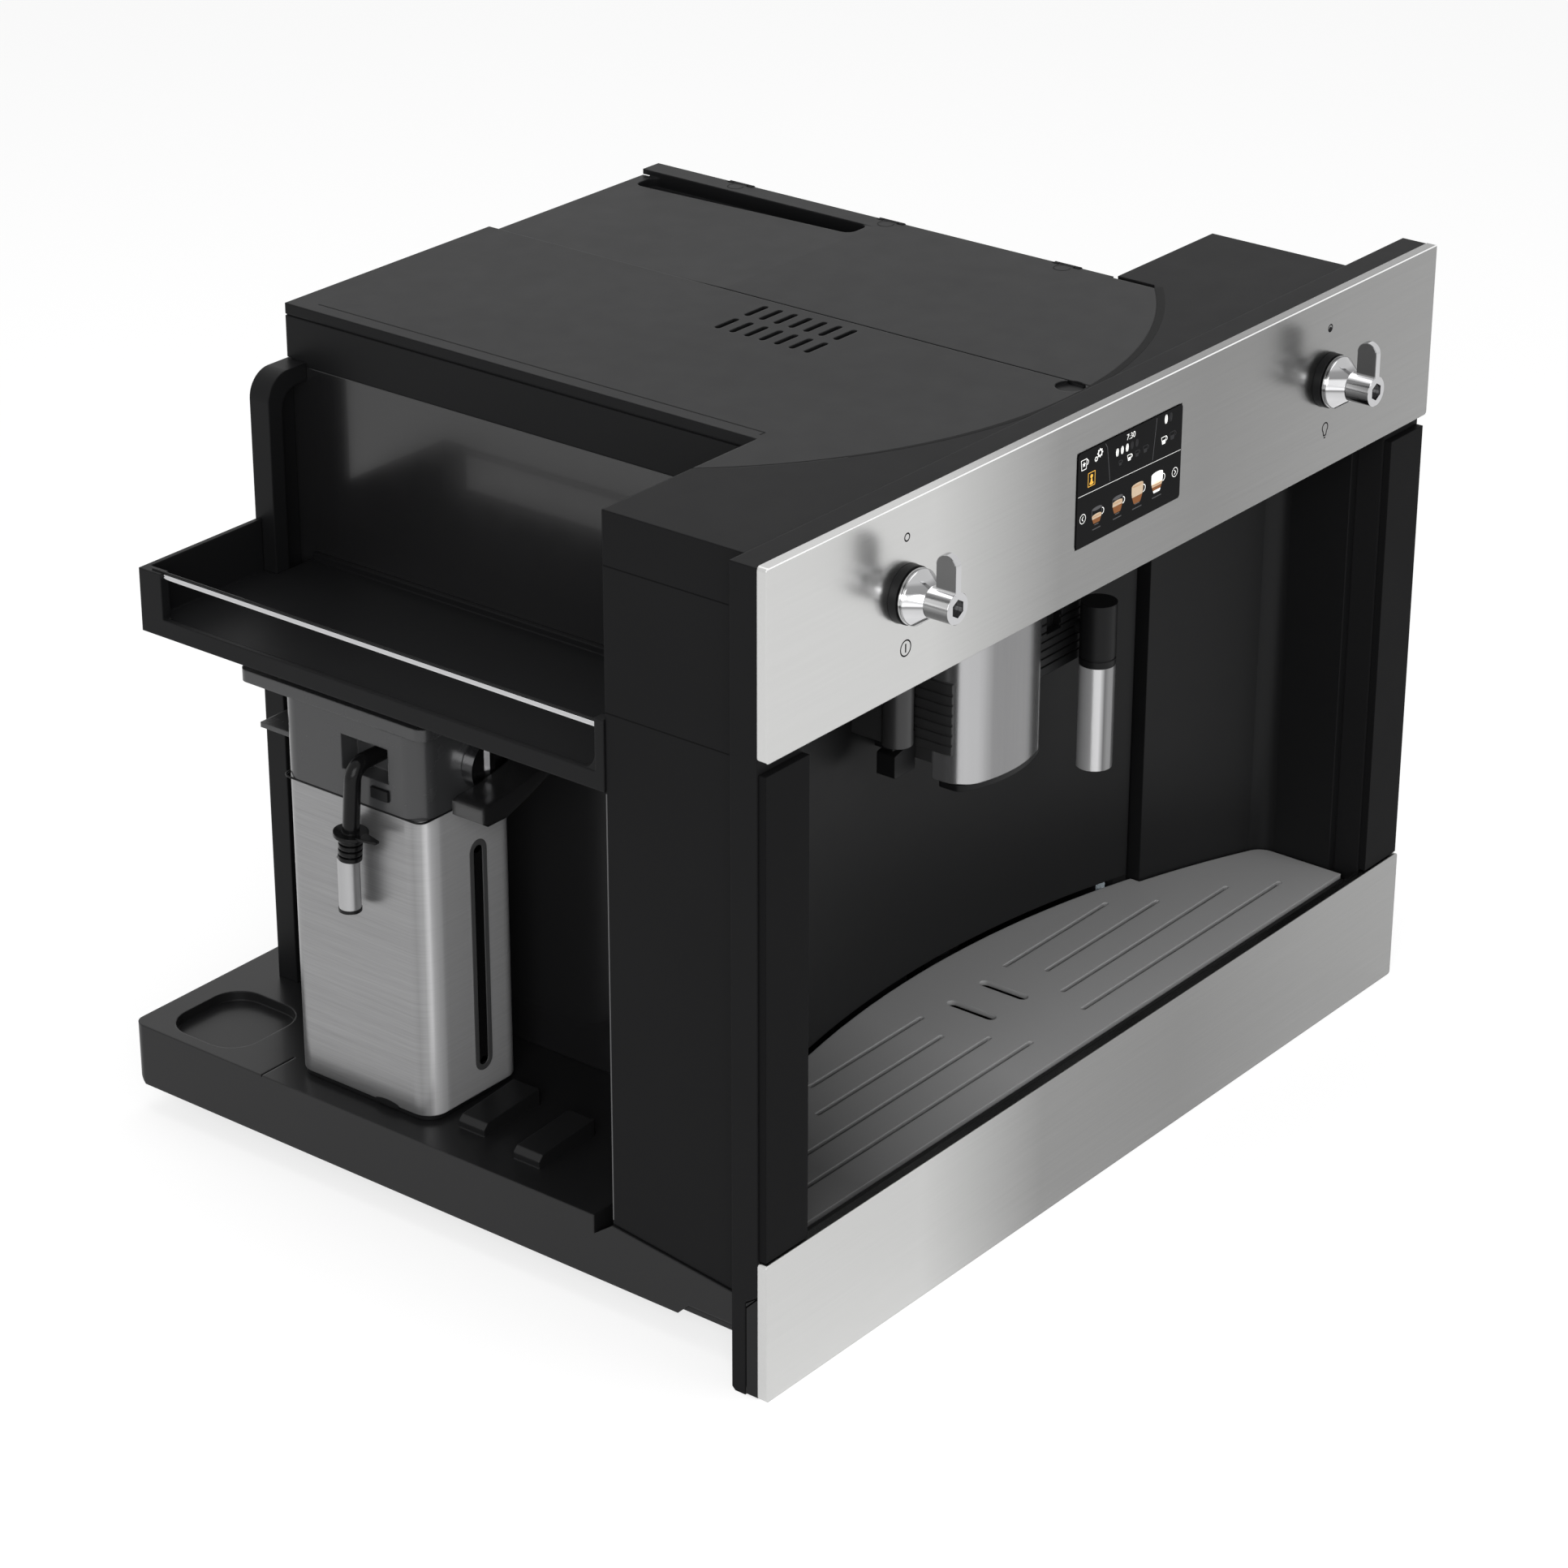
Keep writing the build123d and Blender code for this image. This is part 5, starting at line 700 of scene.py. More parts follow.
SPOUT_STEEL = Brushed(
    "spout_steel", (0.38, 0.38, 0.385), Grain.UPRIGHT, 0.24, 0.06, 0.86, 0.1, SPOUT_PAINTED_LIGHT, 0.0008, 0.5
)
NOZZLE_STEEL = Brushed(
    "nozzle_steel", (0.4, 0.4, 0.405), Grain.UPRIGHT, 0.24, 0.04, 0.5, 0.04, NOZZLE_PAINTED_REFLECTION, 0.0006, 0.8
)
POLISHED_STEEL = Polished("polished_steel", (0.52, 0.52, 0.53), 0.2, 0.9)
TIP_STEEL = Polished("tip_steel", (0.42, 0.42, 0.425), 0.36, 0.9)
CHROME = Polished("chrome", (0.56, 0.56, 0.57), 0.07)
# Near-white steel as a painted highlight along the panel's top edge.
HIGHLIGHT_STEEL = Polished("painted_highlight_steel", (0.95, 0.95, 0.95), 0.3)
# The knobs' chrome with painted reflections in bands.
CONE_CHROME = PaintedReflection("cone_chrome", (0.8, 0.8, 0.81), 0.06, 1.0, 0.39, 0.44, CONE_PAINTED_REFLECTION)
STEM_CHROME = PaintedReflection("stem_chrome", (0.8, 0.8, 0.81), 0.06, 1.0, 0.39, 0.44, STEM_PAINTED_REFLECTION)
# Dark chrome as painted shade on the knob socket's floor.
SOCKET_SHADE_CHROME = Polished("socket_painted_shade", (0.12, 0.12, 0.122), 0.2)
ZINC = Cast("zinc", (0.5, 0.51, 0.53), 120.0, 0.36)
ALUMINIUM = Cast("aluminium", (0.62, 0.63, 0.64), 420.0, 0.4)
BRASS = Cast("brass", (0.62, 0.46, 0.2), 320.0, 0.3)
DISPLAY = Screen("display", (0.0035, 0.0035, 0.0038))
BOARD = Circuit("board", (0.012, 0.09, 0.035))
CLEAR_PLASTIC = Clear("clear_plastic", (0.8, 0.85, 0.88))
NODE_FINISHES = {
    "spout_guide": GRIP_GREY,
    "spout_carriage": GRIP_GREY,
    "nozzle_tube": NOZZLE_STEEL,
    "front_frame": FRAME_BLACK,
    "module_shell": FRAME_BLACK,
    "pillars": DEEP_BLACK,
    "storage_base": BAY_BLACK,
    "storage_wall": WALL_GLOSS,
    "jug_handle": HANDLE_GLOSS,
}
FINISHES = (
    BLACK_HOUSING, BLACK_TRIM, BLACK_GLOSS, PAINTED_STEEL, GREY_LID, GRILLE_GREY, LIGHT_PLASTIC, ORANGE_FLOAT,
    PANEL_STEEL, JUG_STEEL, SPOUT_STEEL, POLISHED_STEEL, CHROME, ZINC, ALUMINIUM, BRASS, DISPLAY, BOARD, CLEAR_PLASTIC,
)
INK_WHITE = Lit("ink_white", (0.88, 0.88, 0.86), 0.75)
INK_GREY = Lit("ink_grey", (0.10, 0.10, 0.105), 0.35)
INK_DIM = Lit("ink_dim", (0.035, 0.035, 0.037), 0.2)
INK_AMBER = Lit("ink_amber", (0.75, 0.42, 0.07), 0.8)
INK_COFFEE = Lit("ink_coffee", (0.2, 0.08, 0.03), 0.7)
INK_MILK = Lit("ink_milk", (0.54, 0.42, 0.3), 0.6)
INK_MARK = Lit("ink_mark", (0.01, 0.01, 0.011), 0.0)
# Near-black ink for seams and marks, and for painted shade in gaps and grooves.
INK_SEAM_AND_SHADE = Lit("ink_seam_and_shade", (0.004, 0.004, 0.0042), 0.0)


class Bench:
    """Flat and small pieces made in a level plane, u to the right, v up and the front towards the viewer."""

    def __init__(self, thickness: float) -> None:
        """Starts an empty bench.

        Args:
            thickness: the plate thickness of what is made on it, in millimetres.
        """
        self.thickness = thickness
        self.parts: list[Piece] = []

    def middle(self, u: float, v: float) -> Place:
        """The middle of a plate over a point, in metres."""
        return (u * MM, v * MM, self.thickness * MM / 2)

    def keep(self, scale: Place = NO_STRETCH) -> None:
        """Scales the new piece, applies its place and keeps it.

        Args:
            scale: its scale on each axis.
        """
        made = bpy.context.active_object
        made.scale = scale
        apply_place()
        self.parts.append(made)

    def disc(self, u: float, v: float, radius: float, squash: float = 1.0) -> None:
        """A round or oval plate.

        Args:
            u: its centre to the right.
            v: its centre upwards.
            radius: its half height.
            squash: its width as a share of its height.
        """
        clear_choice()
        bpy.ops.mesh.primitive_cylinder_add(
            vertices=DISC_SIDES, radius=radius * MM, depth=self.thickness * MM, location=self.middle(u, v)
        )
        self.keep((squash, 1.0, 1.0))

    def ring(self, u: float, v: float, radius: float, width: float) -> None:
        """A flat ring.

        Args:
            u: its centre to the right.
            v: its centre upwards.
            radius: its middle radius.
            width: the width of its line.
        """
        clear_choice()
        bpy.ops.mesh.primitive_torus_add(
            major_radius=radius * MM,
            minor_radius=width * MM / 2,
            major_segments=RING_STEPS,
            minor_segments=RING_SIDES,
            location=self.middle(u, v),
        )
        self.keep((1.0, 1.0, min(1.0, self.thickness / width)))

    def bar(self, start: Point, end: Point, width: float) -> None:
        """A straight bar.

        Args:
            start: one end of its middle line.
            end: the other end.
            width: its width.
        """
        length = math.hypot(end[0] - start[0], end[1] - start[1])
        turn = math.atan2(end[1] - start[1], end[0] - start[0])
        middle = self.middle((start[0] + end[0]) / 2, (start[1] + end[1]) / 2)
        clear_choice()
        bpy.ops.mesh.primitive_cube_add(size=1.0, location=middle, rotation=(0.0, 0.0, turn))
        self.keep((length * MM, width * MM, self.thickness * MM))

    def bars(self, width: float, spans: Sequence[Span], u: float = 0.0, v: float = 0.0) -> None:
        """Several straight bars.

        Args:
            width: the width of each.
            spans: both ends of each, as two pairs of distances from a middle.
            u: the middle to the right.
            v: the middle upwards.
        """
        for left, low, right, high in spans:
            self.bar((u + left, v + low), (u + right, v + high), width)

    def arc(self, u: float, v: float, radius: float, width: float, start: float, end: float) -> None:
        """A bent bar, spun in edit mode from one end.

        Args:
            u: the arc's centre to the right.
            v: the arc's centre upwards.
            radius: the arc's middle radius.
            width: the bar's width.
            start: the first angle in degrees.
            end: the last angle in degrees.
        """
        clear_choice()
        bpy.ops.mesh.primitive_plane_add(size=1.0, location=(0.0, 0.0, 0.0), rotation=(math.pi / 2, 0.0, 0.0))
        made = bpy.context.active_object
        made.scale = (width * MM, self.thickness * MM, 1.0)
        made.location = self.middle(radius, 0.0)
        apply_place()
        bpy.ops.object.mode_set(mode="EDIT")
        bpy.ops.mesh.select_all(action="SELECT")
        bpy.ops.mesh.spin(steps=ARC_STEPS, angle=math.radians(start - end), center=(0, 0, 0), axis=(0, 0, 1))
        weld()
        made.rotation_euler = (0.0, 0.0, math.radians(start))
        made.location = (u * MM, v * MM, 0.0)
        self.keep()

    def taper(self, u: float, v: float, low: float, high: float, height: float) -> None:
        """A plate of another width at its top than at its foot.

        Args:
            u: its centre to the right.
            v: its centre upwards.
            low: its width at the foot.
            high: its width at the top.
            height: its height.
        """
        clear_choice()
        bpy.ops.mesh.primitive_cube_add(size=1.0, location=(0.0, 0.0, 0.0))
        made = bpy.context.active_object
        made.scale = (high * MM, height * MM, self.thickness * MM)
        made.location = self.middle(u, v)
        apply_place()
        pick_vertices(made, lambda place: place.y < v * MM)
        bpy.ops.object.mode_set(mode="EDIT")
        bpy.ops.transform.resize(value=(low / high, 1.0, 1.0), center_override=(u * MM, v * MM, 0.0))
        bpy.ops.object.mode_set(mode="OBJECT")
        self.keep()

    def sheet(self, points: Outline, bend: Bend = Bend.STRAIGHT) -> None:
        """A plate cut to a closed outline.

        Args:
            points: the outline's points in millimetres.
            bend: straight sides, or a smooth outline through the sides' middles.
        """
        steps = 1 if bend is Bend.STRAIGHT else SHEET_STEPS
        made = curve([(*point, 0.0) for point in points], bend, True, steps)
        made.data.dimensions = "2D"
        made.data.fill_mode = "BOTH"
        made.data.extrude = self.thickness * MM / 2
        bpy.ops.object.convert(target="MESH")
        made.location = self.middle(0.0, 0.0)
        self.keep()

    def words(self, u: float, v: float, size: float, figures: str) -> None:
        """Clock figures or another plain number.

        Args:
            u: their middle to the right.
            v: their middle upwards.
            size: the type size.
            figures: what they say.
        """
        clear_choice()
        bpy.ops.object.text_add(location=(u * MM, v * MM, 0.0))
        made = bpy.context.active_object
        made.data.body = figures
        made.data.size = size * MM
        made.data.extrude = self.thickness * MM / 2
        made.data.align_x = "CENTER"
        made.data.align_y = "CENTER"
        bpy.ops.object.convert(target="MESH")
        self.keep()

    def finish(self, name: str, body: str, finish: Finish, slot: str, origin: Place, facing: Facing) -> Piece:
        """Joins what was made and puts it on the machine.

        Args:
            name: the piece's name.
            body: the body that it rides on.
            finish: its finish.
            slot: not used.
            origin: the place of the bench's origin on the machine, in millimetres.
            facing: the side that it lies on.

        Returns:
            The finished piece.
        """
        piece = join(self.parts, name)
        self.parts = []
        piece.rotation_euler = facing.value
        piece.location = Vector(origin) * MM
        apply_place()
        return settle(piece, body, finish)


def clear_choice() -> None:
    """Deselects everything, so that an operator acts on the new piece alone."""
    bpy.ops.object.select_all(action="DESELECT")


def choose(piece: Piece) -> None:
    """Selects one piece and makes it the active one.

    Args:
        piece: the piece.
    """
    clear_choice()
    piece.select_set(True)
    bpy.context.view_layer.objects.active = piece


def apply_place() -> None:
    """Applies the chosen piece's place, turn and scale to its mesh."""
    bpy.ops.object.transform_apply(location=True, rotation=True, scale=True)


def weld() -> None:
    """Merges the vertices that meet, turns all faces outwards and leaves edit mode."""
    bpy.ops.mesh.select_all(action="SELECT")
    bpy.ops.mesh.remove_doubles(threshold=MERGE_DISTANCE)
    bpy.ops.mesh.normals_make_consistent(inside=False)
    bpy.ops.object.mode_set(mode="OBJECT")


def named(piece: Piece, name: str) -> Piece:
    """Gives a piece and its mesh one name.

    Args:
        piece: the piece.
        name: the name.

    Returns:
        The same piece.
    """
    piece.name = name
    piece.data.name = name
    return piece


def join(parts: list[Piece], name: str) -> Piece:
    """Joins parts into one piece, which stays the active one.

    Args:
        parts: the parts, at least one.
        name: the piece's name.

    Returns:
        The joined piece.
    """
    choose(parts[0])
    for part in parts[1:]:
        part.select_set(True)
    if len(parts) > 1:
        bpy.ops.object.join()
    return named(bpy.context.active_object, name)


def pick_vertices(piece: Piece, test: Callable[[Vector], bool]) -> None:
    """Selects the vertices whose place passes a test, ready for edit mode.

    Args:
        piece: the piece.
        test: what says whether a place, in metres, is picked.
    """
    choose(piece)
    bpy.ops.object.mode_set(mode="EDIT")
    bpy.ops.mesh.select_mode(type="VERT")
    bpy.ops.mesh.select_all(action="DESELECT")
    bpy.ops.object.mode_set(mode="OBJECT")
    for vertex in piece.data.vertices:
        vertex.select = test(vertex.co)


def settle(piece: Piece, body: str, finish: Finish) -> Piece:
    """Gives a piece its looks and its place in the machine.

    Args:
        piece: the piece.
        body: the body that it rides on.
        finish: its finish.

    Returns:
        The same piece.
    """
    piece.data.materials.clear()
    piece.data.materials.append(finish.material())
    choose(piece)
    bpy.ops.object.shade_smooth_by_angle(angle=SMOOTH_ANGLE)
    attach(piece, body)
    LOG.info("piece %s rides on %s", piece.name, body)
    return piece


def alter(piece: Piece, kind: str, settings: dict[str, Any]) -> None:
    """Adds a modifier to a piece and applies it.

    Args:
        piece: the piece.
        kind: the modifier's type.
        settings: the modifier's settings.
    """
    choose(piece)
    modifier = piece.modifiers.new(kind.lower(), kind)
    for name, setting in settings.items():
        setattr(modifier, name, setting)
    bpy.ops.object.modifier_apply(modifier=modifier.name)


def bevelled(piece: Piece, width: float) -> None:
    """Rounds a piece's edges by a width in millimetres."""
    alter(piece, "BEVEL", {"width": width * MM, "segments": BEVEL_STEPS, "limit_method": "ANGLE"})


def cut(piece: Piece, tool: Piece) -> None:
    """Cuts a tool's shape out of a piece and takes the tool away.

    Args:
        piece: the piece.
        tool: the shape to cut out.
    """
    alter(piece, "BOOLEAN", {"object": tool, "operation": "DIFFERENCE"})
    choose(tool)
    bpy.ops.object.delete()


def curve(points: Sequence[Place], bend: Bend, closed: bool, steps: int) -> Piece:
    """A bare curve.

    Args:
        points: its control points in millimetres.
        bend: straight spans or smooth ones.
        closed: whether it is a loop.
        steps: the steps from one control point to the next.

    Returns:
        The curve, still without thickness.
    """
    clear_choice()
    bpy.ops.curve.primitive_nurbs_path_add()
    made = bpy.context.active_object
    made.data.splines.clear()
    spline = made.data.splines.new("NURBS")
    spline.points.add(len(points) - 1)
    for point, place in zip(spline.points, points):
        point.co = (*(part * MM for part in place), 1.0)
    spline.order_u = bend.value
    spline.use_endpoint_u = not closed
    spline.use_cyclic_u = closed
    spline.resolution_u = steps
    return made


def rounded_loop(left: float, right: float, front: float, back: float, radius: float, level: float) -> list[Place]:
    """The control points of a level rounded rectangle, for a smooth closed bar.

    Args:
        left: its lowest X in millimetres.
        right: its highest X.
        front: its lowest Y.
        back: its highest Y.
        radius: how far from each corner the bend begins.
        level: its height.

    Returns:
        Three points at each corner, the middle one on the corner itself.
    """
    corners = (
        (left, front, 0, 1, 1, 0),
        (right, front, -1, 0, 0, 1),
        (right, back, 0, -1, -1, 0),
        (left, back, 1, 0, 0, -1),
    )
    points = []
    for x, y, in_x, in_y, out_x, out_y in corners:
        points.append((x + in_x * radius, y + in_y * radius, level))
        points.append((x, y, level))
        points.append((x + out_x * radius, y + out_y * radius, level))
    return points


def turned(profile: Outline, centre: Place, axis: Place, name: str, sides: int = TURNED_SIDES) -> Piece:
    """A turned piece: a circle extruded and resized step by step, as on a lathe.

    Args:
        profile: radius and place along the axis of each step, in millimetres.
        centre: the axis's origin in millimetres.
        axis: the axis's direction.
        name: the piece's name.
        sides: how many sides it has round its axis.

    Returns:
        The turned piece, closed at both ends.
    """
    clear_choice()
    radius, place = profile[0]
    bpy.ops.mesh.primitive_circle_add(
        vertices=sides, radius=radius * MM, fill_type="NGON", location=(0.0, 0.0, place * MM)
    )
    made = bpy.context.active_object
    apply_place()
    bpy.ops.object.mode_set(mode="EDIT")
    bpy.ops.mesh.select_all(action="SELECT")
    for next_radius, next_place in profile[1:]:
        step = (next_place - place) * MM
        bpy.ops.mesh.extrude_region_move(TRANSFORM_OT_translate={"value": (0.0, 0.0, step)})
        share = next_radius / radius
        bpy.ops.transform.resize(value=(share, share, 1.0), center_override=(0.0, 0.0, next_place * MM))
        radius, place = next_radius, next_place
    weld()
    made.rotation_euler = Vector(UPWARDS).rotation_difference(Vector(axis)).to_euler()
    made.location = Vector(centre) * MM
    apply_place()
    return named(made, name)


def rod(points: Sequence[Place], radius: float, name: str, closed: bool = False) -> Piece:
    """A round bar along a smooth path.

    Args:
        points: the path's control points in millimetres.
        radius: the bar's radius in millimetres.
        name: the piece's name.
        closed: whether the path is a loop.

    Returns:
        The bar as a mesh.
    """
    made = curve(points, Bend.SMOOTH, closed, ROD_STEPS)
    made.data.bevel_depth = radius * MM
    made.data.bevel_resolution = ROD_ROUNDNESS
    made.data.use_fill_caps = not closed
    bpy.ops.object.convert(target="MESH")
    apply_place()
    return named(made, name)


@dataclass
class PanelMarks:
    """The four printed marks above and below the knobs."""

    panel_front: float = -22.0
    proud: float = 0.02
    left_x: float = -189.0
    right_x: float = 189.4
    above_z: float = 433.2
    below_z: float = 375.1
    ring_radius: float = 1.95
    line: float = 0.8
    bulb_radius: float = 2.7
    bulb_lines: tuple[Span, ...] = (
        (-1.7, -2.1, -1.2, -4.4), (1.7, -2.1, 1.2, -4.4), (-1.3, -4.5, 1.3, -4.5), (-0.8, -5.8, 0.8, -5.8),
    )

    def build(self) -> None:
        """Prints the marks on the steel."""
        bench = Bench(PRINT_DEPTH)
        bench.ring(self.left_x, self.above_z, self.ring_radius, self.line)
        bench.ring(self.left_x, self.below_z, self.ring_radius * 2.1, self.line)
        bench.bar((self.left_x, self.below_z - 2.3), (self.left_x, self.below_z + 2.3), self.line * 1.2)
        bench.ring(self.right_x, self.above_z, self.ring_radius, self.line)
        bench.disc(self.right_x, self.above_z - 0.6, self.ring_radius * 0.7)
        self.bulb(bench)
        place = (0.0, self.panel_front + self.proud, 0.0)
        bench.finish("panel_marks", "machine", INK_MARK, "black_trim", place, Facing.FRONT)

    def bulb(self, bench: Bench) -> None:
        """Draws the lamp, a round bulb on a ribbed cap.

        Args:
            bench: the bench that the marks are made on.
        """
        x, z = self.right_x, self.below_z + 1.0
        bench.arc(x, z, self.bulb_radius, self.line, -50.0, 230.0)
        bench.bars(self.line, self.bulb_lines, x, z)


@dataclass
class ScreenFigures:
    """The figures that the display shows: clock, strength, cup size, settings and four drinks."""

    left: float = -46.75
    low: float = 380.25
    width: float = 93.5
    height: float = 51.9
    glass_front: float = -22.6
    proud: float = 0.01
    split: float = 27.6
    thin: float = 0.35
    drinks: tuple[Place, ...] = ((17.7, 9.0, 9.0), (36.2, 8.9, 9.2), (54.0, 8.9, 10.4), (71.9, 9.4, 10.4))
    coffee_shares: tuple[Point, ...] = ((0.1, 0.38), (0.08, 0.5), (0.04, 0.4), (0.17, 0.36))
    milk_shares: tuple[Point, ...] = ((0.36, 0.56), (0.48, 0.72), (0.41, 1.0), (0.34, 0.5))
    lit_strength: tuple[Place, ...] = ((34.5, 42.8, 2.2), (38.9, 42.8, 2.2), (43.3, 42.8, 2.2))
    unlit_strength: tuple[Place, ...] = ((47.7, 42.8, 2.2), (52.1, 42.8, 2.2))
    unlit_cups: tuple[Place, ...] = ((37.5, 36.2, 3.0), (52.5, 36.8, 3.6), (60.0, 37.0, 4.2))
    star_cup_lines: tuple[Span, ...] = (
        (-2.8, 2.6, 2.2, 2.6), (-2.8, 2.6, -2.2, -2.8), (2.2, 2.6, 1.7, -2.8), (-2.2, -2.8, 1.7, -2.8),
    )
    star_reach: float = 1.3

    def build(self) -> None:
        """Lights every figure, one ink at a time."""
        for name, finish, draw in (
            ("screen_white", INK_WHITE, self.white),
            ("screen_grey", INK_GREY, self.grey),
            ("screen_dim", INK_DIM, self.dim),
            ("screen_amber", INK_AMBER, self.amber),
            ("screen_coffee", INK_COFFEE, self.coffee),
            ("screen_milk", INK_MILK, self.milk),
        ):
            bench = Bench(LIGHT_DEPTH)
            draw(bench)
            place = (self.left, self.glass_front + self.proud, self.low)
            bench.finish(name, "machine", finish, "display", place, Facing.FRONT)

    def white(self, bench: Bench) -> None:
        """Draws the clock, the chosen beans and cups, the settings, the arrows and the milk foam.

        Args:
            bench: the bench of the white ink.
        """
        bench.words(46.5, 48.2, 4.6, "7:30")
        for u, v, size in self.lit_strength:
            self.bean(bench, u, v, size)
        self.cup(bench, 45.6, 36.7, 3.6)
        self.star_cup(bench, 5.2, 45.2)
        self.gear(bench, 19.0, 47.4, 2.2)
        self.gear(bench, 15.7, 45.0, 1.3)
        self.bean(bench, 78.3, 47.8, 2.5)
        self.cup(bench, 76.8, 36.6, 4.4)
        bench.bar((0.6, self.split + 0.9), (self.width - 0.6, self.split - 0.9), 0.22)
        for u, way in ((5.2, -1.0), (88.3, 1.0)):
            bench.ring(u, 15.6, 2.5, 0.36)
            for level in (16.9, 14.3):
                bench.bar((u - way * 0.5, level), (u + way * 0.75, 15.6), 0.4)
        for u, v, size in self.drinks:
            bench.arc(u + size * 0.5, v + size * 0.66, size * 0.19, 0.45, -90.0, 90.0)
        last = self.drinks[-1]
        self.layer(bench, last, 0.02, 0.16)
        self.layer(bench, last, 0.48, 1.0)
        bench.disc(last[0], last[1] + last[2], last[2] * 0.12, 4.1)

    def grey(self, bench: Bench) -> None:
        """Draws the separators, the lines under the drinks and the rims of the two small cups.

        Args:
            bench: the bench of the grey ink.
        """
        bend, top = self.height - 3.6, self.height - 1.0
        spans = ((28.6, self.split + 1.4, 25.4, bend), (25.4, bend, 23.6, top), (67.0, self.split + 1.0, 69.8, top))
        bench.bars(0.3, spans)
        for u, v, size in self.drinks:
            bench.bars(0.5, ((-size * 0.4, -2.2, size * 0.4, -2.2), (-size * 0.2, 0.1, size * 0.2, 0.1)), u, v)
        for u, v, size in self.drinks[:2]:
            for side in (-size * 0.49, size * 0.49):
                bench.bar((u + side, v + size * 0.6), (u + side, v + size * 0.97), self.thin)
            bench.disc(u, v + size * 0.97, size * 0.11, 4.4)

    def dim(self, bench: Bench) -> None:
        """Draws the beans and cups that aren't chosen.

        Args:
            bench: the bench of the dim ink.
        """
        for u, v, size in self.unlit_strength:
            self.bean(bench, u, v, size)
        for u, v, size in self.unlit_cups:
            self.cup(bench, u, v, size)
        self.bean(bench, 82.6, 47.8, 2.5)
        self.cup(bench, 84.6, 37.0, 4.8)

    def amber(self, bench: Bench) -> None:
        """Draws the frame with a plain standing figure, the mark for a user's own drinks.

        Args:
            bench: the bench of the amber ink.
        """
        u, v = 12.0, 35.4
        bench.bars(0.36, ((-3.0, -3.7, 3.0, -3.7), (-3.0, 3.7, 3.0, 3.7)), u, v)
        bench.bars(0.36, ((-3.0, -3.8, -3.0, 3.8), (3.0, -3.8, 3.0, 3.8)), u, v)
        bench.disc(u, v + 1.5, 1.1)
        bench.taper(u, v - 0.9, 2.0, 1.2, 2.4)
        bench.disc(u, v - 2.3, 0.8, 2.2)

    def coffee(self, bench: Bench) -> None:
        """Draws the coffee in the four drinks."""
        for drink, (low, high) in zip(self.drinks, self.coffee_shares):
            self.layer(bench, drink, low, high)

    def milk(self, bench: Bench) -> None:
        """Draws the milk and the crema over the coffee.

        Args:
            bench: the bench of the milk ink.
        """
        for drink, (low, high) in zip(self.drinks, self.milk_shares):
            self.layer(bench, drink, low, high)
            u, v, size = drink
            bench.disc(u, v + size * high, size * 0.1, self.half_width(high) * 9.6)

    def half_width(self, share: float) -> float:
        """A glass's half width at a share of its height, as a share of its size."""
        return 0.25 + 0.25 * math.sin(min(1.0, share * 1.35) * math.pi / 2)

    def layer(self, bench: Bench, drink: Place, low: float, high: float) -> None:
        """Draws one layer of a drink.

        Args:
            bench: the bench of its ink.
            drink: the drink's middle, foot height and size.
            low: the layer's foot as a share of the glass's height.
            high: the layer's top as a share of it.
        """
        u, v, size = drink
        shares = [low + (high - low) * step / LAYER_STEPS for step in range(LAYER_STEPS + 1)]
        right = [(u + size * self.half_width(share), v + size * share) for share in shares]
        left = [(u - size * self.half_width(share), v + size * share) for share in reversed(shares)]
        bench.sheet([*right, *left])

    def bean(self, bench: Bench, u: float, v: float, size: float) -> None:
        """Draws a coffee bean in two halves.

        Args:
            bench: the bench of its ink.
            u: its middle to the right.
            v: its middle upwards.
            size: its half height.
        """
        turns = [math.radians(-90.0 + step * 22.5) for step in range(9)]
        for side in (-1.0, 1.0):
            bench.sheet(
                [(u + side * (0.2 + math.cos(turn) * size * 0.45), v + math.sin(turn) * size) for turn in turns]
            )

    def cup(self, bench: Bench, u: float, v: float, size: float) -> None:
        """Draws a small half-filled cup with its handle.

        Args:
            bench: the bench of its ink.
            u: its middle to the right.
            v: its middle upwards.
            size: its width at the rim.
        """
        low, middle, top = v - size * 0.45, v + size * 0.05, v + size * 0.45
        foot, waist, rim = size * 0.3, size * 0.42, size * 0.5
        bench.sheet(((u - foot, low), (u + foot, low), (u + waist, middle), (u - waist, middle)))
        for side in (-1.0, 1.0):
            bench.bar((u + side * waist, middle), (u + side * rim, top), self.thin)
        bench.bar((u - rim, top), (u + rim, top), self.thin)
        bench.arc(u + rim, v + size * 0.12, size * 0.22, self.thin, -90.0, 90.0)

    def star_cup(self, bench: Bench, u: float, v: float) -> None:
        """Draws the cup outline with a star in it.

        Args:
            bench: the bench of its ink.
            u: its middle to the right.
            v: its middle upwards.
        """
        bench.bars(0.4, self.star_cup_lines, u, v)
        bench.arc(u + 2.3, v + 0.6, self.star_reach, 0.4, -90.0, 90.0)
        for number in range(5):
            angle = math.radians(90 + number * 72)
            tip = (u - 0.3 + math.cos(angle) * self.star_reach, v + math.sin(angle) * self.star_reach)
            bench.bar((u - 0.3, v), tip, 0.55)

    def gear(self, bench: Bench, u: float, v: float, radius: float) -> None:
        """Draws a gear wheel.

        Args:
            bench: the bench of its ink.
            u: its middle to the right.
            v: its middle upwards.
            radius: the radius at its teeth's feet.
        """
        bench.ring(u, v, radius * 0.72, radius * 0.34)
        for number in range(8):
            angle = math.radians(number * 45)
            inner, outer = (
                (u + math.cos(angle) * radius * share, v + math.sin(angle) * radius * share) for share in (0.8, 1.12)
            )
            bench.bar(inner, outer, radius * 0.34)


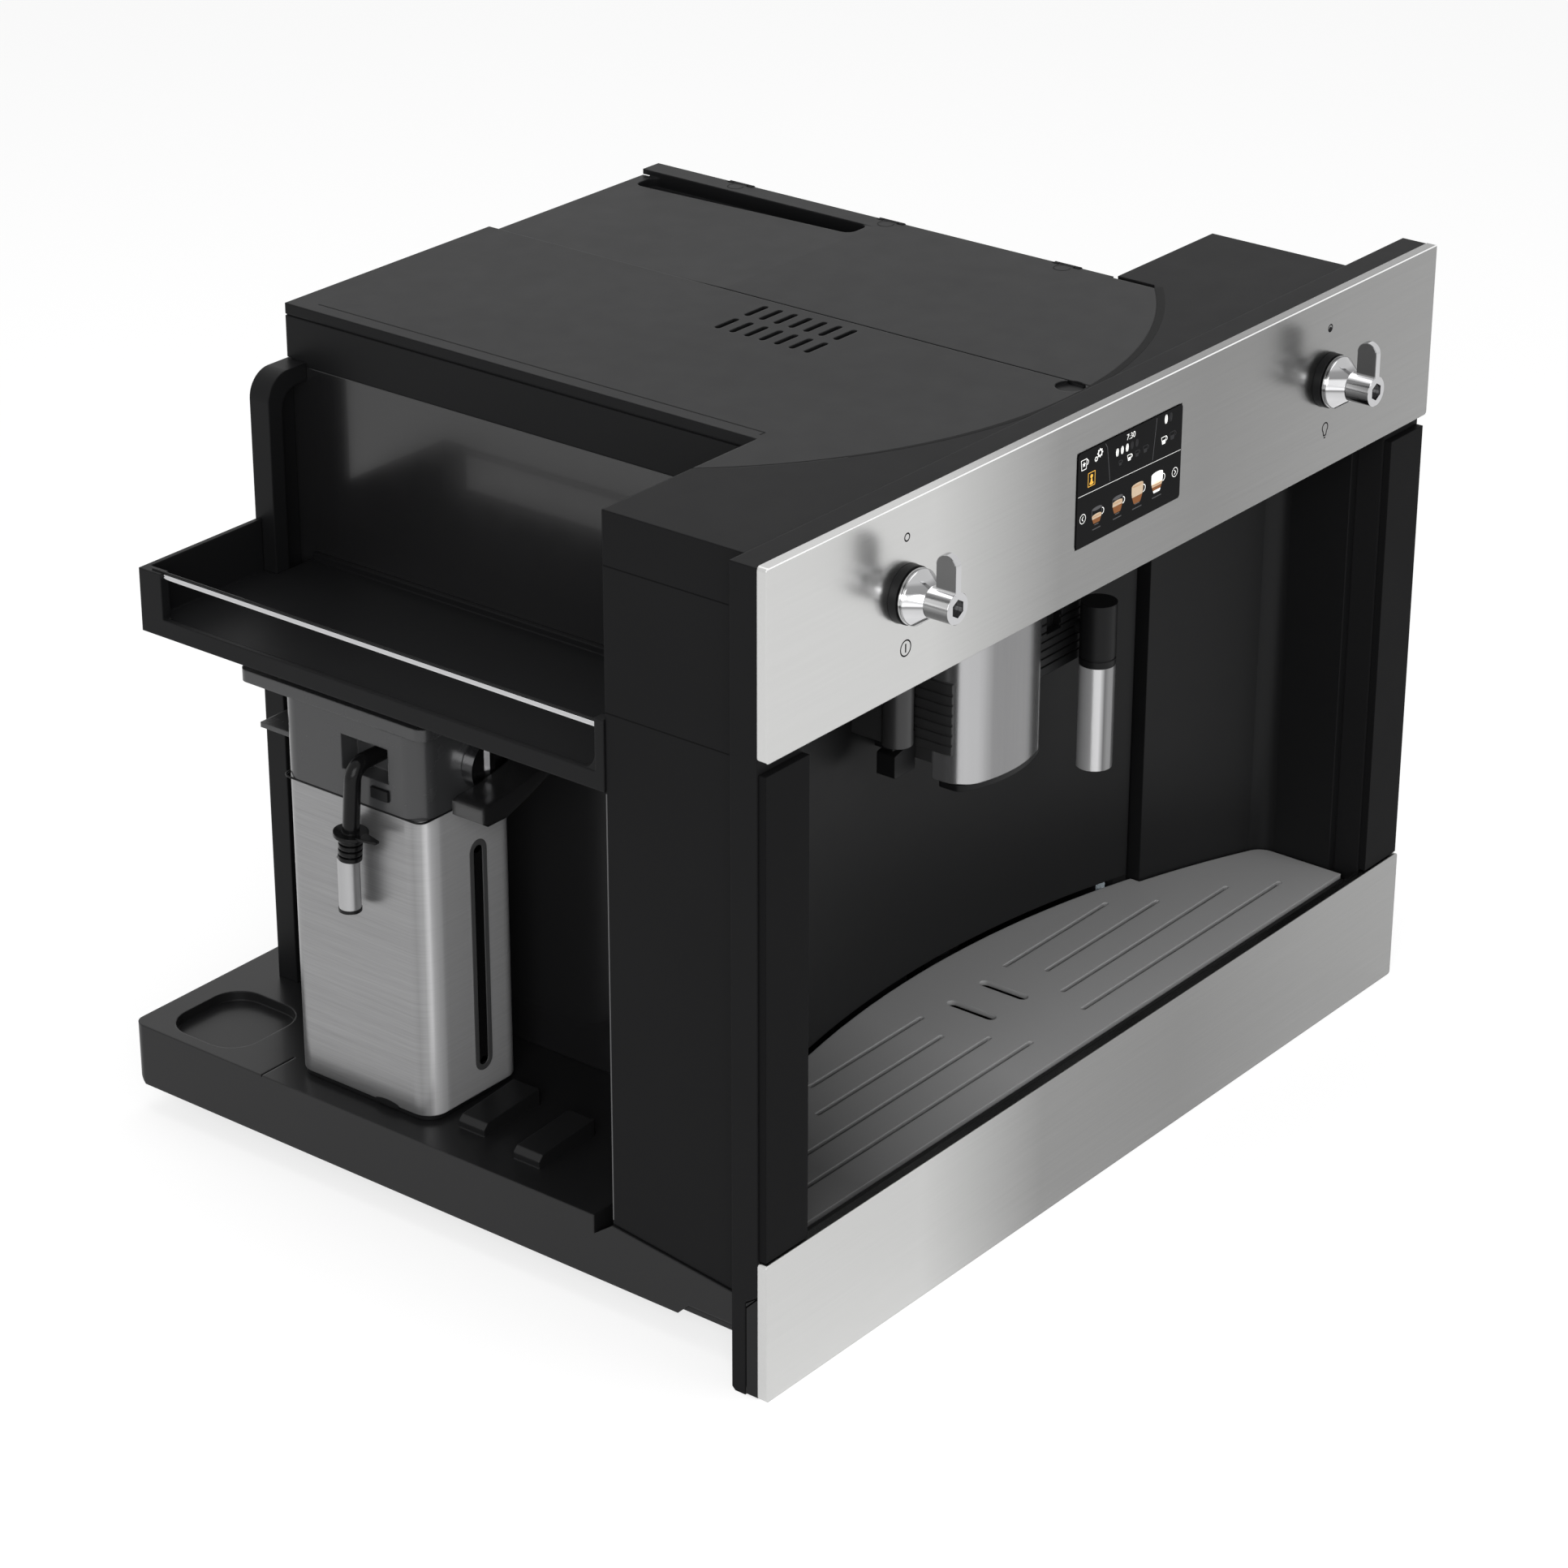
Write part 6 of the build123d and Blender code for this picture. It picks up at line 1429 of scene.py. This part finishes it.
@dataclass
class HousingTrims:
    """The housing's small parts: seams, hinge marks, painted shade in the cover's gap and groove and behind the door's
    foot, painted highlights on bright edges.
    """

    side_x: float = -279.0
    cap_x: float = -297.5
    front: float = 0.4
    back: float = 93.2
    seams_z: tuple[float, float] = (418.0, 340.0)
    cap_lines: tuple[Span, ...] = ((16.2, 56.0, 9.0, 48.5), (9.0, 48.5, 9.0, 2.0))
    line: float = 0.7
    cover_z: float = 447.0
    mark_x: float = 147.2
    marks_y: tuple[float, float, float] = (125.4, 246.6, 355.3)
    mark_radius: float = 4.6
    arc_x: float = -16.0
    arc_y: float = 268.0
    arc_radius: float = 261.6
    arc_steps: int = 24
    arc_start: float = -121.0
    arc_turn: float = 71.0
    gap: float = 1.2
    gap_growth: float = 3.6
    groove: float = 0.9
    groove_lines: tuple[Span, ...] = ((-150.5, 96.0, -150.5, 402.0), (-154.5, 96.0, -150.5, 96.0))
    door_y: float = -502.0
    door_back: float = 617.2
    shade_left: float = -234.0
    shade_right: float = 160.0
    shade_z: float = 77.6
    shade_radius: float = 1.1
    shade_steps: int = 14
    highlight_radius: float = 0.45
    panel_highlight: tuple[Place, ...] = ((-297.0, -22.0, 451.5), (0.0, -22.0, 451.5), (297.0, -22.0, 451.5))
    corner_highlight: tuple[Place, ...] = ((-278.8, 93.3, 53.0), (-278.8, 93.3, 240.0), (-278.8, 93.3, 296.0))

    def build(self) -> None:
        """Adds the trims of the side, the end cap and the cover, the painted shade by the door and the painted
        highlights on the edges.
        """
        self.side_seams()
        self.end_cap()
        self.hinge_marks()
        self.cover_gap()
        self.side_groove()
        self.door_gap_shade()
        self.edges()

    def dark_lines(self, bench: Bench, name: str, place: Place, facing: Facing, body: str = "machine") -> None:
        """Finishes a bench of dark lines as one piece of the housing; seams, marks and painted shade are finished this
        way.
        """
        bench.finish(name, body, INK_SEAM_AND_SHADE, "black_housing", place, facing)

    def side_seams(self) -> None:
        """Adds the two level seams of the housing's left side."""
        bench = Bench(PRINT_DEPTH)
        for level in self.seams_z:
            bench.bar((-self.back, level), (-self.front, level), self.line)
        self.dark_lines(bench, "housing_seams", (self.side_x + 0.01, 0.0, 0.0), Facing.LEFT)

    def end_cap(self) -> None:
        """Adds the line round the frame's lower end cap."""
        bench = Bench(PRINT_DEPTH)
        bench.bars(self.line, self.cap_lines)
        self.dark_lines(bench, "end_cap_line", (self.cap_x + PRINT_DEPTH, 0.0, 0.0), Facing.LEFT)

    def hinge_marks(self) -> None:
        """Adds the open rings at the cover's hinges."""
        bench = Bench(HINGE_MARK_DEPTH)
        for y in self.marks_y:
            bench.arc(self.mark_x, y, self.mark_radius, self.line, 20.0, 300.0)
        place = (0.0, 0.0, self.cover_z - HINGE_MARK_DEPTH / 2)
        self.dark_lines(bench, "hinge_marks", place, Facing.TOP, "lid")

    def cover_gap(self) -> None:
        """Adds painted shade as a dark band in the gap round the cover's front arc, wider towards the right."""
        near, far = [], []
        for step in range(self.arc_steps + 1):
            turn = math.radians(self.arc_start + step * self.arc_turn / self.arc_steps)
            for points, reach in ((near, 0.0), (far, self.gap + self.gap_growth * step / self.arc_steps)):
                radius = self.arc_radius + reach
                points.append((self.arc_x + radius * math.cos(turn), self.arc_y + radius * math.sin(turn)))
        bench = Bench(GAP_DEPTH)
        bench.sheet([*near, *far[::-1]])
        self.dark_lines(bench, "cover_gap", (0.0, 0.0, self.cover_z - GAP_DEPTH / 4), Facing.TOP)

    def side_groove(self) -> None:
        """Adds painted shade as a dark line, the twin of the groove along the cover's side."""
        bench = Bench(GAP_DEPTH)
        bench.bars(self.groove, self.groove_lines)
        self.dark_lines(bench, "cover_side_groove", (0.0, 0.0, self.cover_z - GAP_DEPTH / 4), Facing.TOP)

    def door_gap_shade(self) -> None:
        """Adds painted shade: a black rod behind the service door's foot, which darkens the gap over the grille."""
        points = []
        for step in range(self.shade_steps + 1):
            x = self.shade_left + step * (self.shade_right - self.shade_left) / self.shade_steps
            points.append((x, self.door_y + math.sqrt(self.door_back**2 - x * x), self.shade_z))
        settle(rod(points, self.shade_radius, "door_gap_shade"), "machine", BLACK_TRIM)

    def edges(self) -> None:
        """Adds painted highlights: a bright rod along the steel panel's top edge and a grey one down the housing's
        rear corner.
        """
        for points, name, finish, slot in (
            (self.panel_highlight, "panel_top_highlight", HIGHLIGHT_STEEL, "brushed_panel"),
            (self.corner_highlight, "housing_rear_highlight", HIGHLIGHT_GREY, "black_housing"),
        ):
            settle(rod(points, self.highlight_radius, name), "machine", finish)


@dataclass
class JugTrims:
    """The jug's gasket, the line under its lid's plate, its window's bezel and pane, and its foot's notch."""

    left: float = -263.4
    right: float = -190.3
    shell_front: float = 234.1
    shell_back: float = 333.6
    corner: float = 12.0
    seal_radius: float = 0.6
    gasket_z: float = 230.2
    lid_line_z: float = 279.2
    window_front: float = 234.0
    centre_x: float = -220.75
    low: float = 67.8
    high: float = 205.8
    bezel: float = 3.2
    bezel_reach: float = 5.1
    bezel_depth: float = 0.7
    bezel_round: float = 0.15
    pane_reach: float = 3.2
    pane_inset: float = 4.5
    pane_depth: float = 0.4
    pane_proud: float = 0.75
    notch_x: float = -263.35
    notch_depth: float = 0.3
    notch: tuple[float, float, float, float] = (-266.0, 54.6, 2.1, 4.2)

    def build(self) -> None:
        """Adds the trims of the jug."""
        self.seals()
        self.window_bezel()
        self.foot_notch()
        self.pane()

    def seals(self) -> None:
        """Adds the black seal between the lid and the steel, and the dark line under the lid's plate."""
        for name, level in (("jug_gasket", self.gasket_z), ("lid_plate_line", self.lid_line_z)):
            points = rounded_loop(self.left, self.right, self.shell_front, self.shell_back, self.corner, level)
            settle(rod(points, self.seal_radius, name, True), "jug_top", BLACK_TRIM)

    def window_bezel(self) -> None:
        """Adds the raised frame round the window as one bent bar."""
        inset = self.bezel_reach + self.bezel / 2
        bottom, top = self.low + inset, self.high - inset
        bench = Bench(self.bezel_depth)
        for side in (-self.bezel_reach, self.bezel_reach):
            bench.bar((self.centre_x + side, bottom), (self.centre_x + side, top), self.bezel)
        bench.arc(self.centre_x, top, self.bezel_reach, self.bezel, 0.0, 180.0)
        bench.arc(self.centre_x, bottom, self.bezel_reach, self.bezel, 180.0, 360.0)
        place = (0.0, self.window_front + self.bezel_depth / 2, 0.0)
        piece = bench.finish("jug_window_bezel", "jug", BEZEL_GREY, "grey_lid", place, Facing.FRONT)
        bevelled(piece, self.bezel_round)

    def pane(self) -> None:
        """Adds the window's smoked pane, sunk in its bezel."""
        bottom, top = self.low + self.pane_inset, self.high - self.pane_inset
        bench = Bench(self.pane_depth)
        bench.bar((self.centre_x, bottom), (self.centre_x, top), self.pane_reach * 2)
        for level in (bottom, top):
            bench.disc(self.centre_x, level, self.pane_reach)
        place = (0.0, self.window_front + self.pane_proud, 0.0)
        bench.finish("jug_window_pane", "jug", BLACK_GLOSS, "black_gloss", place, Facing.FRONT)

    def foot_notch(self) -> None:
        """Adds the small dark arch at the foot of the jug's side."""
        bench = Bench(self.notch_depth)
        bench.disc(*self.notch)
        place = (self.notch_x, 0.0, 0.0)
        bench.finish("jug_foot_notch", "jug", BLACK_TRIM, "black_trim", place, Facing.LEFT)


@dataclass
class MilkSpoutTrims:
    """The milk spout's small parts: the flange's tail, and the steel tip with its dark end ring."""

    tail: Place = (-273.5, 262.0, 216.3)
    tail_foot: float = 3.0
    tail_top: float = 9.0
    tail_length: float = 12.0
    tail_depth: float = 1.6
    tail_round: float = 0.4
    bore_share: float = 0.72
    bore_depth: float = 4.0
    ring_reach: float = 0.3
    ring_low: float = 0.6
    ring_high: float = 2.4

    def build(self) -> None:
        """Adds the tail, the tip in place of its plain solid, and the ring."""
        bench = Bench(self.tail_depth)
        bench.taper(0.0, 0.0, self.tail_foot, self.tail_top, self.tail_length)
        tail = bench.finish("flange_tail", "milk", BLACK_GLOSS, "black_gloss", self.tail, Facing.TOP)
        bevelled(tail, self.tail_round)
        low, high = ([part / MM for part in corner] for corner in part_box("milk_tip"))
        radius = (high[0] - low[0]) / 2
        foot = ((low[0] + high[0]) / 2, (low[1] + high[1]) / 2, low[2])
        self.tip(radius, high[2] - low[2], foot)
        reach = radius + self.ring_reach
        ring = turned(((reach, self.ring_low), (reach, self.ring_high)), foot, UPWARDS, "milk_tip_ring")
        settle(ring, "milk", BLACK_TRIM)

    def tip(self, radius: float, length: float, foot: Place) -> None:
        """Turns the hollow steel tip.

        Args:
            radius: its outer radius in millimetres.
            length: its length.
            foot: the middle of its lower end.
        """
        bore = radius * self.bore_share
        steps = ((bore, self.bore_depth), (bore, 0.2), (radius * 0.96, 0.0), (radius, 0.3), (radius, length))
        tip = turned(steps, foot, UPWARDS, "milk_tip_sleeve")
        settle(tip, "milk", TIP_STEEL)
        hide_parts("milk_tip")


@dataclass
class SpoutTrims:
    """The dark bracket under the guide column, and the black base that shows below the spout's steel."""

    bracket_y: float = 93.0
    bracket_depth: float = 12.0
    bracket_round: float = 0.8
    bracket: tuple[tuple[Point, ...], ...] = (
        ((-59.0, 226.0), (-41.0, 226.0), (-41.0, 243.5), (-59.0, 239.0)),
        ((-61.0, 243.0), (-41.0, 243.5), (-41.0, 248.4), (-61.0, 248.4)),
    )
    base_z: float = 217.9
    base_depth: float = 3.4
    base_round: float = 0.5
    base: tuple[Point, ...] = (
        (-37.2, 71.0), (-37.2, 62.0), (-37.0, 54.2), (-27.0, 49.4), (-14.0, 46.0), (0.0, 44.8),
        (14.0, 46.0), (27.0, 49.4), (37.0, 54.2), (37.2, 62.0), (37.2, 71.0), (0.0, 71.4),
    )

    def build(self) -> None:
        """Adds the bracket and the base."""
        bench = Bench(self.bracket_depth)
        for outline in self.bracket:
            bench.sheet(outline)
        place = (0.0, self.bracket_y, 0.0)
        bracket = bench.finish("guide_bracket", "door", BLACK_TRIM, "black_trim", place, Facing.FRONT)
        bevelled(bracket, self.bracket_round)
        bench = Bench(self.base_depth)
        bench.sheet(self.base, Bend.SMOOTH)
        place = (0.0, 0.0, self.base_z)
        base = bench.finish("spout_base", "spout", BLACK_TRIM, "black_trim", place, Facing.TOP)
        bevelled(base, self.base_round)


@dataclass
class ShelfTrims:
    """The rounded lower corners of the shelf's window and the dark seal over its rail."""

    corner_x: float = -274.8
    corner_depth: float = 5.0
    front: float = 99.5
    back: float = 408.5
    low: float = 306.4
    radius: float = 11.0
    overlap: float = 2.0
    seal_x: float = -277.0
    seal_z: float = 333.2
    seal_radius: float = 0.7

    def build(self) -> None:
        """Adds two corners and the seal."""
        bench = Bench(self.corner_depth)
        turns = [math.radians(step * 11.25) for step in range(8, -1, -1)]
        for end, way in ((-self.front, -1.0), (-self.back, 1.0)):
            bend = [
                (end + way * self.radius * (1 - math.sin(turn)), self.low + self.radius * (1 - math.cos(turn)))
                for turn in turns
            ]
            bench.sheet([(end - way * self.overlap, self.low - self.overlap), *bend])
        place = (self.corner_x, 0.0, 0.0)
        bench.finish("shelf_window_corners", "machine", BLACK_HOUSING, "black_housing", place, Facing.LEFT)
        points = [(self.seal_x, y, self.seal_z) for y in (self.front, 200.0, 300.0, self.back)]
        settle(rod(points, self.seal_radius, "shelf_rail_seal"), "machine", BLACK_GLOSS)


@dataclass
class Knob:
    """One turned knob: flange and cone, stem with its lever, bright end face and dark hexagon socket, with painted
    reflections on its chrome, a painted highlight on the lever's front and painted shade in the socket.
    """

    x: float
    body: str
    node: str
    z: float = 404.0
    back: float = -27.0
    lever_back: float = -41.0
    end: float = -53.0
    lever_half: float = 2.3
    lever_round: float = 425.0
    highlight_inset: float = 0.25
    lever_bevel: float = 0.4
    socket: float = 4.9
    rim: float = 0.4

    def build(self) -> None:
        """Makes the knob's pieces in place of its plain solid."""
        self.cone()
        self.stem()
        self.end_face()
        self.floor()

    def turn(self, profile: Outline, name: str, sides: int = TURNED_SIDES) -> Piece:
        """A piece turned about the knob's own axis."""
        return turned(profile, (self.x, self.back, self.z), (0.0, -1.0, 0.0), f"{self.node}_{name}", sides)

    def replace(self, piece: Piece, finish: Finish) -> None:
        """Gives a piece its looks and lets it stand for the knob's solid."""
        settle(piece, self.body, finish)
        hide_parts(self.node)

    def lever_side(self, radius: float, foot: float) -> list[Point]:
        """The lever's front side and round top, seen from the left.

        Args:
            radius: the round's radius.
            foot: how far over the knob's axis the side begins.

        Returns:
            The points from the foot of its front side over its top.
        """
        middle = -(self.lever_back + self.end) / 2
        turns = [math.radians(step * 15.0) for step in range(13)]
        top = [(middle + math.cos(turn) * radius, self.lever_round + math.sin(turn) * radius) for turn in turns]
        return [(middle + radius, self.z + foot), *top]

    def cone(self) -> None:
        """Makes the grooved flange and the cone, in chrome with painted reflections."""
        profile = (
            (13.7, 0.1), (14.4, 0.6), (14.5, 1.0), (14.5, 1.7), (14.0, 1.9), (14.0, 2.3), (14.5, 2.5),
            (14.5, 3.2), (14.1, 3.8), (13.2, 4.7), (9.2, 10.2), (8.5, 11.2),
        )
        self.replace(self.turn(profile, "cone"), CONE_CHROME)

    def stem(self) -> None:
        """Makes the stem and the lever that stands up from it, in chrome with painted reflections."""
        stem = self.turn(((8.4, 11.1), (8.2, 11.8), (8.2, 25.3), (5.2, 25.3), (5.2, 22.6)), "shaft")
        bench = Bench(self.lever_half * 2)
        radius = (self.lever_back - self.end) / 2 - self.rim
        side = self.lever_side(radius, 6.0)
        bench.sheet([(side[0][0] - radius * 2, side[0][1]), *side])
        place = (self.x + self.lever_half, 0.0, 0.0)
        lever = bench.finish(f"{self.node}_lever", self.body, STEM_CHROME, "chrome", place, Facing.LEFT)
        bevelled(lever, self.lever_bevel)
        self.replace(join([stem, lever], f"{self.node}_stem"), STEM_CHROME)

    def end_face(self) -> None:
        """Makes the bright end ring with its hexagon hole, and a painted highlight of brighter chrome along the
        lever's front edge.
        """
        ring = self.turn(((8.2, 25.2), (8.2, 25.6), (7.9, 25.9)), "ring")
        cut(ring, self.turn(((self.socket, 24.0), (self.socket, 28.0)), "cutter", 6))
        # Painted highlight: a strip of brighter chrome along the lever's front and round top.
        bench = Bench((self.lever_half - self.highlight_inset) * 2)
        outer = (self.lever_back - self.end) / 2
        far = self.lever_side(outer - self.rim * 1.5, 7.0)
        bench.sheet([*self.lever_side(outer, 7.0), *far[::-1]])
        place = (self.x + self.lever_half - self.highlight_inset, 0.0, 0.0)
        edge = bench.finish(f"{self.node}_edge", self.body, CHROME, "chrome", place, Facing.LEFT)
        self.replace(join([ring, edge], f"{self.node}_end"), CHROME)

    def floor(self) -> None:
        """Makes the socket's floor in dark chrome and a black disc for the hole in its middle, both painted shade."""
        plate = self.turn(((5.1, 22.5), (5.1, 22.8), (1.2, 22.8), (1.2, 22.6)), "floor")
        settle(plate, self.body, SOCKET_SHADE_CHROME)
        hole = self.turn(((1.1, 22.6), (1.1, 22.7)), "hole")
        settle(hole, self.body, BLACK_TRIM)


@dataclass
class Studio:
    """The plain pale floor, the white surround, three soft lamps and the camera."""

    eye: Place = (-1.8219, -1.2385, 1.2687)
    look: Place = (0.7085, 0.5604, -0.4290)
    roll: float = -0.094
    lens: float = 105.2
    sensor: float = 36.0
    clip: Point = (0.05, 40.0)
    floor_z: float = -0.0032
    floor_size: float = 14.0
    aim: Place = (0.0, 0.2, 0.22)
    lamps: tuple[tuple[str, Place, float, float], ...] = (
        ("key", (-1.9, -0.9, 1.0), 1.3, 20.0),
        ("front", (0.5, -2.3, 1.1), 1.6, 13.0),
        ("top", (0.1, 0.4, 2.3), 1.8, 13.0),
    )

    def build(self) -> None:
        """Sets the floor, the surround, the lamps and the camera."""
        self.floor()
        self.surround()
        for name, place, size, watts in self.lamps:
            self.lamp(name, place, size, watts)
        self.camera()
        bpy.context.scene.view_settings.view_transform = "Standard"

    def floor(self) -> None:
        """Adds the floor, white to the camera except where the machine shades it."""
        clear_choice()
        bpy.ops.mesh.primitive_plane_add(size=self.floor_size, location=(0.0, 0.0, self.floor_z))
        floor = bpy.context.active_object
        floor.name = "studio_floor"
        material = bpy.data.materials.new("studio_floor")
        graph = Graph(material)
        matt = graph.node("ShaderNodeBsdfDiffuse", {}, {"Color": (0.5, 0.5, 0.5, 1.0)})
        glow = graph.node("ShaderNodeEmission", {}, {"Color": WHITE, "Strength": 0.72})
        both = graph.node("ShaderNodeAddShader", {}, {0: matt.outputs[0], 1: glow.outputs[0]})
        seen = self.seen(graph)
        plain = graph.node("ShaderNodeBsdfDiffuse", {}, {"Color": (0.7, 0.7, 0.7, 1.0)})
        mixed = graph.node("ShaderNodeMixShader", {}, {0: seen, 1: plain.outputs[0], 2: both.outputs[0]})
        graph.node("ShaderNodeOutputMaterial", {}, {"Surface": mixed.outputs[0]})
        floor.data.materials.append(material)

    def seen(self, graph: Graph) -> Value:
        """One for what the camera, a reflection or a clear piece shows of the surround.

        Args:
            graph: the graph of the floor or the world.

        Returns:
            The sum of the three kinds of ray.
        """
        path = graph.node("ShaderNodeLightPath", {}, {})
        direct = graph.value(path, "Is Camera Ray")
        mirrored = graph.value(path, "Is Glossy Ray")
        through = graph.value(path, "Is Transmission Ray")
        return direct + mirrored + through

    def surround(self) -> None:
        """Sets a white background that lights the machine softly."""
        world = bpy.data.worlds.new("studio")
        bpy.context.scene.world = world
        graph = Graph(world)
        white = graph.node("ShaderNodeBackground", {}, {"Color": WHITE, "Strength": 1.0})
        soft = graph.node("ShaderNodeBackground", {}, {"Color": WHITE, "Strength": 0.35})
        mixed = graph.node("ShaderNodeMixShader", {}, {0: self.seen(graph), 1: soft.outputs[0], 2: white.outputs[0]})
        graph.node("ShaderNodeOutputWorld", {}, {"Surface": mixed.outputs[0]})

    def lamp(self, name: str, place: Place, size: float, watts: float) -> None:
        """Adds one square soft lamp that faces the machine.

        Args:
            name: where it stands, in a word.
            place: its place in metres.
            size: its side in metres.
            watts: its power.
        """
        clear_choice()
        bpy.ops.object.light_add(type="AREA", location=place)
        lamp = bpy.context.active_object
        lamp.name = f"lamp_{name}"
        lamp.data.size = size
        lamp.data.energy = watts
        aim = Vector(self.aim) - Vector(place)
        lamp.rotation_euler = aim.to_track_quat("-Z", "Y").to_euler()

    def camera(self) -> None:
        """Adds the camera at the picture's viewing angle."""
        clear_choice()
        bpy.ops.object.camera_add(location=self.eye)
        camera = bpy.context.active_object
        forward = Vector(self.look).normalized()
        right = forward.cross(Vector(UPWARDS)).normalized()
        up = right.cross(forward)
        turn = Matrix((right, up, -forward)).transposed()
        camera.rotation_euler = (Matrix.Rotation(math.radians(self.roll), 3, forward) @ turn).to_euler()
        camera.data.lens = self.lens
        camera.data.sensor_width = self.sensor
        camera.data.clip_start, camera.data.clip_end = self.clip
        bpy.context.scene.camera = camera


@dataclass
class CoffeeMachine:
    """The whole machine: the frame's nodes in their finishes and the pieces added to them."""

    frame: dict[str, Any]

    def finish_nodes(self) -> None:
        """Gives every node of the frame its own finish, or else its slot's."""
        by_slot = {finish.slot: finish for finish in FINISHES}
        slots = {part["node"]: part["material_slot"] for part in self.frame["record"]["subparts"]}
        for name, node in self.frame["nodes"].items():
            material = NODE_FINISHES.get(name, by_slot[slots[name]]).material()
            if node.material_slots:
                for place in node.material_slots:
                    place.material = material
            else:
                node.data.materials.append(material)
            LOG.info("node %s in %s", name, slots[name])

    def pieces(self) -> Iterable[Any]:
        """The sub-assemblies in the order of building.

        Returns:
            One sub-assembly after another, each with a build method.
        """
        yield PanelMarks()
        yield ScreenFigures()
        yield HousingTrims()
        yield JugTrims()
        yield MilkSpoutTrims()
        yield SpoutTrims()
        yield ShelfTrims()
        yield Knob(-189.0, "knob_a", "knob_left")
        yield Knob(189.0, "knob_b", "knob_right")


def main() -> None:
    logging.basicConfig(level=logging.INFO, format="%(message)s")
    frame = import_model()
    machine = CoffeeMachine(frame)
    machine.finish_nodes()
    for piece in machine.pieces():
        piece.build()
    Studio().build()


if __name__ == "__main__":
    main()
